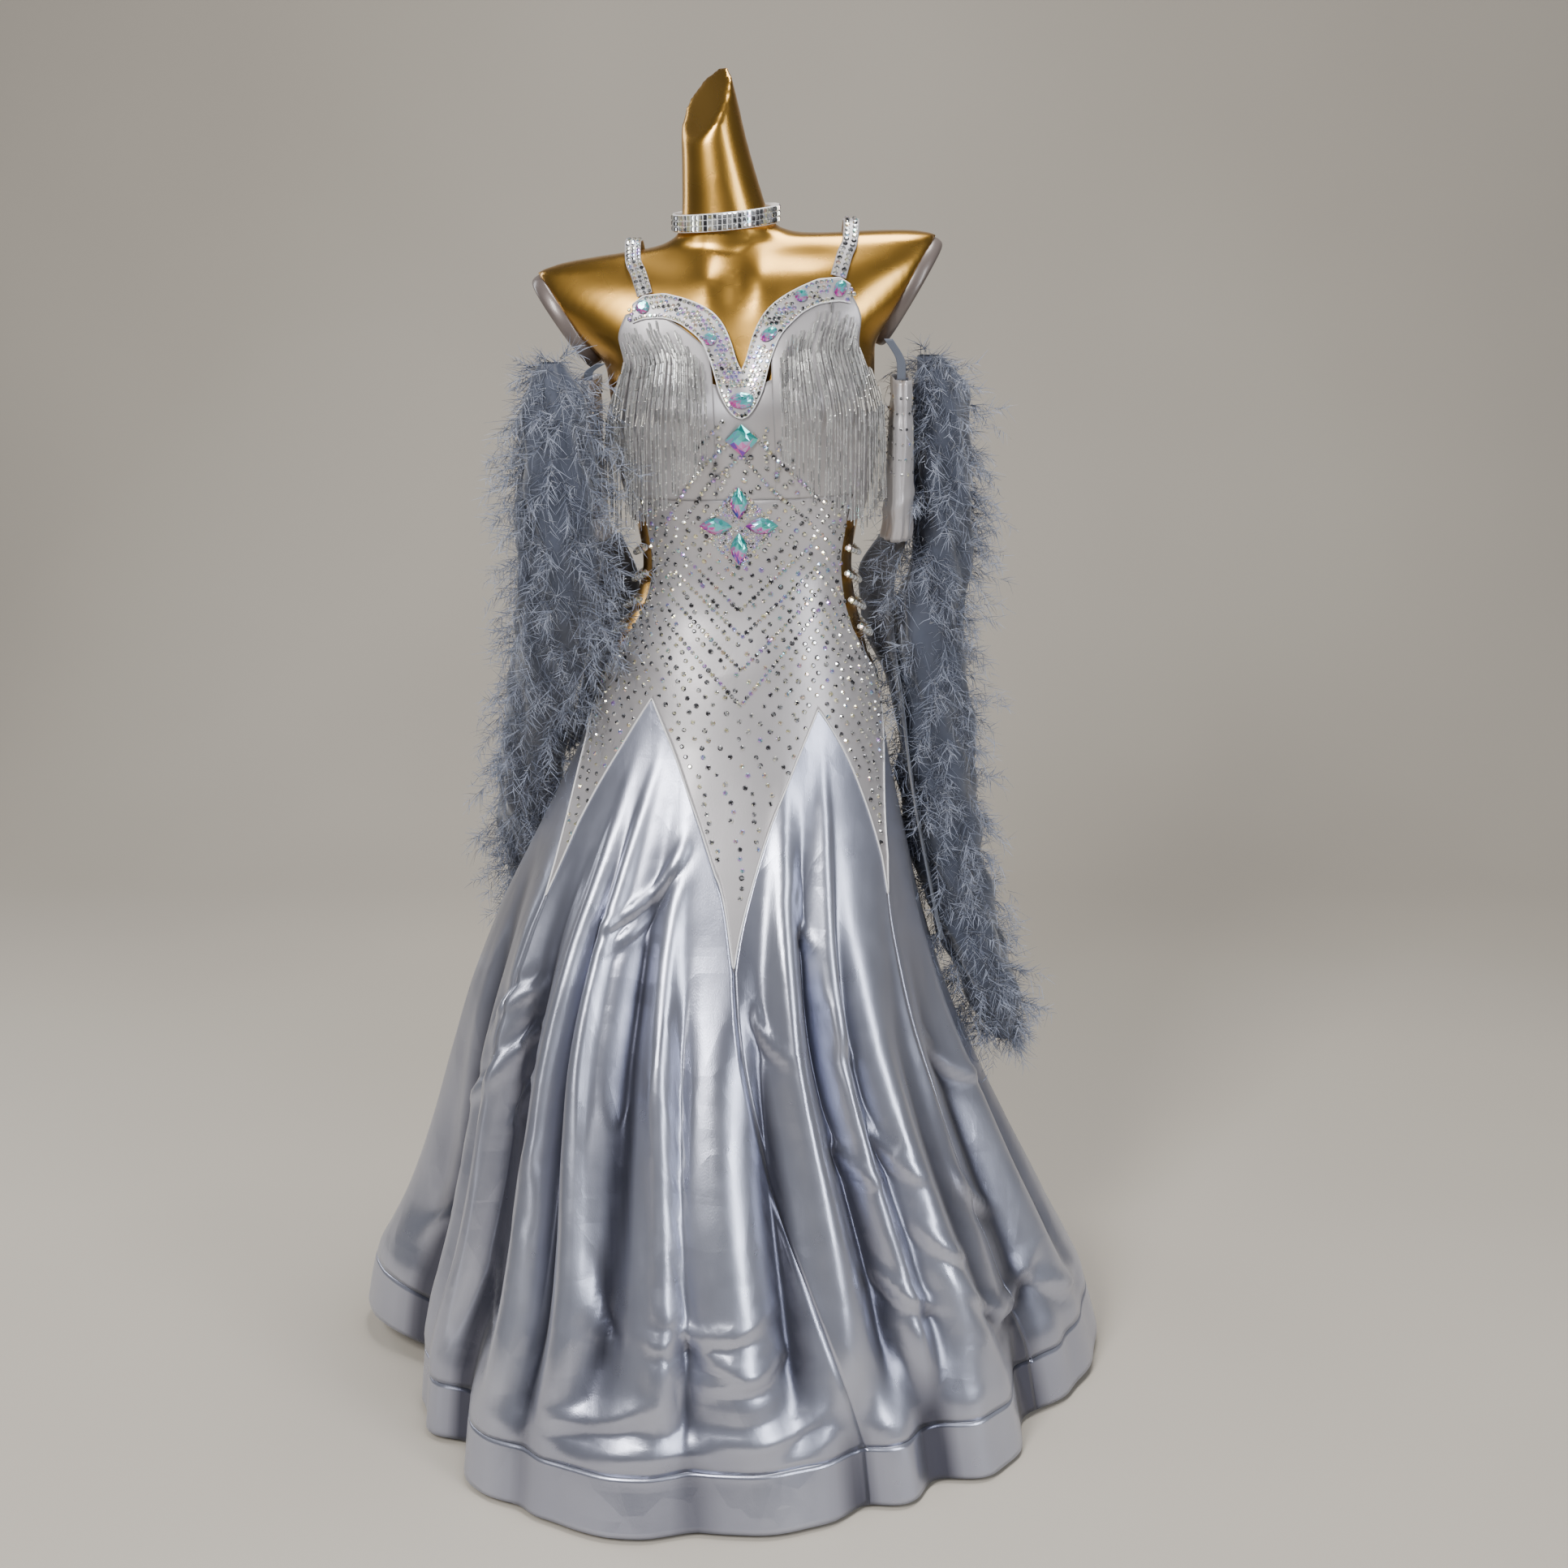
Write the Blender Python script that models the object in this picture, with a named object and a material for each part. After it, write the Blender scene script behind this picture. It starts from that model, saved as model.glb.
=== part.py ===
"""Ballroom dance dress on a limbless dress form, in metres, +Z up, front towards -Y.

Every cloth piece is a thin wall laid on one figure. An angle runs round the figure in degrees, 0 at
the centre front and 90 at the +X side, and a height is measured from the floor.
"""

import math
from collections import namedtuple

import bmesh
import bpy
from mathutils import Vector

# Driving sizes.
FORM_BOTTOM = 0.720
NECK_START = 1.424
POLE_RADIUS = 0.0125
BASE_RADIUS = 0.150
BASE_THICKNESS = 0.012
GAP = 0.0003
CLOTH_CLEARANCE = 0.0025
CLOTH_THICKNESS = 0.0015
SEAM_GAP = 0.0007
ROUNDNESS = 2.3
SHOULDER_ROLL = 0.092
ROLL_START = 1.050
ROLL_FULL = 1.360
CENTRE_LINE = 0.007

# Bust shaping, two soft cups on the chest.
BUST_DEPTH = 0.042
FORM_BUST_DEPTH = 0.034
BUST_HEIGHT = 1.232
BUST_APART = 0.078
BUST_SHIFT = 0.009
BUST_WIDTH = 0.052
BUST_LENGTH = 0.056

# Arm cuts: a plane on each side that leans in towards the underarm.
ARM_TOP_HEIGHT = 1.396
ARM_TOP_REACH = 0.229
ARM_LEAN = 0.63
ARM_LOW_REACH = 0.160
PLATE_THICKNESS = 0.011

Ring = namedtuple("Ring", "height half_width front back shift")
BODY = (
    Ring(0.720, 0.148, 0.104, 0.120, 0.000),
    Ring(0.780, 0.162, 0.114, 0.138, 0.000),
    Ring(0.840, 0.169, 0.120, 0.146, 0.000),
    Ring(0.900, 0.161, 0.111, 0.134, 0.001),
    Ring(0.950, 0.148, 0.101, 0.118, 0.004),
    Ring(1.000, 0.131, 0.090, 0.098, 0.009),
    Ring(1.040, 0.125, 0.086, 0.088, 0.011),
    Ring(1.090, 0.132, 0.090, 0.092, 0.011),
    Ring(1.150, 0.146, 0.098, 0.100, 0.011),
    Ring(1.220, 0.157, 0.106, 0.108, 0.010),
    Ring(1.280, 0.160, 0.101, 0.110, 0.007),
    Ring(1.330, 0.204, 0.086, 0.104, 0.004),
    Ring(1.370, 0.232, 0.067, 0.086, 0.002),
    Ring(1.396, 0.236, 0.048, 0.064, 0.001),
    Ring(1.406, 0.206, 0.040, 0.052, 0.000),
    Ring(1.4105, 0.160, 0.036, 0.045, -0.002),
    Ring(1.413, 0.110, 0.036, 0.043, -0.005),
    Ring(1.417, 0.078, 0.038, 0.043, -0.008),
    Ring(1.424, 0.060, 0.041, 0.043, -0.010),
)
SKIRT = (
    Ring(0.005, 0.462, 0.440, 0.455, -0.008),
    Ring(0.100, 0.440, 0.412, 0.420, -0.012),
    Ring(0.200, 0.395, 0.378, 0.380, -0.014),
    Ring(0.300, 0.355, 0.340, 0.342, -0.022),
    Ring(0.400, 0.320, 0.300, 0.306, -0.032),
    Ring(0.500, 0.287, 0.262, 0.272, -0.038),
    Ring(0.600, 0.255, 0.222, 0.240, -0.034),
    Ring(0.700, 0.222, 0.182, 0.206, -0.022),
    Ring(0.780, 0.196, 0.150, 0.176, -0.012),
    Ring(0.840, 0.178, 0.130, 0.155, -0.004),
    Ring(0.900, 0.163, 0.114, 0.138, 0.001),
    Ring(0.950, 0.148, 0.101, 0.118, 0.004),
)
SKIRT_START = 0.950

# The neck of the form is an abstract horn; its section is an ellipse on a leaning axis.
NeckRing = namedtuple("NeckRing", "height shift half_width half_depth")
NECK = (
    NeckRing(1.4245, -0.010, 0.0585, 0.0410),
    NeckRing(1.436, -0.0125, 0.0515, 0.0400),
    NeckRing(1.455, -0.0150, 0.0475, 0.0390),
    NeckRing(1.500, -0.0215, 0.0405, 0.0370),
    NeckRing(1.545, -0.0270, 0.0345, 0.0340),
    NeckRing(1.575, -0.0280, 0.0285, 0.0290),
    NeckRing(1.597, -0.0240, 0.0190, 0.0210),
    NeckRing(1.610, -0.0170, 0.0080, 0.0100),
)
NECK_CUT_POINT = (-0.058, 0.000, 1.547)
NECK_CUT_NORMAL = (-0.544, -0.667, 0.510)

# Folds of the skirt: reach is how far the ridge stands out, or the valley in, at the hem.
Fold = namedtuple("Fold", "angle spread reach top")
FOLDS = (
    Fold(-172, 7, -0.020, 0.60),
    Fold(-153, 7, 0.034, 0.84),
    Fold(-139, 6, -0.028, 0.80),
    Fold(-125, 8, 0.020, 0.60),
    Fold(-110, 7, -0.024, 0.70),
    Fold(-93, 9, 0.042, 0.80),
    Fold(-77, 9, -0.085, 0.70),
    Fold(-62, 7, -0.040, 0.62),
    Fold(-49, 6, -0.060, 0.74),
    Fold(-36, 6, -0.004, 0.80),
    Fold(-14, 8, 0.026, 0.84),
    Fold(4, 6, 0.006, 0.58),
    Fold(18, 5, -0.036, 0.60),
    Fold(32, 6, -0.052, 0.76),
    Fold(45, 6, -0.020, 0.70),
    Fold(60, 9, -0.062, 0.70),
    Fold(74, 5, -0.012, 0.66),
    Fold(92, 9, 0.018, 0.80),
    Fold(108, 7, -0.026, 0.70),
    Fold(122, 8, 0.022, 0.60),
    Fold(136, 7, -0.026, 0.80),
    Fold(150, 7, 0.036, 0.84),
    Fold(164, 6, -0.024, 0.70),
    Fold(176, 6, 0.024, 0.58),
)
FOLD_POWER = 0.95
HEM_LOW = 0.006
HEM_BAND = 0.066
HemRise = namedtuple("HemRise", "angle spread rise")
HEM_RISES = (
    HemRise(-93, 20, 0.030),
    HemRise(92, 16, 0.010),
    HemRise(150, 14, 0.008),
    HemRise(-153, 14, 0.010),
)

# The bodice ends in six tongues, and six godets are set between them.
Tip = namedtuple("Tip", "name angle height")
TONGUES = (
    Tip("front", 5, 0.596),
    Tip("front_right", 59, 0.652),
    Tip("back_right", 121, 0.640),
    Tip("back", 181, 0.602),
    Tip("back_left", 241, 0.640),
    Tip("front_left", 304, 0.652),
)
GODETS = (
    Tip("front_right", 31, 0.881),
    Tip("side_right", 91, 0.884),
    Tip("back_right", 151, 0.884),
    Tip("back_left", 211, 0.884),
    Tip("side_left", 269, 0.884),
    Tip("front_left", 326, 0.893),
)
# How far each seam swings round, in degrees, from the tongue's tip down to the hem.
SEAM_DRIFT = {
    "front": 14,
    "front_right": 5,
    "back_right": -3,
    "back": 6,
    "back_left": -4,
    "front_left": -6,
}
DRIFT_POWER = 1.3
SEAM_SHARES = (0.0, 0.08, 0.19, 0.33, 0.50, 0.70, 0.87, 1.0)
SEAM_CURVE = 2.6
SEAM_STRAIGHT = 0.25
GODET_COLUMNS = 12
GODET_LOW_ROWS = 6
TIP_DROP = 0.006
TIP_HALF_WIDTH = 0.0008
HEM_ROWS = 2
PANEL_ROWS = 7

# Upper edges of the front and back panels, against the angle from the centre front or back.
Edge = namedtuple("Edge", "angle height")
UNDERBUST = 1.1305
FRONT_TOP = (
    Edge(0.0, UNDERBUST),
    Edge(57.0, UNDERBUST),
    Edge(57.5, 1.060),
    Edge(59.5, 1.000),
    Edge(63.0, 0.966),
    Edge(69.0, 0.944),
    Edge(78.0, 0.922),
    Edge(91.0, 0.908),
)
BACK_TOP = (
    Edge(0.0, 1.216),
    Edge(38.0, 1.216),
    Edge(46.0, 1.200),
    Edge(46.5, 1.060),
    Edge(48.5, 1.000),
    Edge(53.0, 0.966),
    Edge(62.0, 0.940),
    Edge(75.0, 0.920),
    Edge(91.0, 0.908),
)
FRONT_KEY_ANGLES = (-59.5, -57.5, -57.0, 57.0, 57.5, 59.5)
BACK_KEY_ANGLES = (131.5, 133.5, 134.0, 142.0, 218.0, 226.0, 226.5, 228.5)

# Cups and the wings that carry them round under the arms.
Column = namedtuple("Column", "angle_low low angle_high high")
CUP = (
    Column(11.8, UNDERBUST + 0.001, 10.6, 1.296),
    Column(20.0, UNDERBUST + 0.001, 16.0, 1.324),
    Column(29.0, UNDERBUST + 0.001, 21.5, 1.341),
    Column(38.0, UNDERBUST + 0.001, 27.0, 1.347),
    Column(47.0, UNDERBUST + 0.001, 33.0, 1.343),
    Column(57.0, UNDERBUST + 0.001, 42.0, 1.318),
    Column(68.0, UNDERBUST + 0.001, 56.0, 1.270),
    Column(79.5, UNDERBUST + 0.001, 79.0, 1.217),
)
CUP_ROWS = 7
CUP_CLEARANCE = 0.0038
GORE = (
    Column(-11.2, UNDERBUST + 0.001, -10.0, 1.252),
    Column(-5.5, UNDERBUST + 0.001, -5.0, 1.250),
    Column(0.0, UNDERBUST + 0.001, 0.0, 1.248),
    Column(5.5, UNDERBUST + 0.001, 5.0, 1.250),
    Column(11.2, UNDERBUST + 0.001, 10.0, 1.252),
)
GORE_ROWS = 6
WING = (
    Column(57.8, 1.0970, 57.8, UNDERBUST),
    Column(68.0, 1.0960, 68.0, UNDERBUST),
    Column(79.6, 1.0960, 79.6, UNDERBUST),
    Column(80.0, 1.0960, 80.0, 1.2160),
    Column(93.0, 1.0960, 93.0, 1.2080),
    Column(106.0, 1.0960, 106.0, 1.2020),
    Column(120.0, 1.0970, 120.0, 1.2000),
    Column(133.5, 1.0980, 133.5, 1.2000),
)
WING_ROWS = 4

# The stoned neckline band, against the distance from the centre line.
Band = namedtuple("Band", "out low high")
NECKLINE = (
    Band(0.000, 1.2215, 1.2700),
    Band(0.006, 1.2230, 1.2820),
    Band(0.012, 1.2270, 1.3010),
    Band(0.019, 1.2350, 1.3180),
    Band(0.027, 1.2500, 1.3300),
    Band(0.035, 1.2820, 1.3375),
    Band(0.044, 1.3040, 1.3435),
    Band(0.056, 1.3170, 1.3495),
    Band(0.072, 1.3290, 1.3555),
    Band(0.090, 1.3350, 1.3600),
    Band(0.107, 1.3360, 1.3600),
    Band(0.122, 1.3330, 1.3520),
)
BAND_LIFT = 0.0068
BAND_THICKNESS = 0.0016

# Shoulder straps: out is the distance from the centre line.
StrapPoint = namedtuple("StrapPoint", "out y height rise")
STRAP_WIDTH = 0.018
STRAP_THICKNESS = 0.0022
STRAP_LIFT = 0.0030
STRAP_FRONT = ((0.1090, 1.3625), (0.1120, 1.3720), (0.1170, 1.3860), (0.1230, 1.3990))
STRAP_TOP = ((-0.026, 0.0080), (-0.010, 0.0120), (0.010, 0.0120), (0.030, 0.0080))
STRAP_BACK = ((0.1230, 1.3990), (0.1200, 1.3800), (0.1120, 1.3400), (0.1000, 1.2950), (0.0860, 1.2480), (0.0760, 1.2215))
SHOULDER_TOP = 1.4115

# Neck band round the foot of the horn.
NECKBAND_CENTRE = (-0.012, 0.000, 1.4400)
NECKBAND_HALF = (0.0595, 0.0500)
NECKBAND_HEIGHT = 0.020
NECKBAND_THICKNESS = 0.002
NECKBAND_SEGMENTS = 32

# Sleeves hang empty beside the body; out is measured from the bust's centre at BODY_CENTRE.
BODY_CENTRE = 0.010
SleeveRing = namedtuple("SleeveRing", "height out y half_x half_y")
SLEEVE = (
    SleeveRing(1.070, 0.179, -0.004, 0.0160, 0.046),
    SleeveRing(1.085, 0.181, -0.004, 0.0155, 0.052),
    SleeveRing(1.140, 0.182, -0.003, 0.0145, 0.058),
    SleeveRing(1.200, 0.183, -0.002, 0.0135, 0.060),
    SleeveRing(1.258, 0.183, 0.000, 0.0130, 0.056),
)
SLEEVE_SEGMENTS = 14
SLEEVE_THICKNESS = 0.0015

# The slate float below each sleeve, and the trims of feathers, one row for each side and height.
FloatRow = namedtuple("FloatRow", "height x y half_x half_y")
FLOATS = {
    "right": (
        FloatRow(0.560, 0.251, 0.014, 0.000, 0.024),
        FloatRow(0.660, 0.229, 0.010, 0.000, 0.030),
        FloatRow(0.760, 0.210, 0.006, 0.001, 0.034),
        FloatRow(0.880, 0.190, 0.034, 0.008, 0.034),
        FloatRow(0.950, 0.170, 0.058, 0.020, 0.030),
        FloatRow(1.010, 0.168, 0.062, 0.022, 0.028),
        FloatRow(1.066, 0.186, 0.015, 0.014, 0.036),
    ),
    "left": (
        FloatRow(0.790, -0.210, 0.075, 0.006, 0.024),
        FloatRow(0.860, -0.190, 0.072, 0.010, 0.028),
        FloatRow(0.930, -0.165, 0.070, 0.020, 0.028),
        FloatRow(1.000, -0.150, 0.060, 0.024, 0.028),
        FloatRow(1.066, -0.160, 0.020, 0.016, 0.036),
    ),
}
FeatherRow = namedtuple("FeatherRow", "height x y half_x half_y")
FEATHERS = {
    "right": (
        FeatherRow(0.400, 0.345, 0.062, 0.014, 0.016),
        FeatherRow(0.460, 0.331, 0.060, 0.033, 0.038),
        FeatherRow(0.560, 0.300, 0.055, 0.038, 0.044),
        FeatherRow(0.660, 0.276, 0.050, 0.040, 0.046),
        FeatherRow(0.760, 0.264, 0.045, 0.041, 0.048),
        FeatherRow(0.860, 0.252, 0.042, 0.041, 0.048),
        FeatherRow(0.960, 0.238, 0.040, 0.041, 0.048),
        FeatherRow(1.060, 0.248, 0.040, 0.038, 0.046),
        FeatherRow(1.150, 0.246, 0.038, 0.036, 0.044),
        FeatherRow(1.235, 0.243, 0.035, 0.034, 0.040),
        FeatherRow(1.285, 0.226, 0.030, 0.014, 0.016),
    ),
    "left": (
        FeatherRow(0.400, -0.276, 0.306, 0.014, 0.016),
        FeatherRow(0.460, -0.276, 0.276, 0.032, 0.038),
        FeatherRow(0.540, -0.278, 0.230, 0.036, 0.042),
        FeatherRow(0.620, -0.282, 0.178, 0.038, 0.044),
        FeatherRow(0.700, -0.278, 0.120, 0.040, 0.046),
        FeatherRow(0.780, -0.264, 0.062, 0.042, 0.048),
        FeatherRow(0.860, -0.242, 0.004, 0.044, 0.048),
        FeatherRow(0.960, -0.220, -0.060, 0.048, 0.046),
        FeatherRow(1.060, -0.206, -0.105, 0.048, 0.040),
        FeatherRow(1.150, -0.204, -0.108, 0.046, 0.038),
        FeatherRow(1.235, -0.205, -0.102, 0.036, 0.034),
        FeatherRow(1.285, -0.208, -0.096, 0.014, 0.016),
    ),
}
FEATHER_SEGMENTS = 12
HANGER_WIDTH = 0.010

# Bead fringe: the solid of its reach hangs straight down from the fullest part of each cup.
Fringe = namedtuple("Fringe", "angle_low low angle_high high")
FRINGE = (
    Fringe(13.5, 1.172, 12.5, 1.286),
    Fringe(20.0, 1.150, 17.0, 1.312),
    Fringe(27.0, 1.128, 22.0, 1.326),
    Fringe(35.0, 1.108, 27.5, 1.331),
    Fringe(44.0, 1.094, 33.0, 1.327),
    Fringe(54.0, 1.088, 41.0, 1.305),
    Fringe(65.0, 1.104, 54.0, 1.262),
    Fringe(73.0, 1.134, 71.0, 1.224),
)
FRINGE_LIFT = 0.0108
FRINGE_THICKNESS = 0.0070
FRINGE_ROWS = 7
FRINGE_HANG = 1.226

# Clear beaded straps across the side cut-outs.
WAIST_STRAP_RADIUS = 0.0035
WAIST_STRAP_LIFT = 0.0085
WAIST_STRAP_POINTS = 9
WaistStrap = namedtuple("WaistStrap", "front_angle back_angle front_height middle_height")
WAIST_STRAPS = (
    WaistStrap(58.5, 130.0, 1.066, 1.052),
    WaistStrap(59.5, 129.0, 1.034, 1.016),
    WaistStrap(61.0, 127.0, 1.002, 0.982),
    WaistStrap(66.0, 120.0, 0.968, 0.950),
)

# Large set stones. Each lies on the front at x and height, its long half-size along turn degrees.
Stone = namedtuple("Stone", "name x height half_long half_short turn sides lift")
STONES = (
    Stone("square_stone", 0.007, 1.1985, 0.0135, 0.0135, 45, 4, 0.0085),
    Stone("cross_stone_top", 0.003, 1.1240, 0.0190, 0.0100, 90, 8, 0.0062),
    Stone("cross_stone_bottom", 0.003, 1.0700, 0.0190, 0.0100, 90, 8, 0.0062),
    Stone("cross_stone_left", -0.0230, 1.0970, 0.0190, 0.0100, 0, 8, 0.0062),
    Stone("cross_stone_right", 0.0290, 1.0970, 0.0190, 0.0100, 0, 8, 0.0062),
    Stone("band_stone_tongue", 0.007, 1.2400, 0.0140, 0.0090, 0, 8, 0.0096),
    Stone("band_stone_left_inner", -0.0285, 1.3060, 0.0075, 0.0075, 0, 8, 0.0096),
    Stone("band_stone_left_outer", -0.1030, 1.3480, 0.0080, 0.0080, 0, 8, 0.0096),
    Stone("band_stone_right_inner", 0.0385, 1.3060, 0.0110, 0.0070, 35, 8, 0.0096),
    Stone("band_stone_right_middle", 0.0740, 1.3440, 0.0075, 0.0075, 0, 8, 0.0096),
    Stone("band_stone_right_outer", 0.1170, 1.3480, 0.0100, 0.0070, 60, 8, 0.0096),
)
STONE_HEIGHT = 0.0045
POINT_SHARPNESS = 0.6

Finish = namedtuple("Finish", "colour roughness metallic")
FINISHES = {
    "gold_form": Finish((0.52, 0.32, 0.10, 1), 0.28, 0.85),
    "dark_plate": Finish((0.16, 0.13, 0.12, 1), 0.35, 0.2),
    "steel": Finish((0.55, 0.55, 0.56, 1), 0.3, 1.0),
    "stretch_satin": Finish((0.42, 0.40, 0.42, 1), 0.42, 0.15),
    "skirt_satin": Finish((0.36, 0.38, 0.46, 1), 0.3, 0.25),
    "stoned_band": Finish((0.62, 0.63, 0.66, 1), 0.2, 0.4),
    "slate_cloth": Finish((0.16, 0.18, 0.22, 1), 0.5, 0.0),
    "feathers": Finish((0.11, 0.13, 0.18, 1), 0.8, 0.0),
    "bugle_beads": Finish((0.75, 0.76, 0.76, 1), 0.15, 0.3),
    "clear_beads": Finish((0.80, 0.82, 0.80, 1), 0.12, 0.1),
    "crystal": Finish((0.55, 0.60, 0.72, 1), 0.05, 0.5),
}


def clear_scene():
    for obj in list(bpy.data.objects):
        bpy.data.objects.remove(obj, do_unlink=True)


def material(name):
    """The named finish, made once."""
    made = bpy.data.materials.get(name)
    if made:
        return made
    finish = FINISHES[name]
    made = bpy.data.materials.new(name)
    made.use_nodes = True
    shader = made.node_tree.nodes["Principled BSDF"]
    shader.inputs["Base Color"].default_value = finish.colour
    shader.inputs["Roughness"].default_value = finish.roughness
    shader.inputs["Metallic"].default_value = finish.metallic
    return made


def ease(start, end, value):
    """0 before start, 1 after end, and a smooth step between."""
    share = min(max((value - start) / (end - start), 0.0), 1.0)
    return share * share * (3 - 2 * share)


def along(rows, column, height):
    """A column of a table at a height, on a smooth curve that never overshoots its rows."""
    if height <= rows[0].height:
        return getattr(rows[0], column)
    if height >= rows[-1].height:
        return getattr(rows[-1], column)
    heights = [row.height for row in rows]
    values = [getattr(row, column) for row in rows]
    index = next(i for i in range(len(rows) - 1) if height <= heights[i + 1])
    slopes = [
        (values[i + 1] - values[i]) / (heights[i + 1] - heights[i])
        for i in range(len(rows) - 1)
    ]

    def tangent(at):
        if at == 0:
            return slopes[0]
        if at == len(rows) - 1:
            return slopes[-1]
        if slopes[at - 1] * slopes[at] <= 0:
            return 0.0
        return 2 * slopes[at - 1] * slopes[at] / (slopes[at - 1] + slopes[at])

    span = heights[index + 1] - heights[index]
    t = (height - heights[index]) / span
    start, end = values[index], values[index + 1]
    lead, trail = tangent(index) * span, tangent(index + 1) * span
    return (
        (2 * t**3 - 3 * t**2 + 1) * start
        + (t**3 - 2 * t**2 + t) * lead
        + (3 * t**2 - 2 * t**3) * end
        + (t**3 - t**2) * trail
    )


def edge_height(edges, angle):
    """Straight-line height of a panel's edge at an angle."""
    away = abs(angle)
    for first, second in zip(edges, edges[1:]):
        if away <= second.angle:
            share = (away - first.angle) / (second.angle - first.angle)
            return first.height + share * (second.height - first.height)
    return edges[-1].height


def ring_at(rows, height):
    return Ring(height, *(along(rows, name, height) for name in Ring._fields[1:]))


def rolled(x, y, height):
    """The shoulders tilt: the +X side of the chest stands higher than the -X side."""
    roll = SHOULDER_ROLL * ease(ROLL_START, ROLL_FULL, height)
    return Vector((x, y, height + roll * x))


def bust_depth(x, height, depth=BUST_DEPTH):
    rise = math.exp(-(((height - BUST_HEIGHT) / BUST_LENGTH) ** 2))
    sides = sum(
        math.exp(-(((x - BUST_SHIFT - side * BUST_APART) / BUST_WIDTH) ** 2)) for side in (-1, 1)
    )
    return depth * rise * sides


def round_section(ring, angle, bust=BUST_DEPTH):
    """Point of a rounded section at an angle, as x and y."""
    sine, cosine = math.sin(math.radians(angle)), math.cos(math.radians(angle))
    power = 2 / ROUNDNESS
    x = ring.shift + ring.half_width * math.copysign(abs(sine) ** power, sine)
    depth = ring.front if cosine > 0 else ring.back
    y = -depth * math.copysign(abs(cosine) ** power, cosine)
    return x, y - bust_depth(x, ring.height, bust) * ease(0.0, 0.45, cosine)


def arm_reach(height):
    return max(ARM_LOW_REACH, ARM_TOP_REACH - ARM_LEAN * (ARM_TOP_HEIGHT - height))


def form_point(angle, height, bust=FORM_BUST_DEPTH):
    ring = ring_at(BODY, height)
    x, y = round_section(ring, angle, bust)
    reach = arm_reach(height)
    return rolled(min(max(x, -reach), reach), y, height)


def fold_reach(angle, height):
    """How far the skirt's folds stand out at an angle and a height."""
    total = 0.0
    for fold in FOLDS:
        away = (angle - fold.angle + 180) % 360 - 180
        grown = max(fold.top - height, 0.0) / fold.top
        total += fold.reach * math.exp(-((away / fold.spread) ** 2)) * grown**FOLD_POWER
    return total


def cloth_point(angle, height):
    """The figure that the cloth lies on: the form down to the hips, and the flared skirt below."""
    if height >= SKIRT_START:
        return form_point(angle, height, BUST_DEPTH)
    ring = ring_at(SKIRT, height)
    x, y = round_section(ring, angle)
    out = math.hypot(x - ring.shift, y)
    reach = 1 + fold_reach(angle, height) / out
    return Vector((ring.shift + (x - ring.shift) * reach, y * reach, height))


def lifted(surface, first, second, lift):
    """A surface's point moved out along its normal."""
    step_a, step_b = 0.4, 0.002
    across = surface(first + step_a, second) - surface(first - step_a, second)
    up = surface(first, second + step_b) - surface(first, second - step_b)
    return surface(first, second) + across.cross(up).normalized() * lift


def front_point(x, height):
    """The figure's front at a place across it, before the shoulders' tilt moves it."""
    ring = ring_at(BODY, height)
    share = min(abs(x - ring.shift) / ring.half_width, 0.999)
    depth = ring.front * (1 - share**ROUNDNESS) ** (1 / ROUNDNESS)
    return rolled(x, -depth - bust_depth(x, height), height)


def back_point(x, height):
    ring = ring_at(BODY, height)
    share = min(abs(x - ring.shift) / ring.half_width, 0.999)
    return rolled(x, ring.back * (1 - share**ROUNDNESS) ** (1 / ROUNDNESS), height)


def front_lifted(x, height, lift):
    step = 0.001
    across = front_point(x + step, height) - front_point(x - step, height)
    up = front_point(x, height + step) - front_point(x, height - step)
    return front_point(x, height) + across.cross(up).normalized() * lift


def back_lifted(x, height, lift):
    step = 0.001
    across = back_point(x - step, height) - back_point(x + step, height)
    up = back_point(x, height + step) - back_point(x, height - step)
    return back_point(x, height) + across.cross(up).normalized() * lift


def add_object(name, points, faces, finish, smooth=True):
    """One closed mesh, with its normals turned out."""
    shell = bmesh.new()
    corners = [shell.verts.new(point) for point in points]
    for face in faces:
        shell.faces.new([corners[i] for i in face])
    bmesh.ops.recalc_face_normals(shell, faces=shell.faces)
    if shell.calc_volume(signed=True) < 0:
        bmesh.ops.reverse_faces(shell, faces=shell.faces)
    mesh = bpy.data.meshes.new(name)
    shell.to_mesh(mesh)
    shell.free()
    if smooth:
        mesh.shade_smooth()
        mesh.set_sharp_from_angle(angle=math.radians(45))
    obj = bpy.data.objects.new(name, mesh)
    obj.data.materials.append(material(finish))
    bpy.context.scene.collection.objects.link(obj)
    return obj


def grid_faces(columns, rows, start, wraps):
    """Quads of a grid stored column by column."""
    count = columns if wraps else columns - 1
    faces = []
    for i in range(count):
        left, right = start + i * rows, start + (i + 1) % columns * rows
        for j in range(rows - 1):
            faces.append((left + j, right + j, right + j + 1, left + j + 1))
    return faces


def halves(quads):
    """Each quad as two triangles, cut along the same diagonal."""
    return [half for a, b, c, d in quads for half in ((a, b, c), (a, c, d))]


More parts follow.
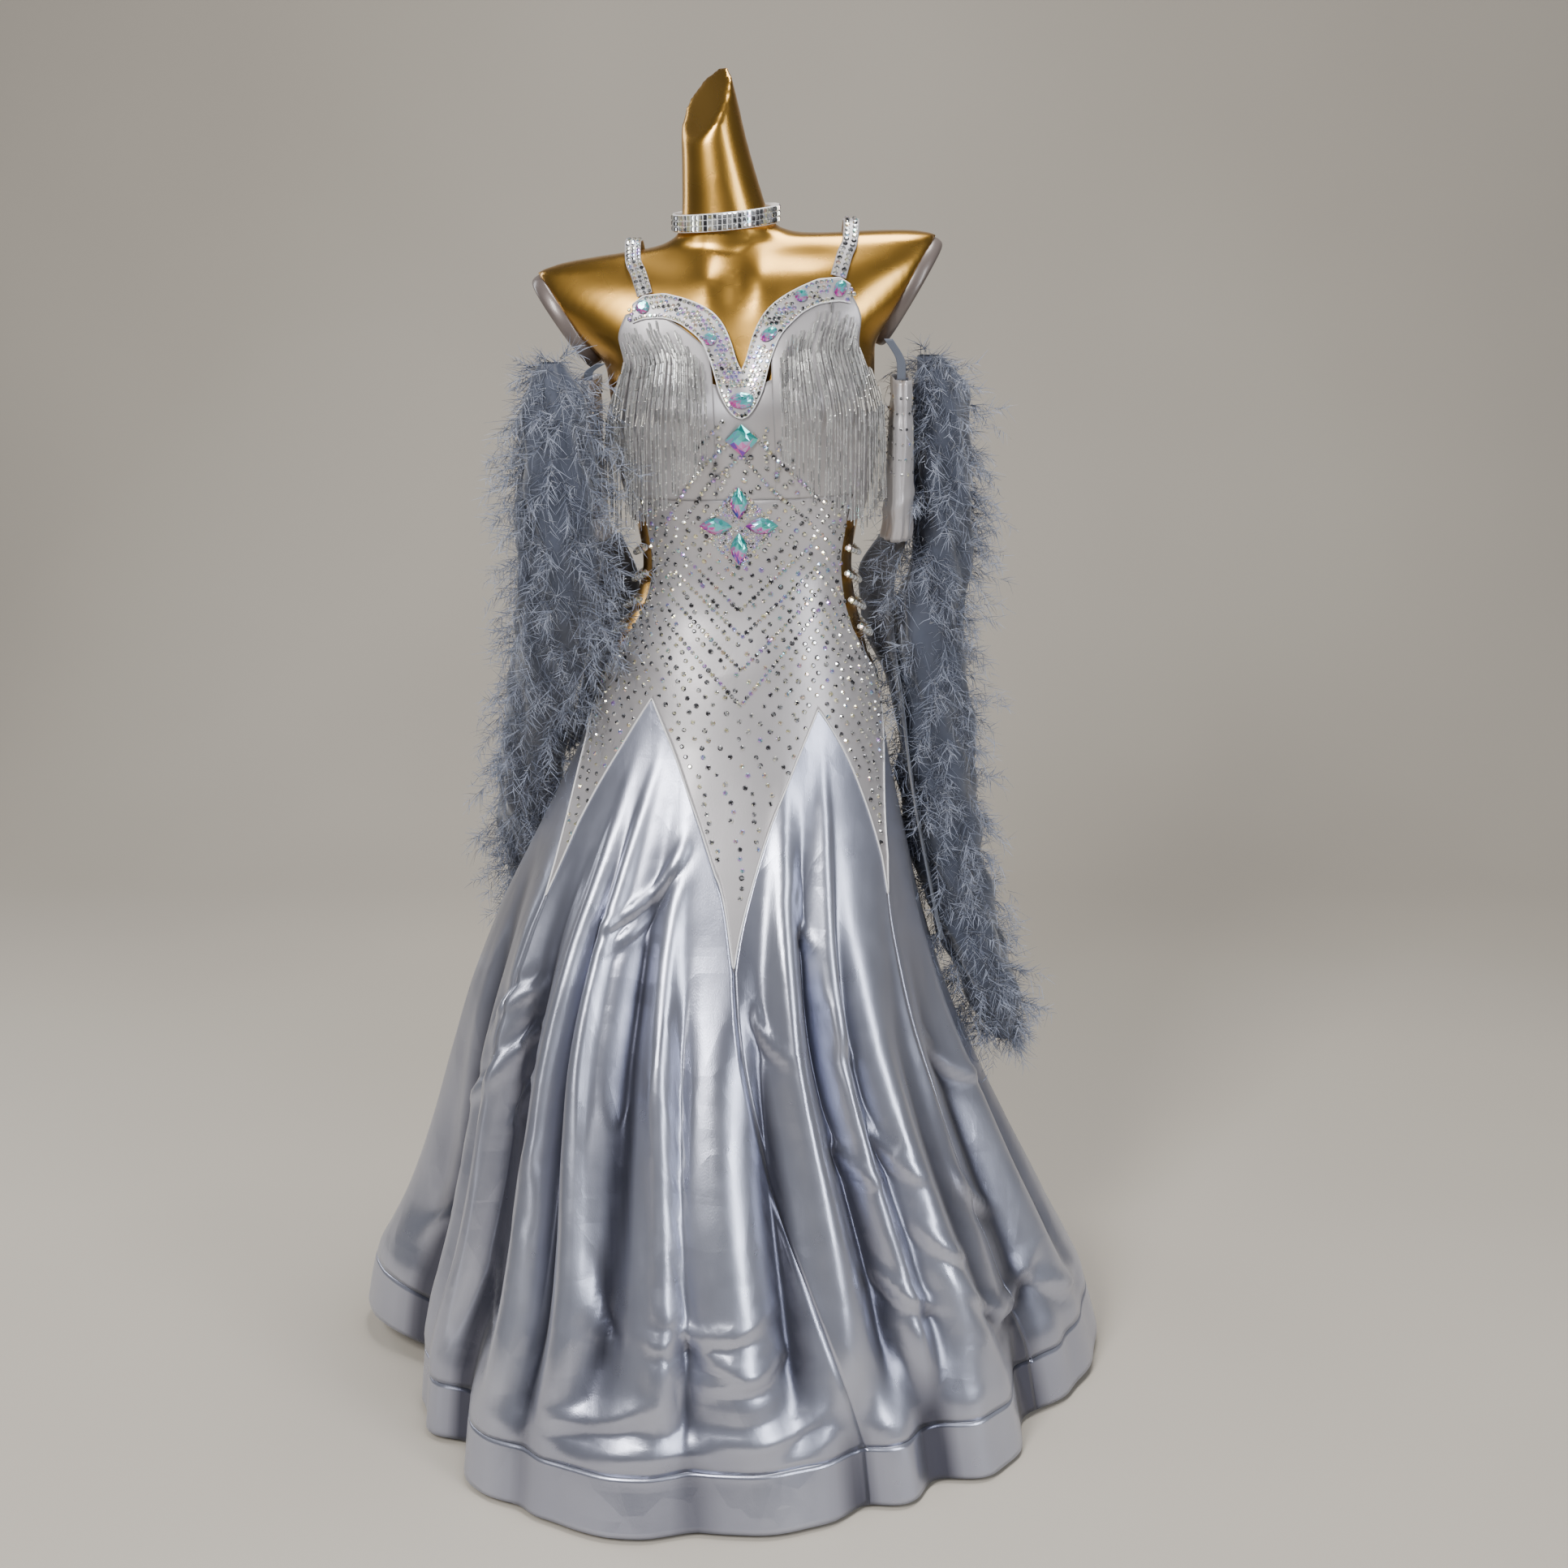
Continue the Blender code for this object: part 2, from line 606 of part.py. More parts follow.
def wall(name, inner, outer, finish, wraps=False):
    """A closed wall between two grids of points that match, each a list of columns.

    Both sides are cut into triangles alike, so that they stay as far apart as their points.
    """
    columns, rows = len(outer), len(outer[0])
    size = columns * rows
    points = [point for column in outer for point in column]
    points += [point for column in inner for point in column]
    faces = halves(grid_faces(columns, rows, 0, wraps))
    faces += [tuple(reversed(face)) for face in halves(grid_faces(columns, rows, size, wraps))]
    for i in range(columns if wraps else columns - 1):
        here, there = i * rows, (i + 1) % columns * rows
        for j in (0, rows - 1):
            faces.append((here + j, there + j, there + j + size, here + j + size))
    if not wraps:
        for i in (0, columns - 1):
            for j in range(rows - 1):
                here = i * rows + j
                faces.append((here, here + 1, here + 1 + size, here + size))
    return add_object(name, points, faces, finish)


def solid_rings(name, rings, finish):
    """A closed solid through rings of points, capped at both ends."""
    count = len(rings[0])
    points = [point for ring in rings for point in ring]
    faces = []
    for k in range(len(rings) - 1):
        for i in range(count):
            there = (i + 1) % count
            faces.append((k * count + i, k * count + there, (k + 1) * count + there, (k + 1) * count + i))
    faces.append(tuple(range(count)))
    faces.append(tuple(range((len(rings) - 1) * count, len(rings) * count)))
    return add_object(name, points, faces, finish)


def spread(start, end, count):
    """Evenly spaced values from start to end, both included."""
    return [start + (end - start) * i / (count - 1) for i in range(count)]


# The dress form.


def build_form():
    heights = [0.72, 0.78, 0.84, 0.90, 0.95, 0.98, 1.005, 1.03, 1.055, 1.08, 1.115, 1.155]
    heights += [1.195, 1.225, 1.255, 1.283, 1.306, 1.333, 1.36, 1.38, 1.396, 1.405, 1.410]
    heights += [1.413, 1.4175, NECK_START]
    rings = [[form_point(360 * i / 24, height) for i in range(24)] for height in heights]
    solid_rings("form_torso", rings, "gold_form")
    build_neck()
    for name, side in (("left", -1), ("right", 1)):
        build_arm_plate("arm_plate_" + name, side)
    build_stand()


def build_neck():
    """The horn, with a slanted flat cut on its upper left front."""
    rings = []
    for height in spread(NECK[0].height, NECK[-1].height, 11):
        row = [along(NECK, name, height) for name in NeckRing._fields[1:]]
        ring = []
        for i in range(16):
            turn = 2 * math.pi * i / 16
            x = row[0] + row[1] * math.sin(turn)
            ring.append(rolled(x, -row[2] * math.cos(turn), height + GAP))
        rings.append(ring)
    neck = solid_rings("form_neck", rings, "gold_form")
    cut = bmesh.new()
    cut.from_mesh(neck.data)
    made = bmesh.ops.bisect_plane(
        cut,
        geom=cut.verts[:] + cut.edges[:] + cut.faces[:],
        plane_co=NECK_CUT_POINT,
        plane_no=NECK_CUT_NORMAL,
        clear_outer=True,
    )
    rim = [edge for edge in made["geom_cut"] if isinstance(edge, bmesh.types.BMEdge)]
    bmesh.ops.edgenet_fill(cut, edges=rim)
    bmesh.ops.recalc_face_normals(cut, faces=cut.faces)
    cut.to_mesh(neck.data)
    cut.free()
    neck.data.set_sharp_from_angle(angle=math.radians(35))


def build_arm_plate(name, side):
    """A flat rounded plate that closes the arm cut."""
    top = Vector((side * ARM_TOP_REACH, 0, ARM_TOP_HEIGHT + SHOULDER_ROLL * side * ARM_TOP_REACH))
    low_height = ARM_TOP_HEIGHT - (ARM_TOP_REACH - ARM_LOW_REACH) / ARM_LEAN
    low = form_point(90 * side, low_height)
    low.x = side * ARM_LOW_REACH
    low.y = 0
    middle = (top + low) / 2 + Vector((0, 0.004, 0))
    up = (top - low).normalized()
    out = Vector((side, 0, 0))
    out = (out - up * out.dot(up)).normalized()
    half_long = (top - low).length / 2
    rings = []
    for share, distance in ((0.94, 0.0), (1.0, 0.003), (1.0, 0.008), (0.93, PLATE_THICKNESS)):
        ring = []
        for i in range(20):
            turn = 2 * math.pi * i / 20
            along_plate = half_long * share * math.cos(turn)
            across_plate = 0.044 * share * math.sin(turn)
            ring.append(middle + up * along_plate + Vector((0, across_plate, 0)) + out * (distance + 0.0025))
        rings.append(ring)
    solid_rings(name, rings, "dark_plate")


def build_stand():
    def disc(radius, height, count=32):
        return [
            Vector((radius * math.cos(2 * math.pi * i / count), radius * math.sin(2 * math.pi * i / count), height))
            for i in range(count)
        ]

    bevel = 0.003
    rings = [
        disc(BASE_RADIUS, 0.0),
        disc(BASE_RADIUS, BASE_THICKNESS - bevel),
        disc(BASE_RADIUS - bevel, BASE_THICKNESS),
    ]
    solid_rings("base_plate", rings, "steel")
    pole = [disc(POLE_RADIUS, BASE_THICKNESS + GAP, 16), disc(POLE_RADIUS, FORM_BOTTOM - GAP, 16)]
    solid_rings("pole", pole, "steel")


# Bodice, tongues and godets.


def seam_share(share):
    """How much of the angle from tongue tip to godet tip is left, share of the way down."""
    rest = 1 - share
    return (1 - SEAM_STRAIGHT) * rest**SEAM_CURVE + SEAM_STRAIGHT * rest


def seam_points(godet, tongue):
    """Angles and heights down the seam from a godet's tip to a tongue's tip."""
    swing = (godet.angle - tongue.angle + 180) % 360 - 180
    points = []
    for share in SEAM_SHARES:
        height = godet.height + (tongue.height - godet.height) * share
        points.append((tongue.angle + swing * seam_share(share), height))
    return points


def panel_bottom(godets, tongues):
    """The zigzag lower edge of a panel, as sorted angles and heights."""
    edge = {}
    for godet in godets:
        for tongue in tongues:
            if abs((godet.angle - tongue.angle + 180) % 360 - 180) < 45:
                for angle, height in seam_points(godet, tongue):
                    edge[round(angle, 4)] = height
    return sorted(edge.items())


def between(edge, angle):
    """Height of a zigzag edge at an angle."""
    for (first, low), (second, high) in zip(edge, edge[1:]):
        if first <= angle <= second:
            return low + (high - low) * (angle - first) / (second - first)
    return edge[0][1] if angle < edge[0][0] else edge[-1][1]


def cloth_wall(name, columns, rows, finish, clearance=CLOTH_CLEARANCE):
    """A wall of cloth on the figure; each column runs from its low to its high end."""
    inner, outer = [], []
    for column in columns:
        spots = list(
            zip(
                spread(column.angle_low, column.angle_high, rows),
                spread(column.low, column.high, rows),
            )
        )
        inner.append([lifted(cloth_point, angle, height, clearance) for angle, height in spots])
        outer.append(
            [lifted(cloth_point, angle, height, clearance + CLOTH_THICKNESS) for angle, height in spots]
        )
    return wall(name, inner, outer, finish)


def angle_for(width, angle, height):
    """The angle that spans a width on the cloth at a place."""
    step = 0.5
    span = (cloth_point(angle + step, height) - cloth_point(angle - step, height)).length
    return width / span * 2 * step


def build_panel(name, middle, tongue_names, godets, top, key_angles):
    """Front or back panel, with its three tongues."""
    tongues = [tip._replace(angle=near(tip.angle, middle)) for tip in TONGUES if tip.name in tongue_names]
    godets = [tip._replace(angle=near(tip.angle, middle)) for tip in godets]
    bottom = panel_bottom(godets, tongues)
    first, last = bottom[0][0], bottom[-1][0]
    inset = angle_for(SEAM_GAP / 2, first, 0.9)
    angles = sorted({angle for angle, _ in bottom} | set(key_angles))
    columns = []
    for angle in angles:
        moved = min(max(angle, first + inset), last - inset)
        high = edge_height(top, angle - middle)
        columns.append(Column(moved, between(bottom, angle), moved, high))
    cloth_wall(name, columns, PANEL_ROWS, "stretch_satin")


def near(angle, middle):
    """The same direction, written within half a turn of the middle."""
    return middle + (angle - middle + 180) % 360 - 180


def hem_height(angle):
    rise = sum(
        row.rise * math.exp(-((((angle - row.angle + 180) % 360 - 180) / row.spread) ** 2))
        for row in HEM_RISES
    )
    return HEM_LOW + rise


def build_godet(index):
    """One godet and the stiffened band at its hem, between two tongues."""
    godet = GODETS[index]
    before = TONGUES[index]._replace(angle=near(TONGUES[index].angle, godet.angle))
    following = TONGUES[(index + 1) % len(TONGUES)]
    after = following._replace(angle=near(following.angle, godet.angle))
    left, right = seam_points(godet, before), seam_points(godet, after)
    rows = [tip_row(godet)]
    rows += [inset_row(left[i], right[i]) for i in range(1, len(SEAM_SHARES))]
    for i in range(1, GODET_LOW_ROWS + 1):
        share = i / GODET_LOW_ROWS
        ends = []
        for tongue in (before, after):
            low = hem_height(hem_angle(tongue)) + HEM_BAND
            angle = tongue.angle + SEAM_DRIFT[tongue.name] * share**DRIFT_POWER
            ends.append((angle, tongue.height + (low - tongue.height) * share))
        rows.append(inset_row(*ends))
    rows_to_wall("godet_" + godet.name, rows, HEM_BAND)
    hem_rows = []
    for share in spread(1 - 2 * GAP / HEM_BAND, 0, HEM_ROWS + 1):
        ends = []
        for tongue in (before, after):
            angle = hem_angle(tongue)
            ends.append((angle, hem_height(angle) + HEM_BAND * share))
        hem_rows.append(inset_row(*ends))
    rows_to_wall("hem_" + godet.name, hem_rows, None)


def hem_angle(tongue):
    """The angle at which a tongue's seam reaches the hem."""
    return tongue.angle + SEAM_DRIFT[tongue.name]


def tip_row(godet):
    height = godet.height - TIP_DROP
    half = angle_for(TIP_HALF_WIDTH, godet.angle, height)
    return (godet.angle - half, height), (godet.angle + half, height)


def inset_row(left, right):
    """A row's two ends, each moved in from its seam."""
    return (
        (left[0] + angle_for(SEAM_GAP, *left), left[1]),
        (right[0] - angle_for(SEAM_GAP, *right), right[1]),
    )


def rows_to_wall(name, rows, band):
    """Cloth through rows that each run from a left end to a right end, following the hem's rise."""
    inner, outer = [], []
    for k in range(GODET_COLUMNS):
        share = k / (GODET_COLUMNS - 1)
        column_in, column_out = [], []
        for (left_angle, left_height), (right_angle, right_height) in rows:
            angle = left_angle + (right_angle - left_angle) * share
            height = left_height + (right_height - left_height) * share
            height += hem_follow(angle, height, (left_angle, right_angle), share)
            column_in.append(lifted(cloth_point, angle, height, CLOTH_CLEARANCE))
            column_out.append(lifted(cloth_point, angle, height, CLOTH_CLEARANCE + CLOTH_THICKNESS))
        inner.append(column_in)
        outer.append(column_out)
    wall(name, inner, outer, "skirt_satin")


def hem_follow(angle, height, ends, share):
    """Between a row's ends the hem rises further, less so higher up the skirt."""
    straight = hem_height(ends[0]) + (hem_height(ends[1]) - hem_height(ends[0])) * share
    return (hem_height(angle) - straight) * ease(0.60, 0.05, height)


def mirrored(columns, side):
    return [row._replace(angle_low=side * row.angle_low, angle_high=side * row.angle_high) for row in columns]


def build_bodice():
    front = [tip for tip in GODETS if not tip.name.startswith("back")]
    back = [tip for tip in GODETS if not tip.name.startswith("front")]
    build_panel("front_panel", 0, ("front", "front_left", "front_right"), front, FRONT_TOP, FRONT_KEY_ANGLES)
    build_panel("back_panel", 180, ("back", "back_left", "back_right"), back, BACK_TOP, BACK_KEY_ANGLES)
    cloth_wall("centre_gore", GORE, GORE_ROWS, "stretch_satin")
    for name, side in (("left", -1), ("right", 1)):
        cloth_wall("cup_" + name, mirrored(CUP, side), CUP_ROWS, "stretch_satin", CUP_CLEARANCE)
        cloth_wall("wing_" + name, mirrored(WING, side), WING_ROWS, "stretch_satin", CUP_CLEARANCE)
        build_fringe("fringe_" + name, side)


def fringe_point(angle, height):
    """The fringe follows the cup down to its fullest height and then hangs straight."""
    point = cloth_point(angle, max(height, FRINGE_HANG))
    point.z = cloth_point(angle, height).z
    return point


def build_fringe(name, side):
    inner, outer = [], []
    for row in mirrored(FRINGE, side):
        angles = spread(row.angle_low, row.angle_high, FRINGE_ROWS)
        heights = spread(row.low, row.high, FRINGE_ROWS)
        for grid, lift in ((inner, FRINGE_LIFT), (outer, FRINGE_LIFT + FRINGE_THICKNESS)):
            grid.append([lifted(fringe_point, a, h, lift) for a, h in zip(angles, heights)])
    wall(name, inner, outer, "bugle_beads")


# Neckline, straps and neck band.


def build_neckline():
    rows = [row._replace(out=-row.out) for row in reversed(NECKLINE[1:])] + list(NECKLINE)
    inner, outer = [], []
    for row in rows:
        heights = spread(row.low, row.high, 3)
        x = CENTRE_LINE + row.out
        inner.append([front_lifted(x, height, BAND_LIFT) for height in heights])
        outer.append([front_lifted(x, height, BAND_LIFT + BAND_THICKNESS) for height in heights])
    wall("neckline_band", inner, outer, "stoned_band")


def smooth_route(points, steps):
    """A smooth curve through the points, steps to each stretch."""
    route = []
    ends = [2 * points[0] - points[1], *points, 2 * points[-1] - points[-2]]
    for i in range(1, len(ends) - 2):
        a, b, c, d = ends[i - 1 : i + 3]
        for k in range(steps):
            t = k / steps
            spot = 2 * b + (c - a) * t + (2 * a - 5 * b + 4 * c - d) * t**2 + (3 * b - a - 3 * c + d) * t**3
            route.append(spot / 2)
    route.append(points[-1])
    return route


def strap_route(side):
    """Points of a strap's middle and the directions that face away from the form there."""
    spots, outwards = [], []
    for out, height in STRAP_FRONT:
        x = CENTRE_LINE + side * out
        spots.append(front_lifted(x, height, STRAP_LIFT))
        outwards.append((spots[-1] - front_point(x, height)).normalized())
    out = STRAP_FRONT[-1][0] + 0.002
    for y, rise in STRAP_TOP:
        x = CENTRE_LINE + side * out
        spots.append(rolled(x, y, SHOULDER_TOP + rise))
        outwards.append(Vector((0, y * 8, 1)).normalized())
    for out, height in STRAP_BACK:
        x = CENTRE_LINE + side * out
        spots.append(back_lifted(x, height, STRAP_LIFT))
        outwards.append((spots[-1] - back_point(x, height)).normalized())
    return smooth_route(spots, 2), smooth_route(outwards, 2)


def build_strap(name, side):
    route, outwards = strap_route(side)
    rings = []
    for i, (spot, outward) in enumerate(zip(route, outwards)):
        ahead = (route[min(i + 1, len(route) - 1)] - route[max(i - 1, 0)]).normalized()
        across = ahead.cross(outward).normalized() * (STRAP_WIDTH / 2)
        lift = across.cross(ahead).normalized() * STRAP_THICKNESS
        if lift.dot(outward) < 0:
            lift = -lift
        rings.append([spot - across, spot + across, spot + across + lift, spot - across + lift])
    solid_rings(name, rings, "stoned_band")


def neckband_point(turn, share, lift):
    """The band's tilt follows the shoulders, and its front dips."""
    half_x, half_y = NECKBAND_HALF
    x = NECKBAND_CENTRE[0] + (half_x + lift) * math.sin(turn)
    y = NECKBAND_CENTRE[1] - (half_y + lift) * math.cos(turn)
    dip = -0.004 * math.cos(turn)
    return rolled(x, y, NECKBAND_CENTRE[2] + dip + NECKBAND_HEIGHT * (share - 0.5))


def build_neckband():
    turns = [2 * math.pi * i / NECKBAND_SEGMENTS for i in range(NECKBAND_SEGMENTS)]
    inner = [[neckband_point(turn, share, 0) for share in (0, 1)] for turn in turns]
    outer = [[neckband_point(turn, share, NECKBAND_THICKNESS) for share in (0, 1)] for turn in turns]
    wall("neck_band", inner, outer, "stoned_band", wraps=True)


# Sleeves, floats, hangers and feather trims.


def build_sleeve(name, side):
    inner, outer = [], []
    for i in range(SLEEVE_SEGMENTS):
        turn = 2 * math.pi * i / SLEEVE_SEGMENTS
        column_in, column_out = [], []
        for row in SLEEVE:
            for column, less in ((column_in, SLEEVE_THICKNESS), (column_out, 0)):
                x = BODY_CENTRE + side * row.out + (row.half_x - less) * math.sin(turn)
                y = row.y - (row.half_y - less) * math.cos(turn)
                column.append(Vector((x, y, row.height)))
        inner.append(column_in)
        outer.append(column_out)
    wall(name, inner, outer, "stretch_satin", wraps=True)


def build_float(name, rows, side):
    """A flat strip of slate cloth that hangs from the sleeve's end, its front edge outermost."""
    inner, outer = [], []
    for share in spread(-1, 1, 5):
        bow = 0.004 * (1 - share * share)
        for grid, away in ((inner, bow), (outer, bow + CLOTH_THICKNESS)):
            grid.append(
                [
                    Vector((r.x + side * (away - share * r.half_x), r.y + share * r.half_y, r.height))
                    for r in rows
                ]
            )
    wall(name, inner, outer, "slate_cloth")


def build_feathers(name, rows):
    rings = []
    for row in rows:
        ring = []
        for i in range(FEATHER_SEGMENTS):
            turn = 2 * math.pi * i / FEATHER_SEGMENTS
            x = row.x + row.half_x * math.sin(turn)
            ring.append(Vector((x, row.y - row.half_y * math.cos(turn), row.height)))
        rings.append(ring)
    solid_rings(name, rings, "feathers")


def build_hanger(name, side):
    """A narrow strip from the armhole's front edge down to the sleeve's top."""
    roll = SHOULDER_ROLL * side * 0.15
    spots = (
        Vector((BODY_CENTRE + side * 0.1640, -0.064, 1.292 + roll)),
        Vector((BODY_CENTRE + side * 0.1780, -0.060, 1.276 + roll / 2)),
        Vector((BODY_CENTRE + side * 0.1800, -0.056, 1.2588)),
    )
    rings = []
    for spot in spots:
        half = Vector((HANGER_WIDTH / 2, 0, 0))
        thick = Vector((0, CLOTH_THICKNESS, 0))
        rings.append([spot - half, spot + half, spot + half - thick, spot - half - thick])
    solid_rings(name, rings, "slate_cloth")


def build_sleeves():
    for name, side in (("left", -1), ("right", 1)):
        build_sleeve("sleeve_" + name, side)
        build_hanger("sleeve_hanger_" + name, side)
        build_float("float_" + name, FLOATS[name], side)
        build_feathers("feather_trim_" + name, FEATHERS[name])


# Waist straps and large stones.


def build_waist_strap(name, strap, side):
    """A clear beaded strap from the front edge of a cut-out, round the side, to its back edge."""
    rings = []
    angles = spread(strap.front_angle, strap.back_angle, WAIST_STRAP_POINTS)
    for i, angle in enumerate(angles):
        share = i / (WAIST_STRAP_POINTS - 1)
        height = strap.front_height
        height += (strap.middle_height - strap.front_height) * math.sin(math.pi * share)
        spot = lifted(cloth_point, side * angle, height, WAIST_STRAP_LIFT)
        across = (lifted(cloth_point, side * angle, height, 1 + WAIST_STRAP_LIFT) - spot).normalized()
        ring = []
        for k in range(6):
            turn = 2 * math.pi * k / 6
            offset = across * math.cos(turn) + Vector((0, 0, 1)) * math.sin(turn)
            ring.append(spot + offset * WAIST_STRAP_RADIUS)
        rings.append(ring)
    solid_rings(name, rings, "clear_beads")


def build_stone(stone):
    """A low faceted crystal: girdle, slanted crown and flat table."""
    middle = front_lifted(stone.x, stone.height, stone.lift)
    step = 0.001
    across = (front_point(stone.x + step, stone.height) - front_point(stone.x - step, stone.height)).normalized()
    outward = (middle - front_point(stone.x, stone.height)).normalized()
    up = outward.cross(across).normalized()
    turn = math.radians(stone.turn)
    long_way = across * math.cos(turn) + up * math.sin(turn)
    short_way = up * math.cos(turn) - across * math.sin(turn)
    rings = []
    for share, rise in ((0.92, 0.0), (1.0, 0.25), (0.5, 1.0)):
        ring = []
        for i in range(stone.sides):
            at = 2 * math.pi * (i + (0.5 if stone.sides == 4 else 0)) / stone.sides
            scale = share * (math.sqrt(2) if stone.sides == 4 else 1)
            spot = middle + long_way * (math.cos(at) * stone.half_long * scale)
            aside = math.sin(at)
            if stone.name.startswith("cross"):
                aside *= abs(aside) ** POINT_SHARPNESS
            spot += short_way * (aside * stone.half_short * scale)
            ring.append(spot + outward * (rise * STONE_HEIGHT))
        rings.append(ring)
    obj = solid_rings(stone.name, rings, "crystal")
    obj.data.shade_flat()


def build_trimmings():
    for name, side in (("left", -1), ("right", 1)):
        for number, strap in enumerate(WAIST_STRAPS, 1):
            build_waist_strap(f"waist_strap_{name}_{number}", strap, side)
    for stone in STONES:
        build_stone(stone)


def main():
    clear_scene()
    build_form()
    build_bodice()
    for index in range(len(GODETS)):
        build_godet(index)
    build_neckline()
    for name, side in (("left", -1), ("right", 1)):
        build_strap("strap_" + name, side)
    build_neckband()
    build_sleeves()
    build_trimmings()


main()
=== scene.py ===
"""Looks of a ballroom dance dress on its limbless dress form.

Lengths are in metres, +Z is up and the dress faces -Y. Every cloth piece lies on one figure: an
angle runs round it in degrees, 0 at the centre front and 90 at the +X side, and a height is
measured from the floor before the tilt of the shoulders moves it.
"""

from __future__ import annotations

import logging
import math
from dataclasses import dataclass
from enum import Enum
from typing import Callable, NamedTuple, Sequence

import bmesh
import bpy
import numpy as np
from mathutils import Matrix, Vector

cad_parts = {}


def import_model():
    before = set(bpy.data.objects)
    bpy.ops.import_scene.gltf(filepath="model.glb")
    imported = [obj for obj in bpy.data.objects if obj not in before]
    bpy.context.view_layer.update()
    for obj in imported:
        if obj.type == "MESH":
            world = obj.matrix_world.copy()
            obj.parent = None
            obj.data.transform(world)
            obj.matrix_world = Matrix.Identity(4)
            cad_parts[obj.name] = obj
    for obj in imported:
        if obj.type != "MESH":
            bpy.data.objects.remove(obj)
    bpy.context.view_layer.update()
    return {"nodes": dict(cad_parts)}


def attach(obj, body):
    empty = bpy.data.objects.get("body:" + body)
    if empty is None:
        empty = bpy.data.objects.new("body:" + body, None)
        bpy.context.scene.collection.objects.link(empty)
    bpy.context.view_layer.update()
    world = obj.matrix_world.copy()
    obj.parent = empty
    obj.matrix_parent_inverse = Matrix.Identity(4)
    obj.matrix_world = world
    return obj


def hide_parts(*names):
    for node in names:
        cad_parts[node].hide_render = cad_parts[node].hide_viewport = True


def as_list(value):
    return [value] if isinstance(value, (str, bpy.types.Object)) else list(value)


LOG = logging.getLogger("dress")
Array = np.ndarray
Surface = Callable[[Array, Array], Array]
BODY = "root"


class Side(Enum):
    """The wearer's side as seen from the front: LEFT is towards -X."""

    LEFT = -1
    RIGHT = 1

    @property
    def label(self) -> str:
        """The word used in the names of nodes and pieces."""
        return self.name.lower()


class Slot(Enum):
    """Material slots of the part."""

    GOLD_FORM = "gold_form"
    DARK_PLATE = "dark_plate"
    STEEL = "steel"
    STRETCH_SATIN = "stretch_satin"
    SKIRT_SATIN = "skirt_satin"
    STONED_BAND = "stoned_band"
    SLATE_CLOTH = "slate_cloth"
    FEATHERS = "feathers"
    BUGLE_BEADS = "bugle_beads"
    CLEAR_BEADS = "clear_beads"
    CRYSTAL = "crystal"


class Lift(Enum):
    """Heights of layers over the figure."""

    CLOTH = 0.0032
    GORE = 0.0040
    CUP = 0.0048
    BAND = 0.0076
    FRINGE = 0.0088


# Small helpers for arrays.


def ease(start: float, end: float, value: Array) -> Array:
    """0 before start, 1 after end, and a smooth step between."""
    share = np.clip((np.asarray(value, float) - start) / (end - start), 0.0, 1.0)
    return share * share * (3 - 2 * share)


def unit(vectors: Array) -> Array:
    """The vectors at length 1."""
    return vectors / np.maximum(np.linalg.norm(vectors, axis=-1, keepdims=True), 1e-12)


def wrapped(degrees: Array) -> Array:
    """The same directions within half a turn of 0."""
    return (degrees + 180) % 360 - 180


def stack(x: Array, y: Array, z: Array) -> Array:
    """Points from their three coordinates."""
    return np.stack(np.broadcast_arrays(x, y, z), axis=-1).astype(float)


def bell(away: Array, spread: float) -> Array:
    """A soft hump, 1 at its middle."""
    return np.exp(-((away / spread) ** 2))


class Profile:
    """A smooth curve through a table's rows that never overshoots them."""

    def __init__(self, places: Sequence[float], values: Sequence[float]) -> None:
        """Prepares the tangents.

        Args:
            places: Where the rows are, rising.
            values: The curve's value at each row.
        """
        self.places = np.array(places, float)
        self.values = np.array(values, float)
        slopes = np.diff(self.values) / np.diff(self.places)
        product, total = slopes[:-1] * slopes[1:], slopes[:-1] + slopes[1:]
        inner = np.where(product > 0, 2 * product / np.where(product > 0, total, 1.0), 0.0)
        self.tangents = np.concatenate(([slopes[0]], inner, [slopes[-1]]))

    def at(self, where: Array) -> Array:
        """The curve's value at each place, held at the ends.

        Args:
            where: Places along the curve.

        Returns:
            The values there.
        """
        places, values, tangents = self.places, self.values, self.tangents
        where = np.clip(where, places[0], places[-1])
        index = np.clip(np.searchsorted(places, where, side="right") - 1, 0, len(places) - 2)
        span = places[index + 1] - places[index]
        t = (where - places[index]) / span
        return (
            (2 * t**3 - 3 * t**2 + 1) * values[index]
            + (t**3 - 2 * t**2 + t) * tangents[index] * span
            + (3 * t**2 - 2 * t**3) * values[index + 1]
            + (t**3 - t**2) * tangents[index + 1] * span
        )


class Table:
    """Columns of sizes against the first column."""

    def __init__(self, rows: Sequence[Sequence[float]]) -> None:
        """Makes one curve for each column after the first."""
        columns = list(zip(*rows))
        self.curves = [Profile(columns[0], column) for column in columns[1:]]

    def at(self, where: Array) -> list[Array]:
        """Every column's value at each place."""
        return [curve.at(where) for curve in self.curves]


class Fold(NamedTuple):
    """A fold of the skirt; reach is how far it stands out at the hem, or in if below 0."""

    angle: float
    spread: float
    reach: float
    top: float


class Crease(NamedTuple):
    """A soft ridge with a trough beside it, from one place on the skirt to another."""

    angle: float
    height: float
    end_angle: float
    end_height: float
    width: float
    depth: float


class Tip(NamedTuple):
    """The tip of a tongue or of a godet."""

    name: str
    angle: float
    height: float


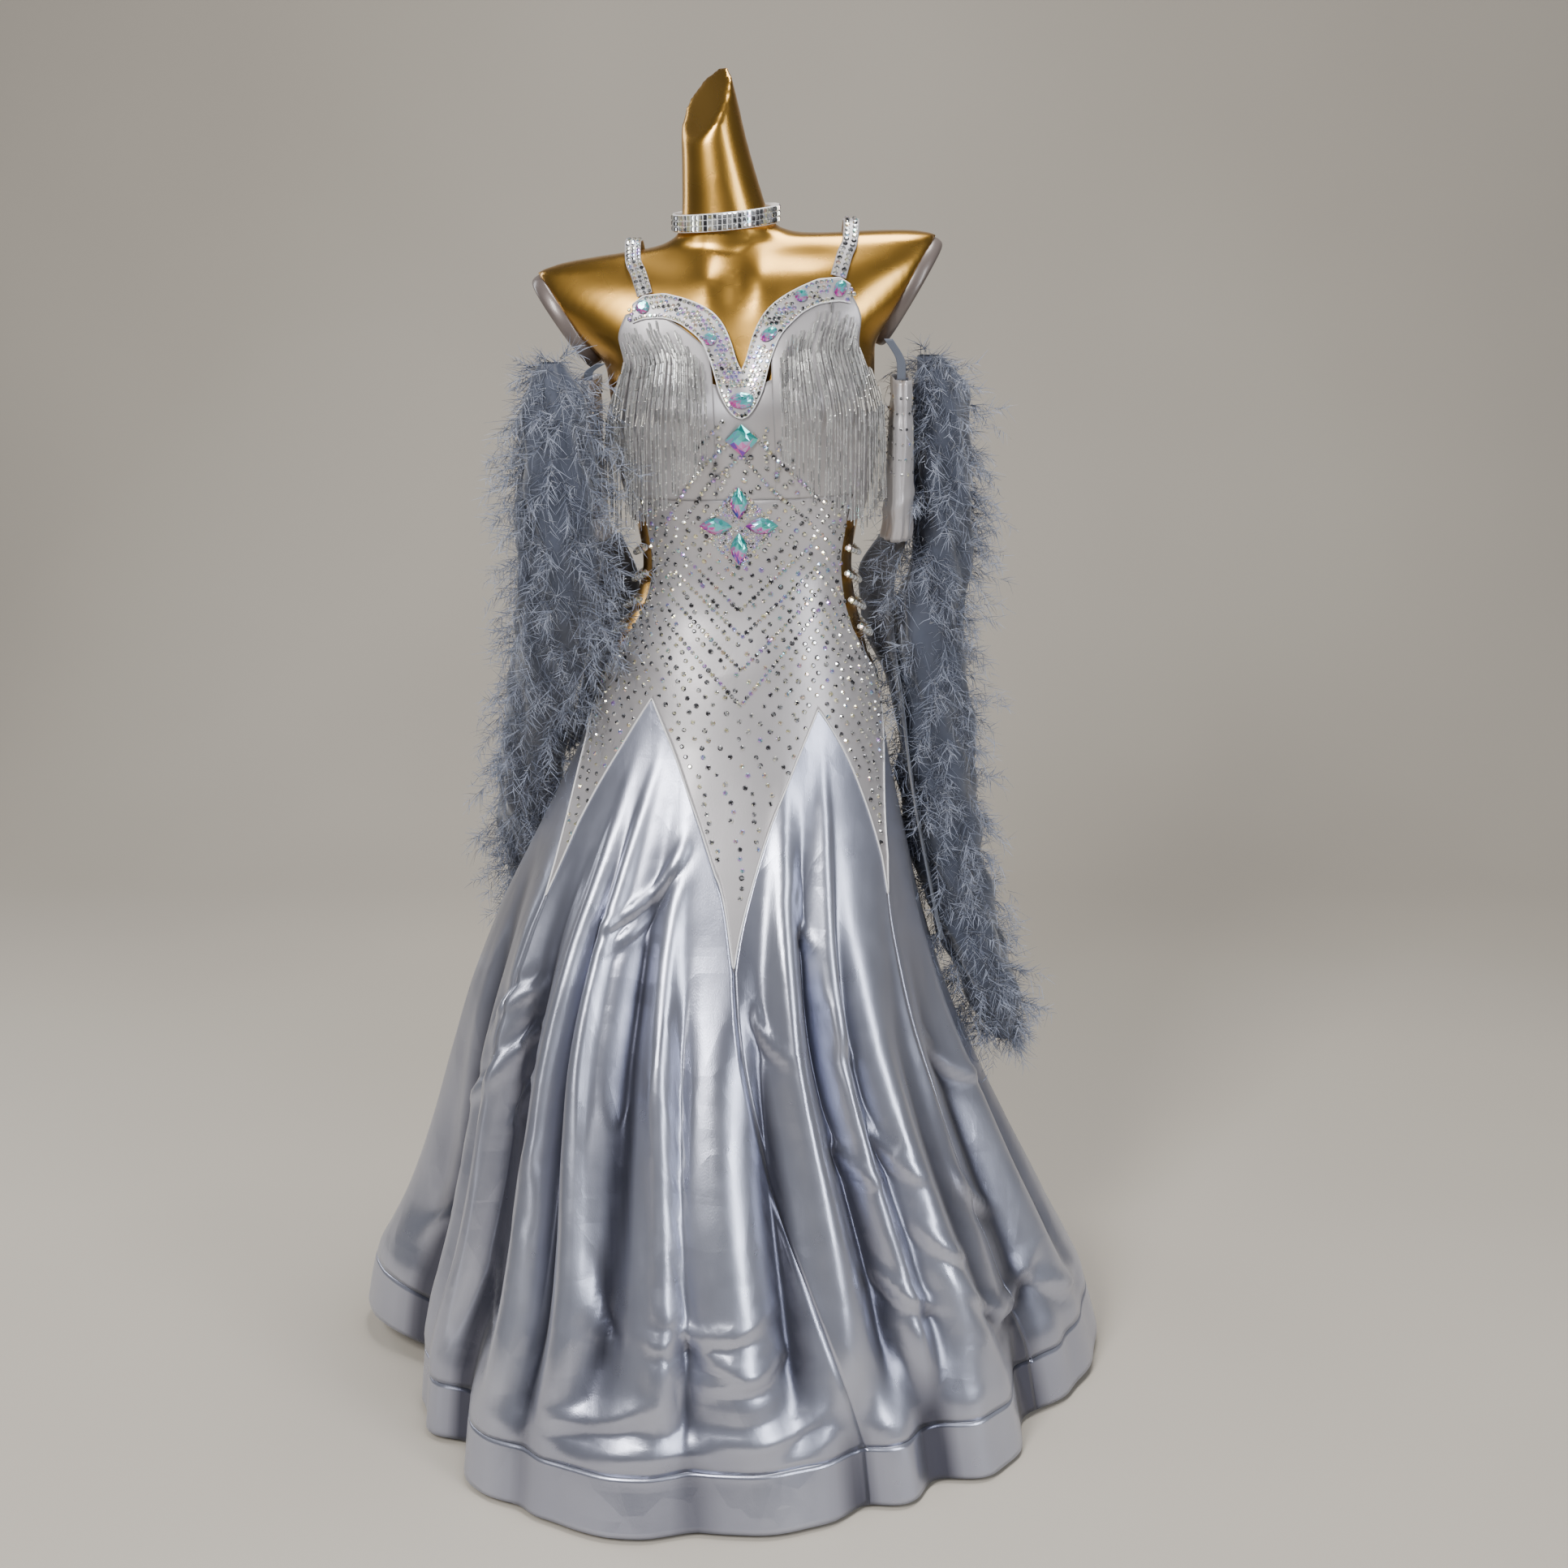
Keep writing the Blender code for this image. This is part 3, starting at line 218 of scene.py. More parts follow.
class Figure:
    """The one surface that the form and every cloth piece follow."""

    ROUNDNESS = 2.3
    CENTRE_LINE = 0.007
    SKIRT_START = 0.950
    CLOTH_BUST = 0.042
    FORM_BUST = 0.034
    # Height, half width, front, back, shift.
    TRUNK = (
        (0.720, 0.148, 0.104, 0.120, 0.000),
        (0.780, 0.162, 0.114, 0.138, 0.000),
        (0.840, 0.169, 0.120, 0.146, 0.000),
        (0.900, 0.161, 0.111, 0.134, 0.001),
        (0.950, 0.148, 0.101, 0.118, 0.004),
        (1.000, 0.131, 0.090, 0.098, 0.009),
        (1.040, 0.125, 0.086, 0.088, 0.011),
        (1.090, 0.132, 0.090, 0.092, 0.011),
        (1.150, 0.146, 0.098, 0.100, 0.011),
        (1.220, 0.157, 0.106, 0.108, 0.010),
        (1.280, 0.160, 0.101, 0.110, 0.007),
        (1.330, 0.204, 0.086, 0.104, 0.004),
        (1.370, 0.232, 0.067, 0.086, 0.002),
        (1.396, 0.236, 0.048, 0.064, 0.001),
        (1.406, 0.206, 0.040, 0.052, 0.000),
        (1.4105, 0.160, 0.036, 0.045, -0.002),
        (1.413, 0.110, 0.036, 0.043, -0.005),
        (1.417, 0.078, 0.038, 0.043, -0.008),
        (1.424, 0.060, 0.041, 0.043, -0.010),
    )
    SKIRT = (
        (0.005, 0.462, 0.440, 0.455, -0.008),
        (0.100, 0.440, 0.412, 0.420, -0.012),
        (0.200, 0.395, 0.378, 0.380, -0.014),
        (0.300, 0.355, 0.340, 0.342, -0.022),
        (0.400, 0.320, 0.300, 0.306, -0.032),
        (0.500, 0.287, 0.262, 0.272, -0.038),
        (0.600, 0.255, 0.222, 0.240, -0.034),
        (0.700, 0.222, 0.182, 0.206, -0.022),
        (0.780, 0.196, 0.150, 0.176, -0.012),
        (0.840, 0.178, 0.130, 0.155, -0.004),
        (0.900, 0.163, 0.114, 0.138, 0.001),
        (0.950, 0.148, 0.101, 0.118, 0.004),
    )
    # Height, shift, half width, half depth of the horn-shaped neck.
    NECK = (
        (1.4245, -0.010, 0.0585, 0.0410),
        (1.436, -0.0125, 0.0515, 0.0400),
        (1.455, -0.0150, 0.0475, 0.0390),
        (1.500, -0.0215, 0.0405, 0.0370),
        (1.545, -0.0270, 0.0345, 0.0340),
        (1.575, -0.0280, 0.0285, 0.0290),
        (1.597, -0.0240, 0.0190, 0.0210),
        (1.610, -0.0170, 0.0080, 0.0100),
    )
    FOLDS = tuple(
        Fold(*row)
        for row in (
            (-172, 7, -0.020, 0.60),
            (-153, 7, 0.034, 0.84),
            (-139, 6, -0.028, 0.80),
            (-125, 8, 0.020, 0.60),
            (-110, 7, -0.024, 0.70),
            (-93, 9, 0.042, 0.80),
            (-77, 9, -0.085, 0.70),
            (-62, 7, -0.040, 0.62),
            (-49, 6, -0.060, 0.74),
            (-36, 6, -0.004, 0.80),
            (-14, 8, 0.026, 0.84),
            (4, 6, 0.006, 0.58),
            (18, 5, -0.036, 0.60),
            (32, 6, -0.052, 0.76),
            (45, 6, -0.020, 0.70),
            (60, 9, -0.062, 0.70),
            (74, 5, -0.012, 0.66),
            (92, 9, 0.018, 0.80),
            (108, 7, -0.026, 0.70),
            (122, 8, 0.022, 0.60),
            (136, 7, -0.026, 0.80),
            (150, 7, 0.036, 0.84),
            (164, 6, -0.024, 0.70),
            (176, 6, 0.024, 0.58),
        )
    )
    DRAPES = tuple(
        Fold(*row)
        for row in (
            (-176, 3.4, 0.013, 0.72),
            (-167, 3.0, -0.014, 0.78),
            (-158, 3.8, 0.012, 0.66),
            (-147, 3.2, -0.015, 0.82),
            (-140, 2.6, 0.012, 0.70),
            (-130, 3.6, -0.012, 0.60),
            (-119, 3.2, 0.014, 0.74),
            (-112, 2.8, -0.013, 0.70),
            (-101, 4.0, 0.009, 0.64),
            (-88, 3.0, -0.009, 0.55),
            (-82, 3.2, 0.010, 0.70),
            (-69, 3.4, 0.013, 0.62),
            (-58, 3.2, 0.013, 0.70),
            (-53, 2.4, -0.010, 0.66),
            (-43, 3.0, -0.012, 0.78),
            (-35, 2.8, 0.015, 0.86),
            (-29.5, 2.3, -0.017, 0.80),
            (-25, 2.5, 0.017, 0.87),
            (-15.5, 4.0, -0.019, 0.84),
            (-7.4, 2.2, 0.017, 0.78),
            (-3.8, 1.6, -0.015, 0.66),
            (2.3, 3.4, 0.013, 0.62),
            (9.6, 3.0, -0.018, 0.64),
            (17.5, 3.4, 0.018, 0.85),
            (24.5, 3.0, -0.018, 0.82),
            (31.5, 2.6, 0.019, 0.86),
            (37.5, 3.0, -0.012, 0.72),
            (45, 4.0, 0.009, 0.68),
            (52, 3.0, -0.009, 0.60),
            (60, 4.0, 0.011, 0.74),
            (68, 3.0, -0.011, 0.62),
            (78, 3.8, 0.011, 0.68),
            (86, 3.0, -0.011, 0.74),
            (99, 3.4, -0.012, 0.70),
            (106, 3.0, 0.012, 0.66),
            (115, 3.4, 0.011, 0.60),
            (127, 3.0, -0.013, 0.72),
            (134, 3.0, 0.012, 0.82),
            (144, 3.2, -0.014, 0.80),
            (154, 3.4, 0.014, 0.76),
            (162, 2.8, -0.012, 0.70),
            (171, 3.2, 0.013, 0.62),
        )
    )
    CREASES = tuple(
        Crease(*row)
        for row in (
            (-27, 0.640, -9, 0.735, 0.0050, 0.0062),
            (-25, 0.615, -13, 0.690, 0.0045, 0.0040),
            (-47, 0.560, -66, 0.470, 0.0070, 0.0050),
            (-42, 0.520, -58, 0.425, 0.0065, 0.0055),
            (-38, 0.470, -52, 0.380, 0.0060, 0.0045),
            (-60, 0.430, -78, 0.330, 0.0080, 0.0050),
            (-32, 0.400, -35, 0.300, 0.0060, -0.0040),
            (-70, 0.250, -86, 0.160, 0.0090, 0.0060),
            (-50, 0.240, -40, 0.160, 0.0080, 0.0050),
            (-20, 0.300, -14, 0.200, 0.0070, -0.0045),
            (-7, 0.255, 5, 0.168, 0.0060, 0.0055),
            (-3, 0.165, 8, 0.195, 0.0060, 0.0045),
            (-10, 0.215, 6, 0.240, 0.0065, 0.0040),
            (-24, 0.120, -8, 0.150, 0.0090, 0.0055),
            (-2, 0.110, 12, 0.125, 0.0080, 0.0050),
            (10, 0.560, 17, 0.500, 0.0060, 0.0040),
            (22, 0.690, 28, 0.610, 0.0060, 0.0042),
            (30, 0.560, 36, 0.480, 0.0070, 0.0045),
            (24, 0.420, 33, 0.350, 0.0070, 0.0045),
            (36, 0.420, 45, 0.340, 0.0070, 0.0050),
            (28, 0.260, 40, 0.200, 0.0075, 0.0050),
            (40, 0.300, 52, 0.235, 0.0075, 0.0050),
            (46, 0.210, 64, 0.150, 0.0080, 0.0060),
            (58, 0.330, 70, 0.250, 0.0090, 0.0050),
            (50, 0.150, 74, 0.190, 0.0080, 0.0050),
            (70, 0.170, 88, 0.120, 0.0090, 0.0055),
            (66, 0.480, 82, 0.400, 0.0090, 0.0050),
            (104, 0.520, 118, 0.440, 0.0090, 0.0050),
            (112, 0.300, 130, 0.220, 0.0090, 0.0055),
            (128, 0.620, 140, 0.540, 0.0080, 0.0045),
            (140, 0.380, 156, 0.300, 0.0085, 0.0055),
            (146, 0.170, 164, 0.130, 0.0090, 0.0055),
            (160, 0.560, 174, 0.480, 0.0080, 0.0045),
            (172, 0.320, 186, 0.250, 0.0085, 0.0050),
            (196, 0.460, 208, 0.370, 0.0085, 0.0055),
            (200, 0.680, 212, 0.600, 0.0070, 0.0040),
            (214, 0.260, 232, 0.190, 0.0090, 0.0055),
            (228, 0.540, 242, 0.450, 0.0090, 0.0050),
            (240, 0.180, 258, 0.140, 0.0090, 0.0055),
            (248, 0.400, 262, 0.310, 0.0090, 0.0050),
        )
    )
    HEM_RISES = ((-93, 20, 0.030), (92, 16, 0.010), (150, 14, 0.008), (-153, 14, 0.010))
    HEM_LOW = 0.006
    HEM_BAND = 0.066

    def __init__(self) -> None:
        """Prepares the curves through the tables."""
        self.trunk = Table(self.TRUNK)
        self.skirt = Table(self.SKIRT)
        self.neck = Table(self.NECK)

    def rolled(self, x: Array, y: Array, height: Array) -> Array:
        """Points after the shoulders' tilt: the +X side of the chest stands higher."""
        return stack(x, y, height + 0.092 * ease(1.050, 1.360, height) * x)

    def unrolled_height(self, x: Array, z: Array) -> Array:
        """The height on the figure of a point at x and z."""
        height = np.asarray(z, float)
        for _ in range(6):
            height = z - 0.092 * ease(1.050, 1.360, height) * x
        return height

    def bust(self, x: Array, height: Array, depth: float) -> Array:
        """How far the two soft cups stand forward."""
        sides = bell(x - 0.009 - 0.078, 0.052) + bell(x - 0.009 + 0.078, 0.052)
        return depth * bell(height - 1.232, 0.056) * sides

    def section(self, table: Table, angle: Array, height: Array, bust: float) -> tuple[Array, Array]:
        """x and y of a rounded section at an angle.

        Args:
            table: The rings' half width, front, back and shift.
            angle: Degrees round the figure.
            height: Heights of the sections.
            bust: Depth of the cups.

        Returns:
            The x and y coordinates.
        """
        half_width, front, back, shift = table.at(height)
        sine, cosine = np.sin(np.radians(angle)), np.cos(np.radians(angle))
        power = 2 / self.ROUNDNESS
        x = shift + half_width * np.sign(sine) * np.abs(sine) ** power
        y = -np.where(cosine > 0, front, back) * np.sign(cosine) * np.abs(cosine) ** power
        return x, y - self.bust(x, height, bust) * ease(0.0, 0.45, cosine)

    def form(self, angle: Array, height: Array, bust: float = FORM_BUST) -> Array:
        """Points of the form, cut off at the arms."""
        x, y = self.section(self.trunk, angle, height, bust)
        reach = np.maximum(0.160, 0.229 - 0.63 * (1.396 - height))
        return self.rolled(np.clip(x, -reach, reach), y, height)

    def relief(self, angle: Array, height: Array) -> Array:
        """How far the skirt's folds and creases stand out."""
        total = np.zeros(np.broadcast(angle, height).shape)
        for fold in self.FOLDS:
            grown = np.maximum(fold.top - height, 0.0) / fold.top
            total += fold.reach * bell(wrapped(angle - fold.angle), fold.spread) * grown**0.95
        held = 0.16 + 0.84 * ease(0.05, 0.19, height - self.hem(angle))
        for fold in self.DRAPES:
            wander = 1.1 * np.sin(8.0 * height + fold.angle)
            grown = ease(fold.top, fold.top - 0.34, height) * held
            total += 1.25 * fold.reach * bell(wrapped(angle - fold.angle - wander), fold.spread) * grown
        for crease in self.CREASES:
            total += self.crease_relief(crease, angle, height)
        return total + self.gathers(angle, height)

    def shade(self, angle: Array, height: Array) -> Array:
        """Painted shade for the skirt, from 0 in the deepest troughs to 1 on the ridges: how far a place stands out
        from its neighbours.
        """
        sides = sum(self.relief(angle + turn, height) for turn in (-11.0, -6.5, 6.5, 11.0)) / 4
        return np.clip(0.60 + (self.relief(angle, height) - sides) / 0.030, 0.0, 1.0)

    def crease_relief(self, crease: Crease, angle: Array, height: Array) -> Array:
        """One crease's share of the relief.

        Args:
            crease: Its two ends, width and depth.
            angle: Degrees round the figure.
            height: Heights.

        Returns:
            The distance that the cloth stands out.
        """
        middle_angle = (crease.angle + crease.end_angle) / 2
        middle_height = (crease.height + crease.end_height) / 2
        half_width, front, _, _ = self.skirt.at(np.array(middle_height))
        radius = math.radians(1) * (half_width + front) / 2
        across = wrapped(angle - middle_angle) * radius
        up = height - middle_height
        run = np.array(((crease.end_angle - crease.angle) * radius, crease.end_height - crease.height))
        length = np.linalg.norm(run)
        run /= length
        forward = across * run[0] + up * run[1]
        bow = 0.10 * length * (1 - (2 * forward / length) ** 2)
        aside = across * run[1] - up * run[0] - np.clip(bow, -length, length)
        ends = ease(0.62, 0.28, np.abs(forward) / length)
        shape = bell(aside, crease.width) - 0.55 * bell(aside - 2.1 * crease.width, 1.3 * crease.width)
        return crease.depth * ends * shape

    def gathers(self, angle: Array, height: Array) -> Array:
        """Uneven ripples where the stiffened band pulls the hem in."""
        ripple = np.sin(np.radians(angle * 23.0) + 1.9 * np.sin(np.radians(angle * 3.0)))
        ripple += 0.6 * np.sin(np.radians(angle * 41.0) + 1.3 * np.sin(np.radians(angle * 5.0 + 40)))
        strong = 0.15 + bell(wrapped(angle - 66), 20) + 0.5 * bell(wrapped(angle - 200), 40)
        strong = strong + 0.5 * bell(wrapped(angle + 95), 14)
        seam = self.hem(angle) + self.HEM_BAND
        puff = 0.006 * bell(height - seam - 0.020, 0.014) * (0.3 + bell(wrapped(angle + 4), 12))
        return 0.0017 * strong * ripple * bell(height - seam, 0.040) + puff

    def cloth(self, angle: Array, height: Array) -> Array:
        """Points that the cloth lies on: the form to the hips and the flared skirt below."""
        angle, height = np.broadcast_arrays(np.asarray(angle, float), np.asarray(height, float))
        upper = self.form(angle, height, self.CLOTH_BUST)
        x, y = self.section(self.skirt, angle, height, self.CLOTH_BUST)
        shift = self.skirt.at(height)[3]
        reach = 1 + self.relief(angle, height) / np.hypot(x - shift, y)
        lower = stack(shift + (x - shift) * reach, y * reach, height)
        return np.where((height >= self.SKIRT_START)[..., None], upper, lower)

    def hem(self, angle: Array) -> Array:
        """The hem's height round the skirt."""
        rise = sum(row[2] * bell(wrapped(angle - row[0]), row[1]) for row in self.HEM_RISES)
        return self.HEM_LOW + rise

    def normal(self, surface: Surface, first: Array, second: Array, steps: tuple[float, float]) -> Array:
        """Directions that face away from a surface."""
        across = surface(first + steps[0], second) - surface(first - steps[0], second)
        up = surface(first, second + steps[1]) - surface(first, second - steps[1])
        return unit(np.cross(across, up))

    def lifted(self, angle: Array, height: Array, lift: float, surface: Surface | None = None) -> Array:
        """Points on the cloth moved out along its normal.

        Args:
            angle: Degrees round the figure.
            height: Heights.
            lift: The distance to move.
            surface: Another surface than the cloth's.

        Returns:
            The moved points.
        """
        surface = surface or self.cloth
        angle, height = np.broadcast_arrays(np.asarray(angle, float), np.asarray(height, float))
        return surface(angle, height) + self.normal(surface, angle, height, (0.4, 0.002)) * lift

    def fringe(self, angle: Array, height: Array) -> Array:
        """The cup down to its fullest height, and straight down from there."""
        point = self.cloth(angle, np.maximum(height, 1.226))
        point[..., 2] = self.cloth(angle, height)[..., 2]
        return point

    def angle_at(self, x: Array, height: Array) -> Array:
        """The angle on the front at which the figure reaches x."""
        low, high = self.skirt.at(height), self.trunk.at(height)
        body = np.asarray(height) >= self.SKIRT_START
        half_width = np.where(body, high[0], low[0])
        shift = np.where(body, high[3], low[3])
        share = np.clip((x - shift) / half_width, -0.999, 0.999)
        return np.degrees(np.arcsin(np.sign(share) * np.abs(share) ** (self.ROUNDNESS / 2)))

    def front(self, x: Array, height: Array) -> Array:
        """The chest's front at a place across it."""
        half_width, front, _, shift = self.trunk.at(height)
        share = np.minimum(np.abs(x - shift) / half_width, 0.999)
        depth = front * (1 - share**self.ROUNDNESS) ** (1 / self.ROUNDNESS)
        return self.rolled(x, -depth - self.bust(x, height, self.CLOTH_BUST), height)

    def back(self, x: Array, height: Array) -> Array:
        """The chest's back at a place across it."""
        half_width, _, back, shift = self.trunk.at(height)
        share = np.minimum(np.abs(x - shift) / half_width, 0.999)
        return self.rolled(x, back * (1 - share**self.ROUNDNESS) ** (1 / self.ROUNDNESS), height)

    def front_lifted(self, x: Array, height: Array, lift: float) -> Array:
        """Points on the chest's front moved out along its normal."""
        x, height = np.broadcast_arrays(np.asarray(x, float), np.asarray(height, float))
        return self.front(x, height) + self.normal(self.front, x, height, (0.001, 0.001)) * lift

    def back_lifted(self, x: Array, height: Array, lift: float) -> Array:
        """Points on the chest's back moved out along its normal."""
        x, height = np.broadcast_arrays(np.asarray(x, float), np.asarray(height, float))
        return self.back(x, height) + self.normal(self.back, x, height, (-0.001, 0.001)) * lift


# Meshes.


def mesh_object(
    name: str,
    points: Array,
    polygons: Sequence[Array],
    finish: bpy.types.Material,
    smooth: bool = True,
    tints: Sequence[Array] | None = None,
    domain: str = "FACE",
) -> bpy.types.Object:
    """One object from points and polygons.

    Args:
        name: Name of the object.
        points: The corners.
        polygons: Arrays of corner numbers, one array for each number of sides.
        finish: Material of the whole object.
        smooth: Whether it is shaded smooth.
        tints: A value for each polygon, for materials that read it.
        domain: What the values belong to, if not to polygons.

    Returns:
        The new object.
    """
    mesh = bpy.data.meshes.new(name)
    points = np.asarray(points, np.float32).reshape(-1, 3)
    polygons = [np.asarray(group) for group in polygons if len(group)]
    corners = np.concatenate([group.ravel() for group in polygons]).astype(np.int32)
    sizes = np.concatenate([np.full(len(group), group.shape[1]) for group in polygons])
    starts = np.concatenate(([0], np.cumsum(sizes)[:-1])).astype(np.int32)
    mesh.vertices.add(len(points))
    mesh.vertices.foreach_set("co", points.ravel())
    mesh.loops.add(len(corners))
    mesh.loops.foreach_set("vertex_index", corners)
    mesh.polygons.add(len(sizes))
    mesh.polygons.foreach_set("loop_start", starts)
    mesh.polygons.foreach_set("use_smooth", np.full(len(sizes), smooth))
    mesh.update(calc_edges=True)
    mesh.validate()
    if tints is not None:
        values = np.concatenate([np.asarray(group, np.float32).ravel() for group in tints])
        layer = mesh.attributes.new("tint", "FLOAT", domain)
        layer.data.foreach_set("value", values)
    mesh.materials.append(finish)
    obj = bpy.data.objects.new(name, mesh)
    bpy.context.scene.collection.objects.link(obj)
    return obj


def grid_faces(columns: int, rows: int, start: int = 0, wraps: bool = False) -> Array:
    """Quads of a grid stored column by column."""
    count = columns if wraps else columns - 1
    i, j = np.meshgrid(np.arange(count), np.arange(rows - 1), indexing="ij")
    left, right = start + i * rows, start + (i + 1) % columns * rows
    return np.stack((left + j, right + j, right + j + 1, left + j + 1), axis=-1).reshape(-1, 4)


@dataclass
class ClothGrid:
    """A sheet's middle surface as columns and rows of points."""

    points: Array
    wraps: bool = False
    # a value at each point; the skirt's values are painted shade
    tints: Array | None = None

    def closed(self) -> Array:
        """The points, with the first column again at the end of a tube."""
        return np.concatenate((self.points, self.points[:1])) if self.wraps else self.points

    def normals(self) -> Array:
        """Directions across the sheet at its points."""
        points = self.points
        if self.wraps:
            padded = np.concatenate((points[-1:], points, points[:1]))
            across = (padded[2:] - padded[:-2]) / 2
        else:
            across = np.gradient(points, axis=0)
        return unit(np.cross(across, np.gradient(points, axis=1)))

    def area(self) -> float:
        """Area of the sheet."""
        p = self.closed()
        diagonals = np.cross(p[1:, 1:] - p[:-1, :-1], p[:-1, 1:] - p[1:, :-1])
        return float(np.linalg.norm(diagonals, axis=-1).sum() / 2)

    def width(self) -> float:
        """The longest way across the columns."""
        steps = np.linalg.norm(np.diff(self.closed(), axis=0), axis=-1)
        return float(steps.sum(axis=0).max())

    def length(self) -> float:
        """The longest column."""
        return float(np.linalg.norm(np.diff(self.points, axis=1), axis=-1).sum(axis=1).max())

    def build(self, name: str, thickness: float, finish: bpy.types.Material) -> bpy.types.Object:
        """A closed thin wall along the sheet.

        Args:
            name: Name of the object.
            thickness: The cloth's thickness.
            finish: Its material.

        Returns:
            The new object.
        """
        columns, rows = self.points.shape[:2]
        half = self.normals() * (thickness / 2)
        points = np.concatenate(((self.points + half).reshape(-1, 3), (self.points - half).reshape(-1, 3)))
        size = columns * rows
        faces = [
            grid_faces(columns, rows, 0, self.wraps),
            grid_faces(columns, rows, size, self.wraps)[:, ::-1],
        ]
        i = np.arange(columns if self.wraps else columns - 1)
        here, there = i * rows, (i + 1) % columns * rows
        faces.append(np.stack((here, here + size, there + size, there), axis=-1))
        top = rows - 1
        faces.append(np.stack((here + top, there + top, there + top + size, here + top + size), axis=-1))
        if not self.wraps:
            j = np.arange(rows - 1)
            faces.append(np.stack((j, j + 1, j + 1 + size, j + size), axis=-1))
            last = (columns - 1) * rows
            faces.append(np.stack((last + j, last + j + size, last + j + 1 + size, last + j + 1), axis=-1))
        if self.tints is None:
            return mesh_object(name, points, [np.concatenate(faces)], finish)
        values = [self.tints.ravel(), self.tints.ravel()]
        return mesh_object(name, points, [np.concatenate(faces)], finish, True, values, "POINT")


class Stamp(NamedTuple):
    """A small solid to repeat, its back at z 0 and about 1 wide."""

    points: Array
    polygons: tuple[Array, ...]

    @staticmethod
    def lathe(rings: Sequence[tuple[float, float]], sides: int, turn: float = 0.0, close: bool = False) -> Stamp:
        """A turned solid.

        Args:
            rings: Radius and height of each ring, from the back to the front.
            sides: Number of sides.
            turn: Share of a side by which the first corner is turned.
            close: Whether the back has a face too.

        Returns:
            The stamp.
        """
        turns = 2 * np.pi * (np.arange(sides) + turn) / sides
        points = np.concatenate(
            [stack(r * np.cos(turns), r * np.sin(turns), np.full(sides, z)) for r, z in rings]
        )
        here = np.arange(sides)
        there = (here + 1) % sides
        quads = np.concatenate(
            [
                np.stack((k * sides + here, k * sides + there, (k + 1) * sides + there, (k + 1) * sides + here), -1)
                for k in range(len(rings) - 1)
            ]
        )
        caps = [(len(rings) - 1) * sides + here]
        if close:
            caps.append(here[::-1])
        return Stamp(points, (quads, np.array(caps)))


ROUND_STONE = Stamp.lathe(((0.48, 0.0), (0.50, 0.10), (0.25, 0.36)), 8, 0.3)
SQUARE_STONE = Stamp.lathe(((0.66, 0.0), (0.70, 0.12), (0.38, 0.34)), 4, 0.5)
SEED_BEAD = Stamp.lathe(((0.22, -0.5), (0.52, 0.0), (0.22, 0.5)), 5, 0.0, True)
BUGLE = Stamp.lathe(((0.5, -0.5), (0.5, 0.5)), 6, 0.0, True)
BARREL = Stamp.lathe(
    ((0.30, -0.5), (0.46, -0.38), (0.5, 0.0), (0.46, 0.38), (0.30, 0.5)), 10, 0.0, True
)


def frames(outward: Array, upward: Array) -> Array:
    """Axes for stamps: z outward, y as near as it can be to upward.

    Args:
        outward: The stamps' z axes.
        upward: Directions that their y axes lean to.

    Returns:
        Matrices whose columns are the x, y and z axes.
    """
    outward = unit(outward)
    across = unit(np.cross(np.broadcast_to(upward, outward.shape), outward))
    return np.stack((across, np.cross(outward, across), outward), axis=-1)


class Cluster:
    """Many stamped copies, merged into one mesh."""

    def __init__(self, seed: int) -> None:
        """An empty cluster with its own random numbers."""
        self.random = np.random.default_rng(seed)
        self.points: list[Array] = []
        self.polygons: dict[int, list[Array]] = {}
        self.tints: dict[int, list[Array]] = {}
        self.count = 0

    def add(self, stamp: Stamp, origins: Array, axes: Array, sizes: Array, tints: Array, sparkle: float = 0.12) -> None:
        """Adds one copy for each origin.

        Args:
            stamp: The solid.
            origins: Where each copy's back is.
            axes: Matrices from frames().
            sizes: Scale along the stamp's three axes, for each copy or for all.
            tints: A colour value from 0 to 1 for each copy.
            sparkle: How far a face's value may differ from its copy's.
        """
        count = len(origins)
        if not count:
            return
        scale = np.broadcast_to(np.asarray(sizes, float).reshape(-1, 3), (count, 3))
        moved = np.einsum("nij,npj->npi", axes, stamp.points[None] * scale[:, None, :]) + origins[:, None, :]
        self.points.append(moved.reshape(-1, 3))
        starts = self.count + np.arange(count) * len(stamp.points)
        for group in stamp.polygons:
            corners = (group[None] + starts[:, None, None]).reshape(-1, group.shape[1])
            values = np.repeat(np.broadcast_to(tints, count), len(group))
            values = values + self.random.uniform(-sparkle, sparkle, len(values))
            self.polygons.setdefault(group.shape[1], []).append(corners)
            self.tints.setdefault(group.shape[1], []).append(np.clip(values, 0, 1))
        self.count += count * len(stamp.points)

    def tint(self, count: int, plain: float = 0.70) -> Array:
        """Colour values of which a share are plain silver."""
        values = self.random.uniform(0.0, 0.38, count)
        coloured = self.random.uniform(0.42, 1.0, count)
        return np.where(self.random.random(count) < plain, values, coloured)

    def build(self, name: str, finish: bpy.types.Material, smooth: bool = False) -> bpy.types.Object:
        """The merged object."""
        sizes = sorted(self.polygons)
        polygons = [np.concatenate(self.polygons[size]) for size in sizes]
        tints = [np.concatenate(self.tints[size]) for size in sizes]
        return mesh_object(name, np.concatenate(self.points), polygons, finish, smooth, tints)


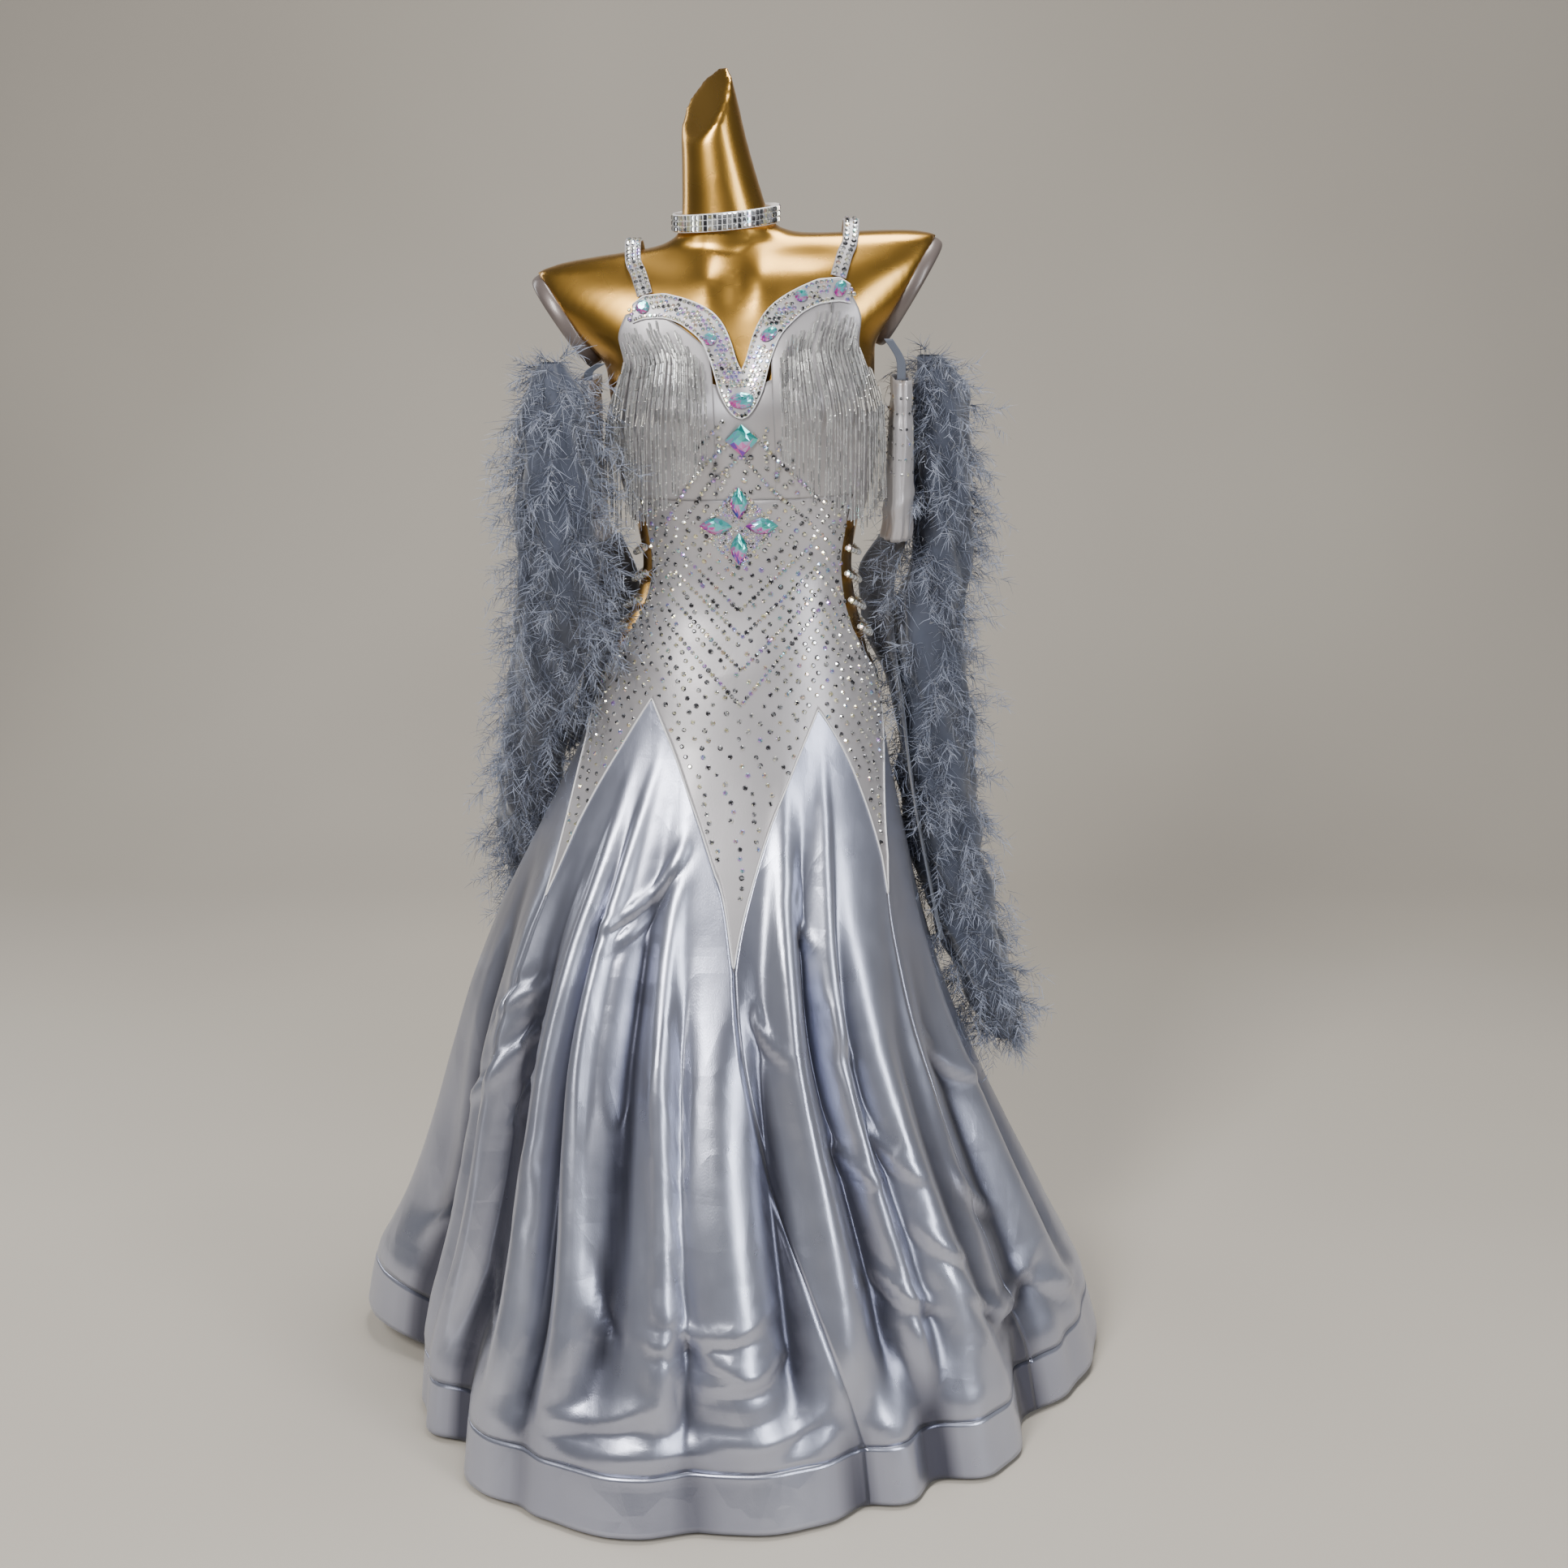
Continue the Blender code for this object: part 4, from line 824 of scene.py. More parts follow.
class Tube:
    """Round tubes along paths, for piping and cords."""

    @staticmethod
    def mesh(path: Array, radius: float | Array, sides: int = 8) -> tuple[Array, Array]:
        """Points and quads of one open tube.

        Args:
            path: Points along its middle.
            radius: Its radius, or one for each point.
            sides: Number of sides.

        Returns:
            Points and quads.
        """
        path = np.asarray(path, float)
        ahead = unit(np.gradient(path, axis=0))
        side = np.cross(ahead[0], (0.3, 0.2, 1.0))
        sides_list = []
        for direction in ahead:
            side = side - direction * side.dot(direction)
            side = side / max(np.linalg.norm(side), 1e-9)
            sides_list.append(side)
        first = np.array(sides_list)
        second = np.cross(ahead, first)
        turns = 2 * np.pi * np.arange(sides) / sides
        radius = np.broadcast_to(np.asarray(radius, float), len(path))
        ring = np.cos(turns)[:, None, None] * first + np.sin(turns)[:, None, None] * second
        points = path[None] + ring * radius[None, :, None]
        return points.reshape(-1, 3), grid_faces(sides, len(path), 0, True)

    @classmethod
    def join(
        cls, name: str, paths: Sequence[Array], radius: float, finish: bpy.types.Material, sides: int = 8
    ) -> bpy.types.Object:
        """One object of several tubes with rounded ends."""
        points, faces, count = [], [], 0
        for path in paths:
            taper = np.full(len(path), radius)
            taper[0] = taper[-1] = radius * 0.35
            spots, quads = cls.mesh(path, taper, sides)
            points.append(spots)
            faces.append(quads + count)
            count += len(spots)
        return mesh_object(name, np.concatenate(points), [np.concatenate(faces)], finish)


def smooth_route(points: Array, steps: int) -> Array:
    """A smooth curve through the points, steps to each stretch."""
    points = np.asarray(points, float)
    ends = np.concatenate(([2 * points[0] - points[1]], points, [2 * points[-1] - points[-2]]))
    t = (np.arange(steps) / steps)[:, None]
    route = []
    for i in range(1, len(ends) - 2):
        a, b, c, d = ends[i - 1 : i + 3]
        route.append((2 * b + (c - a) * t + (2 * a - 5 * b + 4 * c - d) * t**2 + (3 * b - a - 3 * c + d) * t**3) / 2)
    return np.concatenate((*route, points[-1:]))


def evenly(path: Array, pitch: float) -> tuple[Array, Array]:
    """Places at even distances along a path.

    Args:
        path: Points of the path.
        pitch: Distance between places.

    Returns:
        The places and the directions of the path there.
    """
    steps = np.linalg.norm(np.diff(path, axis=0), axis=-1)
    run = np.concatenate(([0.0], np.cumsum(steps)))
    count = max(int(run[-1] / pitch), 1)
    where = (np.arange(count) + 0.5) * run[-1] / count
    places = np.stack([np.interp(where, run, path[:, k]) for k in range(path.shape[1])], axis=-1)
    index = np.clip(np.searchsorted(run, where) - 1, 0, len(steps) - 1)
    return places, unit(path[index + 1] - path[index])


# Finishes.


class Nodes:
    """A material's node tree, with short ways to add and join nodes."""

    def __init__(self, name: str) -> None:
        """A new material with one Principled shader."""
        self.material = bpy.data.materials.new(name)
        self.material.use_nodes = True
        self.tree = self.material.node_tree
        self.shader = self.tree.nodes["Principled BSDF"]
        self.place = self.tree.nodes.new("ShaderNodeTexCoord").outputs["Object"]

    def put(self, socket: bpy.types.NodeSocket, value: object) -> None:
        """Joins a socket to another one, or sets it."""
        if isinstance(value, bpy.types.NodeSocket):
            self.tree.links.new(value, socket)
        elif isinstance(value, tuple) and len(value) == 3 and socket.type == "RGBA":
            socket.default_value = (*value, 1.0)
        else:
            socket.default_value = value

    def set(self, **values: object) -> None:
        """Sets the shader's sockets; an underscore stands for a space."""
        for name, value in values.items():
            self.put(self.shader.inputs[name.replace("_", " ")], value)

    def stretched(self, x: float, y: float, z: float) -> bpy.types.NodeSocket:
        """Coordinates scaled along each axis."""
        node = self.tree.nodes.new("ShaderNodeVectorMath")
        node.operation = "MULTIPLY"
        self.put(node.inputs[0], self.place)
        node.inputs[1].default_value = (x, y, z)
        return node.outputs["Vector"]

    def noise(
        self, scale: float, detail: float = 2.0, where: object = None, rough: float = 0.5
    ) -> bpy.types.NodeSocket:
        """Soft noise from 0 to 1."""
        node = self.tree.nodes.new("ShaderNodeTexNoise")
        self.put(node.inputs["Vector"], where or self.place)
        node.inputs["Scale"].default_value = scale
        node.inputs["Detail"].default_value = detail
        node.inputs["Roughness"].default_value = rough
        return node.outputs["Fac"]

    def wave(self, scale: float, direction: str, distort: float = 0.0) -> bpy.types.NodeSocket:
        """Even stripes from 0 to 1 across one axis."""
        node = self.tree.nodes.new("ShaderNodeTexWave")
        node.bands_direction = direction
        self.put(node.inputs["Vector"], self.place)
        node.inputs["Scale"].default_value = scale
        node.inputs["Distortion"].default_value = distort
        return node.outputs["Fac"]

    def planes(self, scale: float, stretch: tuple[float, float, float]) -> bpy.types.NodeSocket:
        """Tilted planes that meet at crisp edges, as in crushed cloth.

        Args:
            scale: Planes in a metre.
            stretch: Scale of each direction.

        Returns:
            Their height.
        """
        node = self.tree.nodes.new("ShaderNodeTexVoronoi")
        node.feature = "F1"
        node.distance = "MANHATTAN"
        self.put(node.inputs["Vector"], self.stretched(*stretch))
        self.put(node.inputs["Scale"], scale)
        blunt = self.tree.nodes.new("ShaderNodeMath")
        blunt.operation = "SMOOTH_MAX"
        self.put(blunt.inputs[0], node.outputs["Distance"])
        self.put(blunt.inputs[1], 0.30)
        self.put(blunt.inputs[2], 0.35)
        return blunt.outputs["Value"]

    def shaded(self, colour: bpy.types.NodeSocket, share: bpy.types.NodeSocket) -> bpy.types.NodeSocket:
        """The colour with painted shade: darker where the share is low."""
        node = self.tree.nodes.new("ShaderNodeMix")
        node.data_type = "RGBA"
        node.blend_type = "MULTIPLY"
        self.put(node.inputs[0], 1.0)
        self.put(node.inputs[6], colour)
        self.put(
            node.inputs[7],
            self.ramp(share, (0.0, (0.18, 0.18, 0.21)), (0.5, (0.82, 0.82, 0.84)), (1.0, (1.0, 1.0, 1.0))),
        )
        return node.outputs[2]

    def attribute(self, name: str) -> bpy.types.NodeSocket:
        """A value stored on the mesh."""
        node = self.tree.nodes.new("ShaderNodeAttribute")
        node.attribute_name = name
        return node.outputs["Fac"]

    def ramp(
        self, factor: bpy.types.NodeSocket, *stops: tuple[float, tuple[float, float, float]]
    ) -> bpy.types.NodeSocket:
        """A colour for each value, blended between stops."""
        node = self.tree.nodes.new("ShaderNodeValToRGB")
        self.put(node.inputs["Fac"], factor)
        elements = node.color_ramp.elements
        while len(elements) < len(stops):
            elements.new(0.5)
        for element, (position, colour) in zip(elements, stops):
            element.position = position
            element.color = (*colour, 1.0)
        return node.outputs["Color"]

    def span(self, factor: bpy.types.NodeSocket, low: float, high: float) -> bpy.types.NodeSocket:
        """The factor moved from 0..1 to low..high."""
        node = self.tree.nodes.new("ShaderNodeMapRange")
        self.put(node.inputs["Value"], factor)
        node.inputs["To Min"].default_value = low
        node.inputs["To Max"].default_value = high
        return node.outputs["Result"]

    def bump(
        self, height: bpy.types.NodeSocket, distance: float, strength: float, below: object = None
    ) -> bpy.types.NodeSocket:
        """A bumped normal, over another one if given."""
        node = self.tree.nodes.new("ShaderNodeBump")
        self.put(node.inputs["Height"], height)
        node.inputs["Distance"].default_value = distance
        node.inputs["Strength"].default_value = strength
        if below is not None:
            self.put(node.inputs["Normal"], below)
        return node.outputs["Normal"]


Colour = tuple[float, float, float]


@dataclass(frozen=True)
class SatinFinish:
    """Woven satin: a smooth lustre over fine threads; with facets set, crisp facets are bumped in and painted shade
    from the mesh's tint darkens the troughs.
    """

    name: str
    light: Colour
    dark: Colour
    roughness: float = 0.34
    metallic: float = 0.35
    sheen: float = 0.2
    crumple: float = 0.0012
    anisotropic: float = 0.5
    facets: float = 0.0

    def make(self) -> bpy.types.Material:
        """The material."""
        nodes = Nodes(self.name)
        colour = nodes.ramp(nodes.noise(5.0, 3.0), (0.30, self.dark), (0.70, self.light))
        threads = nodes.noise(900.0, 1.0, nodes.stretched(1.0, 1.0, 0.12))
        crumple = nodes.noise(16.0, 3.0, nodes.stretched(1.0, 1.0, 0.45), 0.45)
        normal = nodes.bump(crumple, self.crumple, 0.55)
        if self.facets:
            # painted shade: the tint attribute darkens the colour in the folds' troughs
            colour = nodes.shaded(colour, nodes.attribute("tint"))
            normal = nodes.bump(nodes.planes(5.0, (1.0, 1.0, 0.5)), self.facets, 0.5, normal)
            normal = nodes.bump(nodes.planes(13.0, (1.0, 1.0, 0.7)), self.facets * 0.35, 0.5, normal)
        normal = nodes.bump(threads, 0.0003, 0.25, normal)
        nodes.set(
            Base_Color=colour,
            Roughness=nodes.span(nodes.noise(30.0), self.roughness - 0.05, self.roughness + 0.06),
            Metallic=self.metallic,
            Sheen_Weight=self.sheen,
            Anisotropic=self.anisotropic,
            Normal=normal,
        )
        return nodes.material


@dataclass(frozen=True)
class PaintFinish:
    """Metal or a metallic paint with a clear coat."""

    name: str
    light: Colour
    dark: Colour
    roughness: float = 0.30
    metallic: float = 0.9
    coat: float = 0.4
    grain: float = 0.0002

    def make(self) -> bpy.types.Material:
        """The material."""
        nodes = Nodes(self.name)
        flakes = nodes.noise(1400.0, 1.0)
        colour = nodes.ramp(nodes.noise(7.0, 3.0), (0.32, self.dark), (0.68, self.light))
        nodes.set(
            Base_Color=colour,
            Metallic=self.metallic,
            Roughness=nodes.span(nodes.noise(18.0, 3.0), self.roughness - 0.04, self.roughness + 0.05),
            Coat_Weight=self.coat,
            Coat_Roughness=0.12,
            Normal=nodes.bump(flakes, self.grain, 0.10),
        )
        return nodes.material


@dataclass(frozen=True)
class JewelFinish:
    """Cut glass or beads whose faces each take a colour from a row of stops."""

    name: str
    stops: tuple[tuple[float, Colour], ...]
    roughness: float = 0.12
    metallic: float = 0.75
    clear: float = 0.0

    def make(self) -> bpy.types.Material:
        """The material."""
        nodes = Nodes(self.name)
        nodes.set(
            Base_Color=nodes.ramp(nodes.attribute("tint"), *self.stops),
            Metallic=self.metallic,
            Roughness=nodes.span(nodes.noise(300.0), self.roughness - 0.03, self.roughness + 0.06),
            Transmission_Weight=self.clear,
            Coat_Weight=0.6,
            Coat_Roughness=0.04,
        )
        return nodes.material


@dataclass(frozen=True)
class FeatherFinish:
    """Feather barbs, dark at the root and paler at the tips."""

    name: str
    root: Colour
    middle: Colour
    tip: Colour

    def make(self) -> bpy.types.Material:
        """The material."""
        nodes = Nodes(self.name)
        nodes.set(
            Base_Color=nodes.ramp(
                nodes.attribute("tint"), (0.0, self.root), (0.55, self.middle), (1.0, self.tip)
            ),
            Roughness=nodes.span(nodes.noise(60.0), 0.55, 0.75),
            Sheen_Weight=0.5,
            Specular_IOR_Level=0.25,
        )
        return nodes.material


@dataclass(frozen=True)
class BackdropFinish:
    """A plain painted sweep with a faint mottle."""

    name: str
    light: Colour
    dark: Colour

    def make(self) -> bpy.types.Material:
        """The material."""
        nodes = Nodes(self.name)
        nodes.set(
            Base_Color=nodes.ramp(nodes.noise(0.8, 2.0), (0.35, self.dark), (0.65, self.light)),
            Roughness=0.75,
        )
        return nodes.material


SILVER_STOPS = (
    (0.0, (0.07, 0.07, 0.08)),
    (0.14, (0.36, 0.37, 0.39)),
    (0.30, (0.96, 0.97, 0.98)),
    (0.50, (0.96, 0.92, 0.52)),
    (0.64, (0.92, 0.60, 0.58)),
    (0.78, (0.46, 0.86, 0.80)),
    (0.90, (0.40, 0.48, 0.96)),
    (1.0, (0.72, 0.42, 0.92)),
)


class Finishes:
    """The set of materials, each made once."""

    def __init__(self) -> None:
        """Makes every material."""
        self.satin = SatinFinish(
            "stretch satin", (0.45, 0.43, 0.445), (0.38, 0.365, 0.38), 0.38, 0.45, 0.25, 0.0007, 0.3
        ).make()
        # the skirt satin darkens its troughs with painted shade
        self.skirt = SatinFinish(
            "skirt satin", (0.50, 0.525, 0.635), (0.41, 0.43, 0.54), 0.29, 0.85, 0.1, 0.0024, 0.6, 0.007
        ).make()
        self.piping = SatinFinish(
            "white piping", (0.80, 0.80, 0.82), (0.68, 0.68, 0.70), 0.35, 0.1, 0.2, 0.0002, 0.0
        ).make()
        self.slate = SatinFinish(
            "slate cloth", (0.10, 0.115, 0.15), (0.07, 0.08, 0.11), 0.55, 0.0, 0.3, 0.0008, 0.0
        ).make()
        self.gold = PaintFinish("gold form", (0.56, 0.315, 0.070), (0.48, 0.265, 0.052), 0.27, 1.0, 0.25).make()
        self.plate = PaintFinish("dark plate", (0.17, 0.14, 0.13), (0.11, 0.09, 0.085), 0.36, 0.3, 0.3).make()
        self.steel = PaintFinish("steel", (0.55, 0.55, 0.56), (0.46, 0.46, 0.47), 0.30, 1.0, 0.0).make()
        self.stones = JewelFinish("small stones", SILVER_STOPS, 0.10, 0.85).make()
        self.gems = JewelFinish(
            "large stones",
            (
                (0.0, (0.02, 0.30, 0.28)),
                (0.22, (0.12, 0.62, 0.58)),
                (0.42, (0.16, 0.50, 0.66)),
                (0.58, (0.62, 0.34, 0.62)),
                (0.76, (0.62, 0.05, 0.36)),
                (0.90, (0.20, 0.04, 0.45)),
                (1.0, (0.05, 0.08, 0.42)),
            ),
            0.10,
            0.60,
        ).make()
        self.bugles = JewelFinish(
            "bugle beads", ((0.0, (0.42, 0.42, 0.42)), (0.5, (0.74, 0.74, 0.73)), (1.0, (0.95, 0.95, 0.93))), 0.16, 0.8
        ).make()
        self.clear = JewelFinish(
            "clear beads", ((0.0, (0.78, 0.80, 0.80)), (0.6, (0.92, 0.92, 0.90)), (1.0, (0.90, 0.80, 0.55))),
            0.08, 0.1, 0.45
        ).make()
        self.feathers = FeatherFinish(
            "feathers", (0.036, 0.043, 0.066), (0.110, 0.127, 0.180), (0.27, 0.30, 0.385)
        ).make()


class Workshop:
    """What every piece needs: the figure, the materials and the frame."""

    def __init__(self) -> None:
        """Makes the figure and the finishes."""
        self.figure = Figure()
        self.finishes = Finishes()
        self.count = 0

    def keep(self, obj: bpy.types.Object, slot: Slot, *nodes: str) -> bpy.types.Object:
        """Attaches a piece of the object to its body, hides the solids that it stands for and counts its triangles.

        Args:
            obj: The piece.
            slot: Its material slot; not used.
            nodes: The solids that it stands for.

        Returns:
            The piece.
        """
        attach(obj, BODY)
        if nodes:
            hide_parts(*nodes)
        triangles = sum(len(face.vertices) - 2 for face in obj.data.polygons)
        self.count += triangles
        LOG.info("%s: %d triangles", obj.name, triangles)
        return obj

    def cloth(
        self,
        name: str,
        grid: ClothGrid,
        finish: bpy.types.Material,
        slot: Slot,
        thickness: float = 0.0010,
        held: str = "hung",
        rests_on: Sequence[str] = (),
        flat: tuple[float, float] | None = None,
    ) -> bpy.types.Object:
        """Builds a sheet of cloth in place of the solid of the same name.

        Args:
            name: The solid's name.
            grid: The sheet's middle surface.
            finish: Its material.
            slot: Its material slot.
            thickness: The cloth's thickness.
            held: How the sheet is held; not used.
            rests_on: What it hangs from or lies on.
            flat: Width and length of its cut, where the rows don't give them.

        Returns:
            The sheet.
        """
        obj = self.keep(grid.build(name + "_cloth", thickness, finish), slot, name)
        flat = flat or (round(grid.width(), 4), round(grid.length(), 4))
        area = min(grid.area(), flat[0] * flat[1])
        LOG.info("%s: flat %.3f by %.3f m, area %.4f m2", name, *flat, area)
        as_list(rests_on)
        return obj


# The dress form.


@dataclass
class DressForm:
    """Gold limbless form with a horn-shaped neck, dark arm plates and its stand."""

    shop: Workshop
    columns: int = 168
    voxel: float = 0.0047
    neck_top: float = 1.610
    cut_point: tuple[float, float, float] = (-0.058, 0.000, 1.547)
    cut_normal: tuple[float, float, float] = (-0.544, -0.667, 0.510)
    plate_half_depth: float = 0.044

    def torso_points(self) -> Array:
        """Rings from the hips to inside the neck, column by column."""
        angles = np.linspace(0, 360, self.columns, endpoint=False)[:, None]
        heights = np.concatenate((np.linspace(0.7205, 1.39, 130), np.linspace(1.3925, 1.424, 26)))
        points = self.shop.figure.form(angles, heights[None, :])
        points[..., 1] += self.hollows(points)
        return points

    def neck_points(self) -> Array:
        """Rings of the horn, from inside the shoulders to its tip."""
        figure = self.shop.figure
        turns = np.linspace(0, 2 * np.pi, self.columns, endpoint=False)[:, None]
        heights = np.concatenate(([1.408, 1.418], np.linspace(1.4262, self.neck_top, 60)))
        shift, half_width, half_depth = figure.neck.at(heights)
        return figure.rolled(shift + half_width * np.sin(turns), -half_depth * np.cos(turns), heights[None, :])

    def hollows(self, points: Array) -> Array:
        """Soft hollows at the collar bones and a faint channel down the chest."""
        x, z = points[..., 0], points[..., 2]
        front = ease(0.0, 0.02, -points[..., 1])
        dent = 0.0075 * bell(x + 0.002, 0.016) * bell(z - 1.368, 0.030)
        dent -= 0.0040 * (bell(x + 0.030, 0.014) + bell(x - 0.026, 0.014)) * bell(z - 1.372, 0.028)
        dent += 0.0030 * (bell(x + 0.082, 0.040) + bell(x - 0.080, 0.040)) * bell(z - 1.395, 0.014)
        dent += 0.0008 * bell(z - 1.308, 0.0016) * bell(x, 0.08)
        return dent * front

    def build_body(self) -> None:
        """Torso and neck as one smooth skin."""
        gold = self.shop.finishes.gold
        neck = self.closed("neck_draft", self.neck_points(), gold)
        self.cut_neck(neck)
        rough = self.closed("form_draft", self.torso_points(), gold)
        joined = bmesh.new()
        for part in (rough, neck):
            joined.from_mesh(part.data)
        joined.to_mesh(rough.data)
        joined.free()
        bpy.data.objects.remove(neck, do_unlink=True)
        remesh = rough.modifiers.new("even", "REMESH")
        remesh.mode = "VOXEL"
        remesh.voxel_size = self.voxel
        remesh.use_smooth_shade = True
        smooth = rough.modifiers.new("soft", "SMOOTH")
        smooth.factor = 0.5
        smooth.iterations = 5
        view = bpy.context.evaluated_depsgraph_get()
        mesh = bpy.data.meshes.new_from_object(rough.evaluated_get(view))
        mesh.name = "dress_form"
        bpy.data.objects.remove(rough, do_unlink=True)
        body = bpy.data.objects.new("dress_form", mesh)
        bpy.context.scene.collection.objects.link(body)
        self.shop.keep(body, Slot.GOLD_FORM, "form_torso", "form_neck")

    @staticmethod
    def closed(name: str, points: Array, finish: bpy.types.Material) -> bpy.types.Object:
        """A turned skin closed at both ends."""
        columns, rows = points.shape[:2]
        ends = np.array([np.arange(columns) * rows, np.arange(columns)[::-1] * rows + rows - 1])
        return mesh_object(name, points, [grid_faces(columns, rows, 0, True), ends], finish)

    def cut_neck(self, obj: bpy.types.Object) -> None:
        """Cuts the horn's slanted flat and closes it."""
        cut = bmesh.new()
        cut.from_mesh(obj.data)
        made = bmesh.ops.bisect_plane(
            cut,
            geom=cut.verts[:] + cut.edges[:] + cut.faces[:],
            plane_co=self.cut_point,
            plane_no=self.cut_normal,
            clear_outer=True,
        )
        rim = [edge for edge in made["geom_cut"] if isinstance(edge, bmesh.types.BMEdge)]
        bmesh.ops.edgenet_fill(cut, edges=rim)
        bmesh.ops.recalc_face_normals(cut, faces=cut.faces)
        cut.to_mesh(obj.data)
        cut.free()

    def build_plate(self, side: Side) -> None:
        """A rounded plate that closes an arm cut."""
        figure, sign = self.shop.figure, side.value
        top = np.array((sign * 0.229, 0, 1.396 + 0.092 * sign * 0.229))
        low_height = 1.396 - (0.229 - 0.160) / 0.63
        low = figure.form(np.array(90.0 * sign), np.array(low_height))
        low[0], low[1] = sign * 0.160, 0
        middle = (top + low) / 2 + np.array((0, 0.004, 0))
        up = unit(top - low)
        out = unit(np.array((sign, 0, 0)) - up * up[0] * sign)
        half_long = np.linalg.norm(top - low) / 2
        turns = np.linspace(0, 2 * np.pi, 72, endpoint=False)[:, None]
        shares = np.array((0.02, 0.95, 0.985, 1.005, 1.015, 1.01, 0.995, 0.965, 0.92, 0.02))
        depths = np.array((-0.006, -0.006, -0.005, -0.003, 0.001, 0.005, 0.008, 0.0100, 0.011, 0.0112))
        rings = (
            middle
            + up * (half_long * shares * np.cos(turns))[..., None]
            + np.array((0, 1, 0)) * (self.plate_half_depth * shares * np.sin(turns))[..., None]
            + out * (depths + 0.0025)[:, None]
        )
        faces = grid_faces(72, len(shares), 0, True)
        if sign > 0:
            faces = faces[:, ::-1]
        obj = mesh_object("arm_plate_cover_" + side.label, rings, [faces], self.shop.finishes.plate)
        self.shop.keep(obj, Slot.DARK_PLATE, "arm_plate_" + side.label)

    def dress_stand(self, nodes: dict[str, bpy.types.Object]) -> None:
        """Gives the pole and the base plate their metal."""
        for name in ("pole", "base_plate"):
            nodes[name].data.materials.clear()
            nodes[name].data.materials.append(self.shop.finishes.steel)

    def build(self, nodes: dict[str, bpy.types.Object]) -> None:
        """Everything of the form."""
        self.build_body()
        for side in Side:
            self.build_plate(side)
        self.dress_stand(nodes)


# Skirt and bodice.


@dataclass
class Seams:
    """The zigzag where the bodice's six tongues meet the six godets."""

    figure: Figure
    straight: float = 0.25
    curve: float = 2.6
    tongues: tuple[Tip, ...] = (
        Tip("front", 5, 0.596),
        Tip("front_right", 59, 0.652),
        Tip("back_right", 121, 0.640),
        Tip("back", 181, 0.602),
        Tip("back_left", 241, 0.640),
        Tip("front_left", 304, 0.652),
    )
    godets: tuple[Tip, ...] = (
        Tip("front_right", 31, 0.881),
        Tip("side_right", 91, 0.884),
        Tip("back_right", 151, 0.884),
        Tip("back_left", 211, 0.884),
        Tip("side_left", 269, 0.884),
        Tip("front_left", 326, 0.893),
    )
    # Degrees from each tongue's tip down to the hem.
    drifts = {"front": 14, "front_right": 5, "back_right": -3, "back": 6, "back_left": -4, "front_left": -6}

    def seam(self, godet: Tip, tongue: Tip, shares: Array) -> tuple[Array, Array]:
        """Angles and heights down a seam, from the godet's tip to the tongue's.

        Args:
            godet: The godet's tip.
            tongue: The tongue's tip.
            shares: How far down, from 0 to 1.

        Returns:
            Angles near the godet's, and heights.
        """
        swing = wrapped(np.array(godet.angle - tongue.angle))
        left = (1 - self.straight) * (1 - shares) ** self.curve + self.straight * (1 - shares)
        return godet.angle - swing + swing * left, godet.height + (tongue.height - godet.height) * shares

    def drift(self, tongue: Tip, share: Array) -> Array:
        """How far a seam has swung round, share of the way from the tongue's tip to the hem."""
        return self.drifts[tongue.name] * share**1.3

    def neighbours(self, index: int) -> tuple[Tip, Tip]:
        """The tongues on both sides of a godet."""
        return self.tongues[index], self.tongues[(index + 1) % len(self.tongues)]

    def turn_for(self, width: float, angle: Array, height: Array) -> Array:
        """The angle that spans a width on the cloth."""
        span = np.linalg.norm(self.figure.cloth(angle + 0.5, height) - self.figure.cloth(angle - 0.5, height), axis=-1)
        return width / span


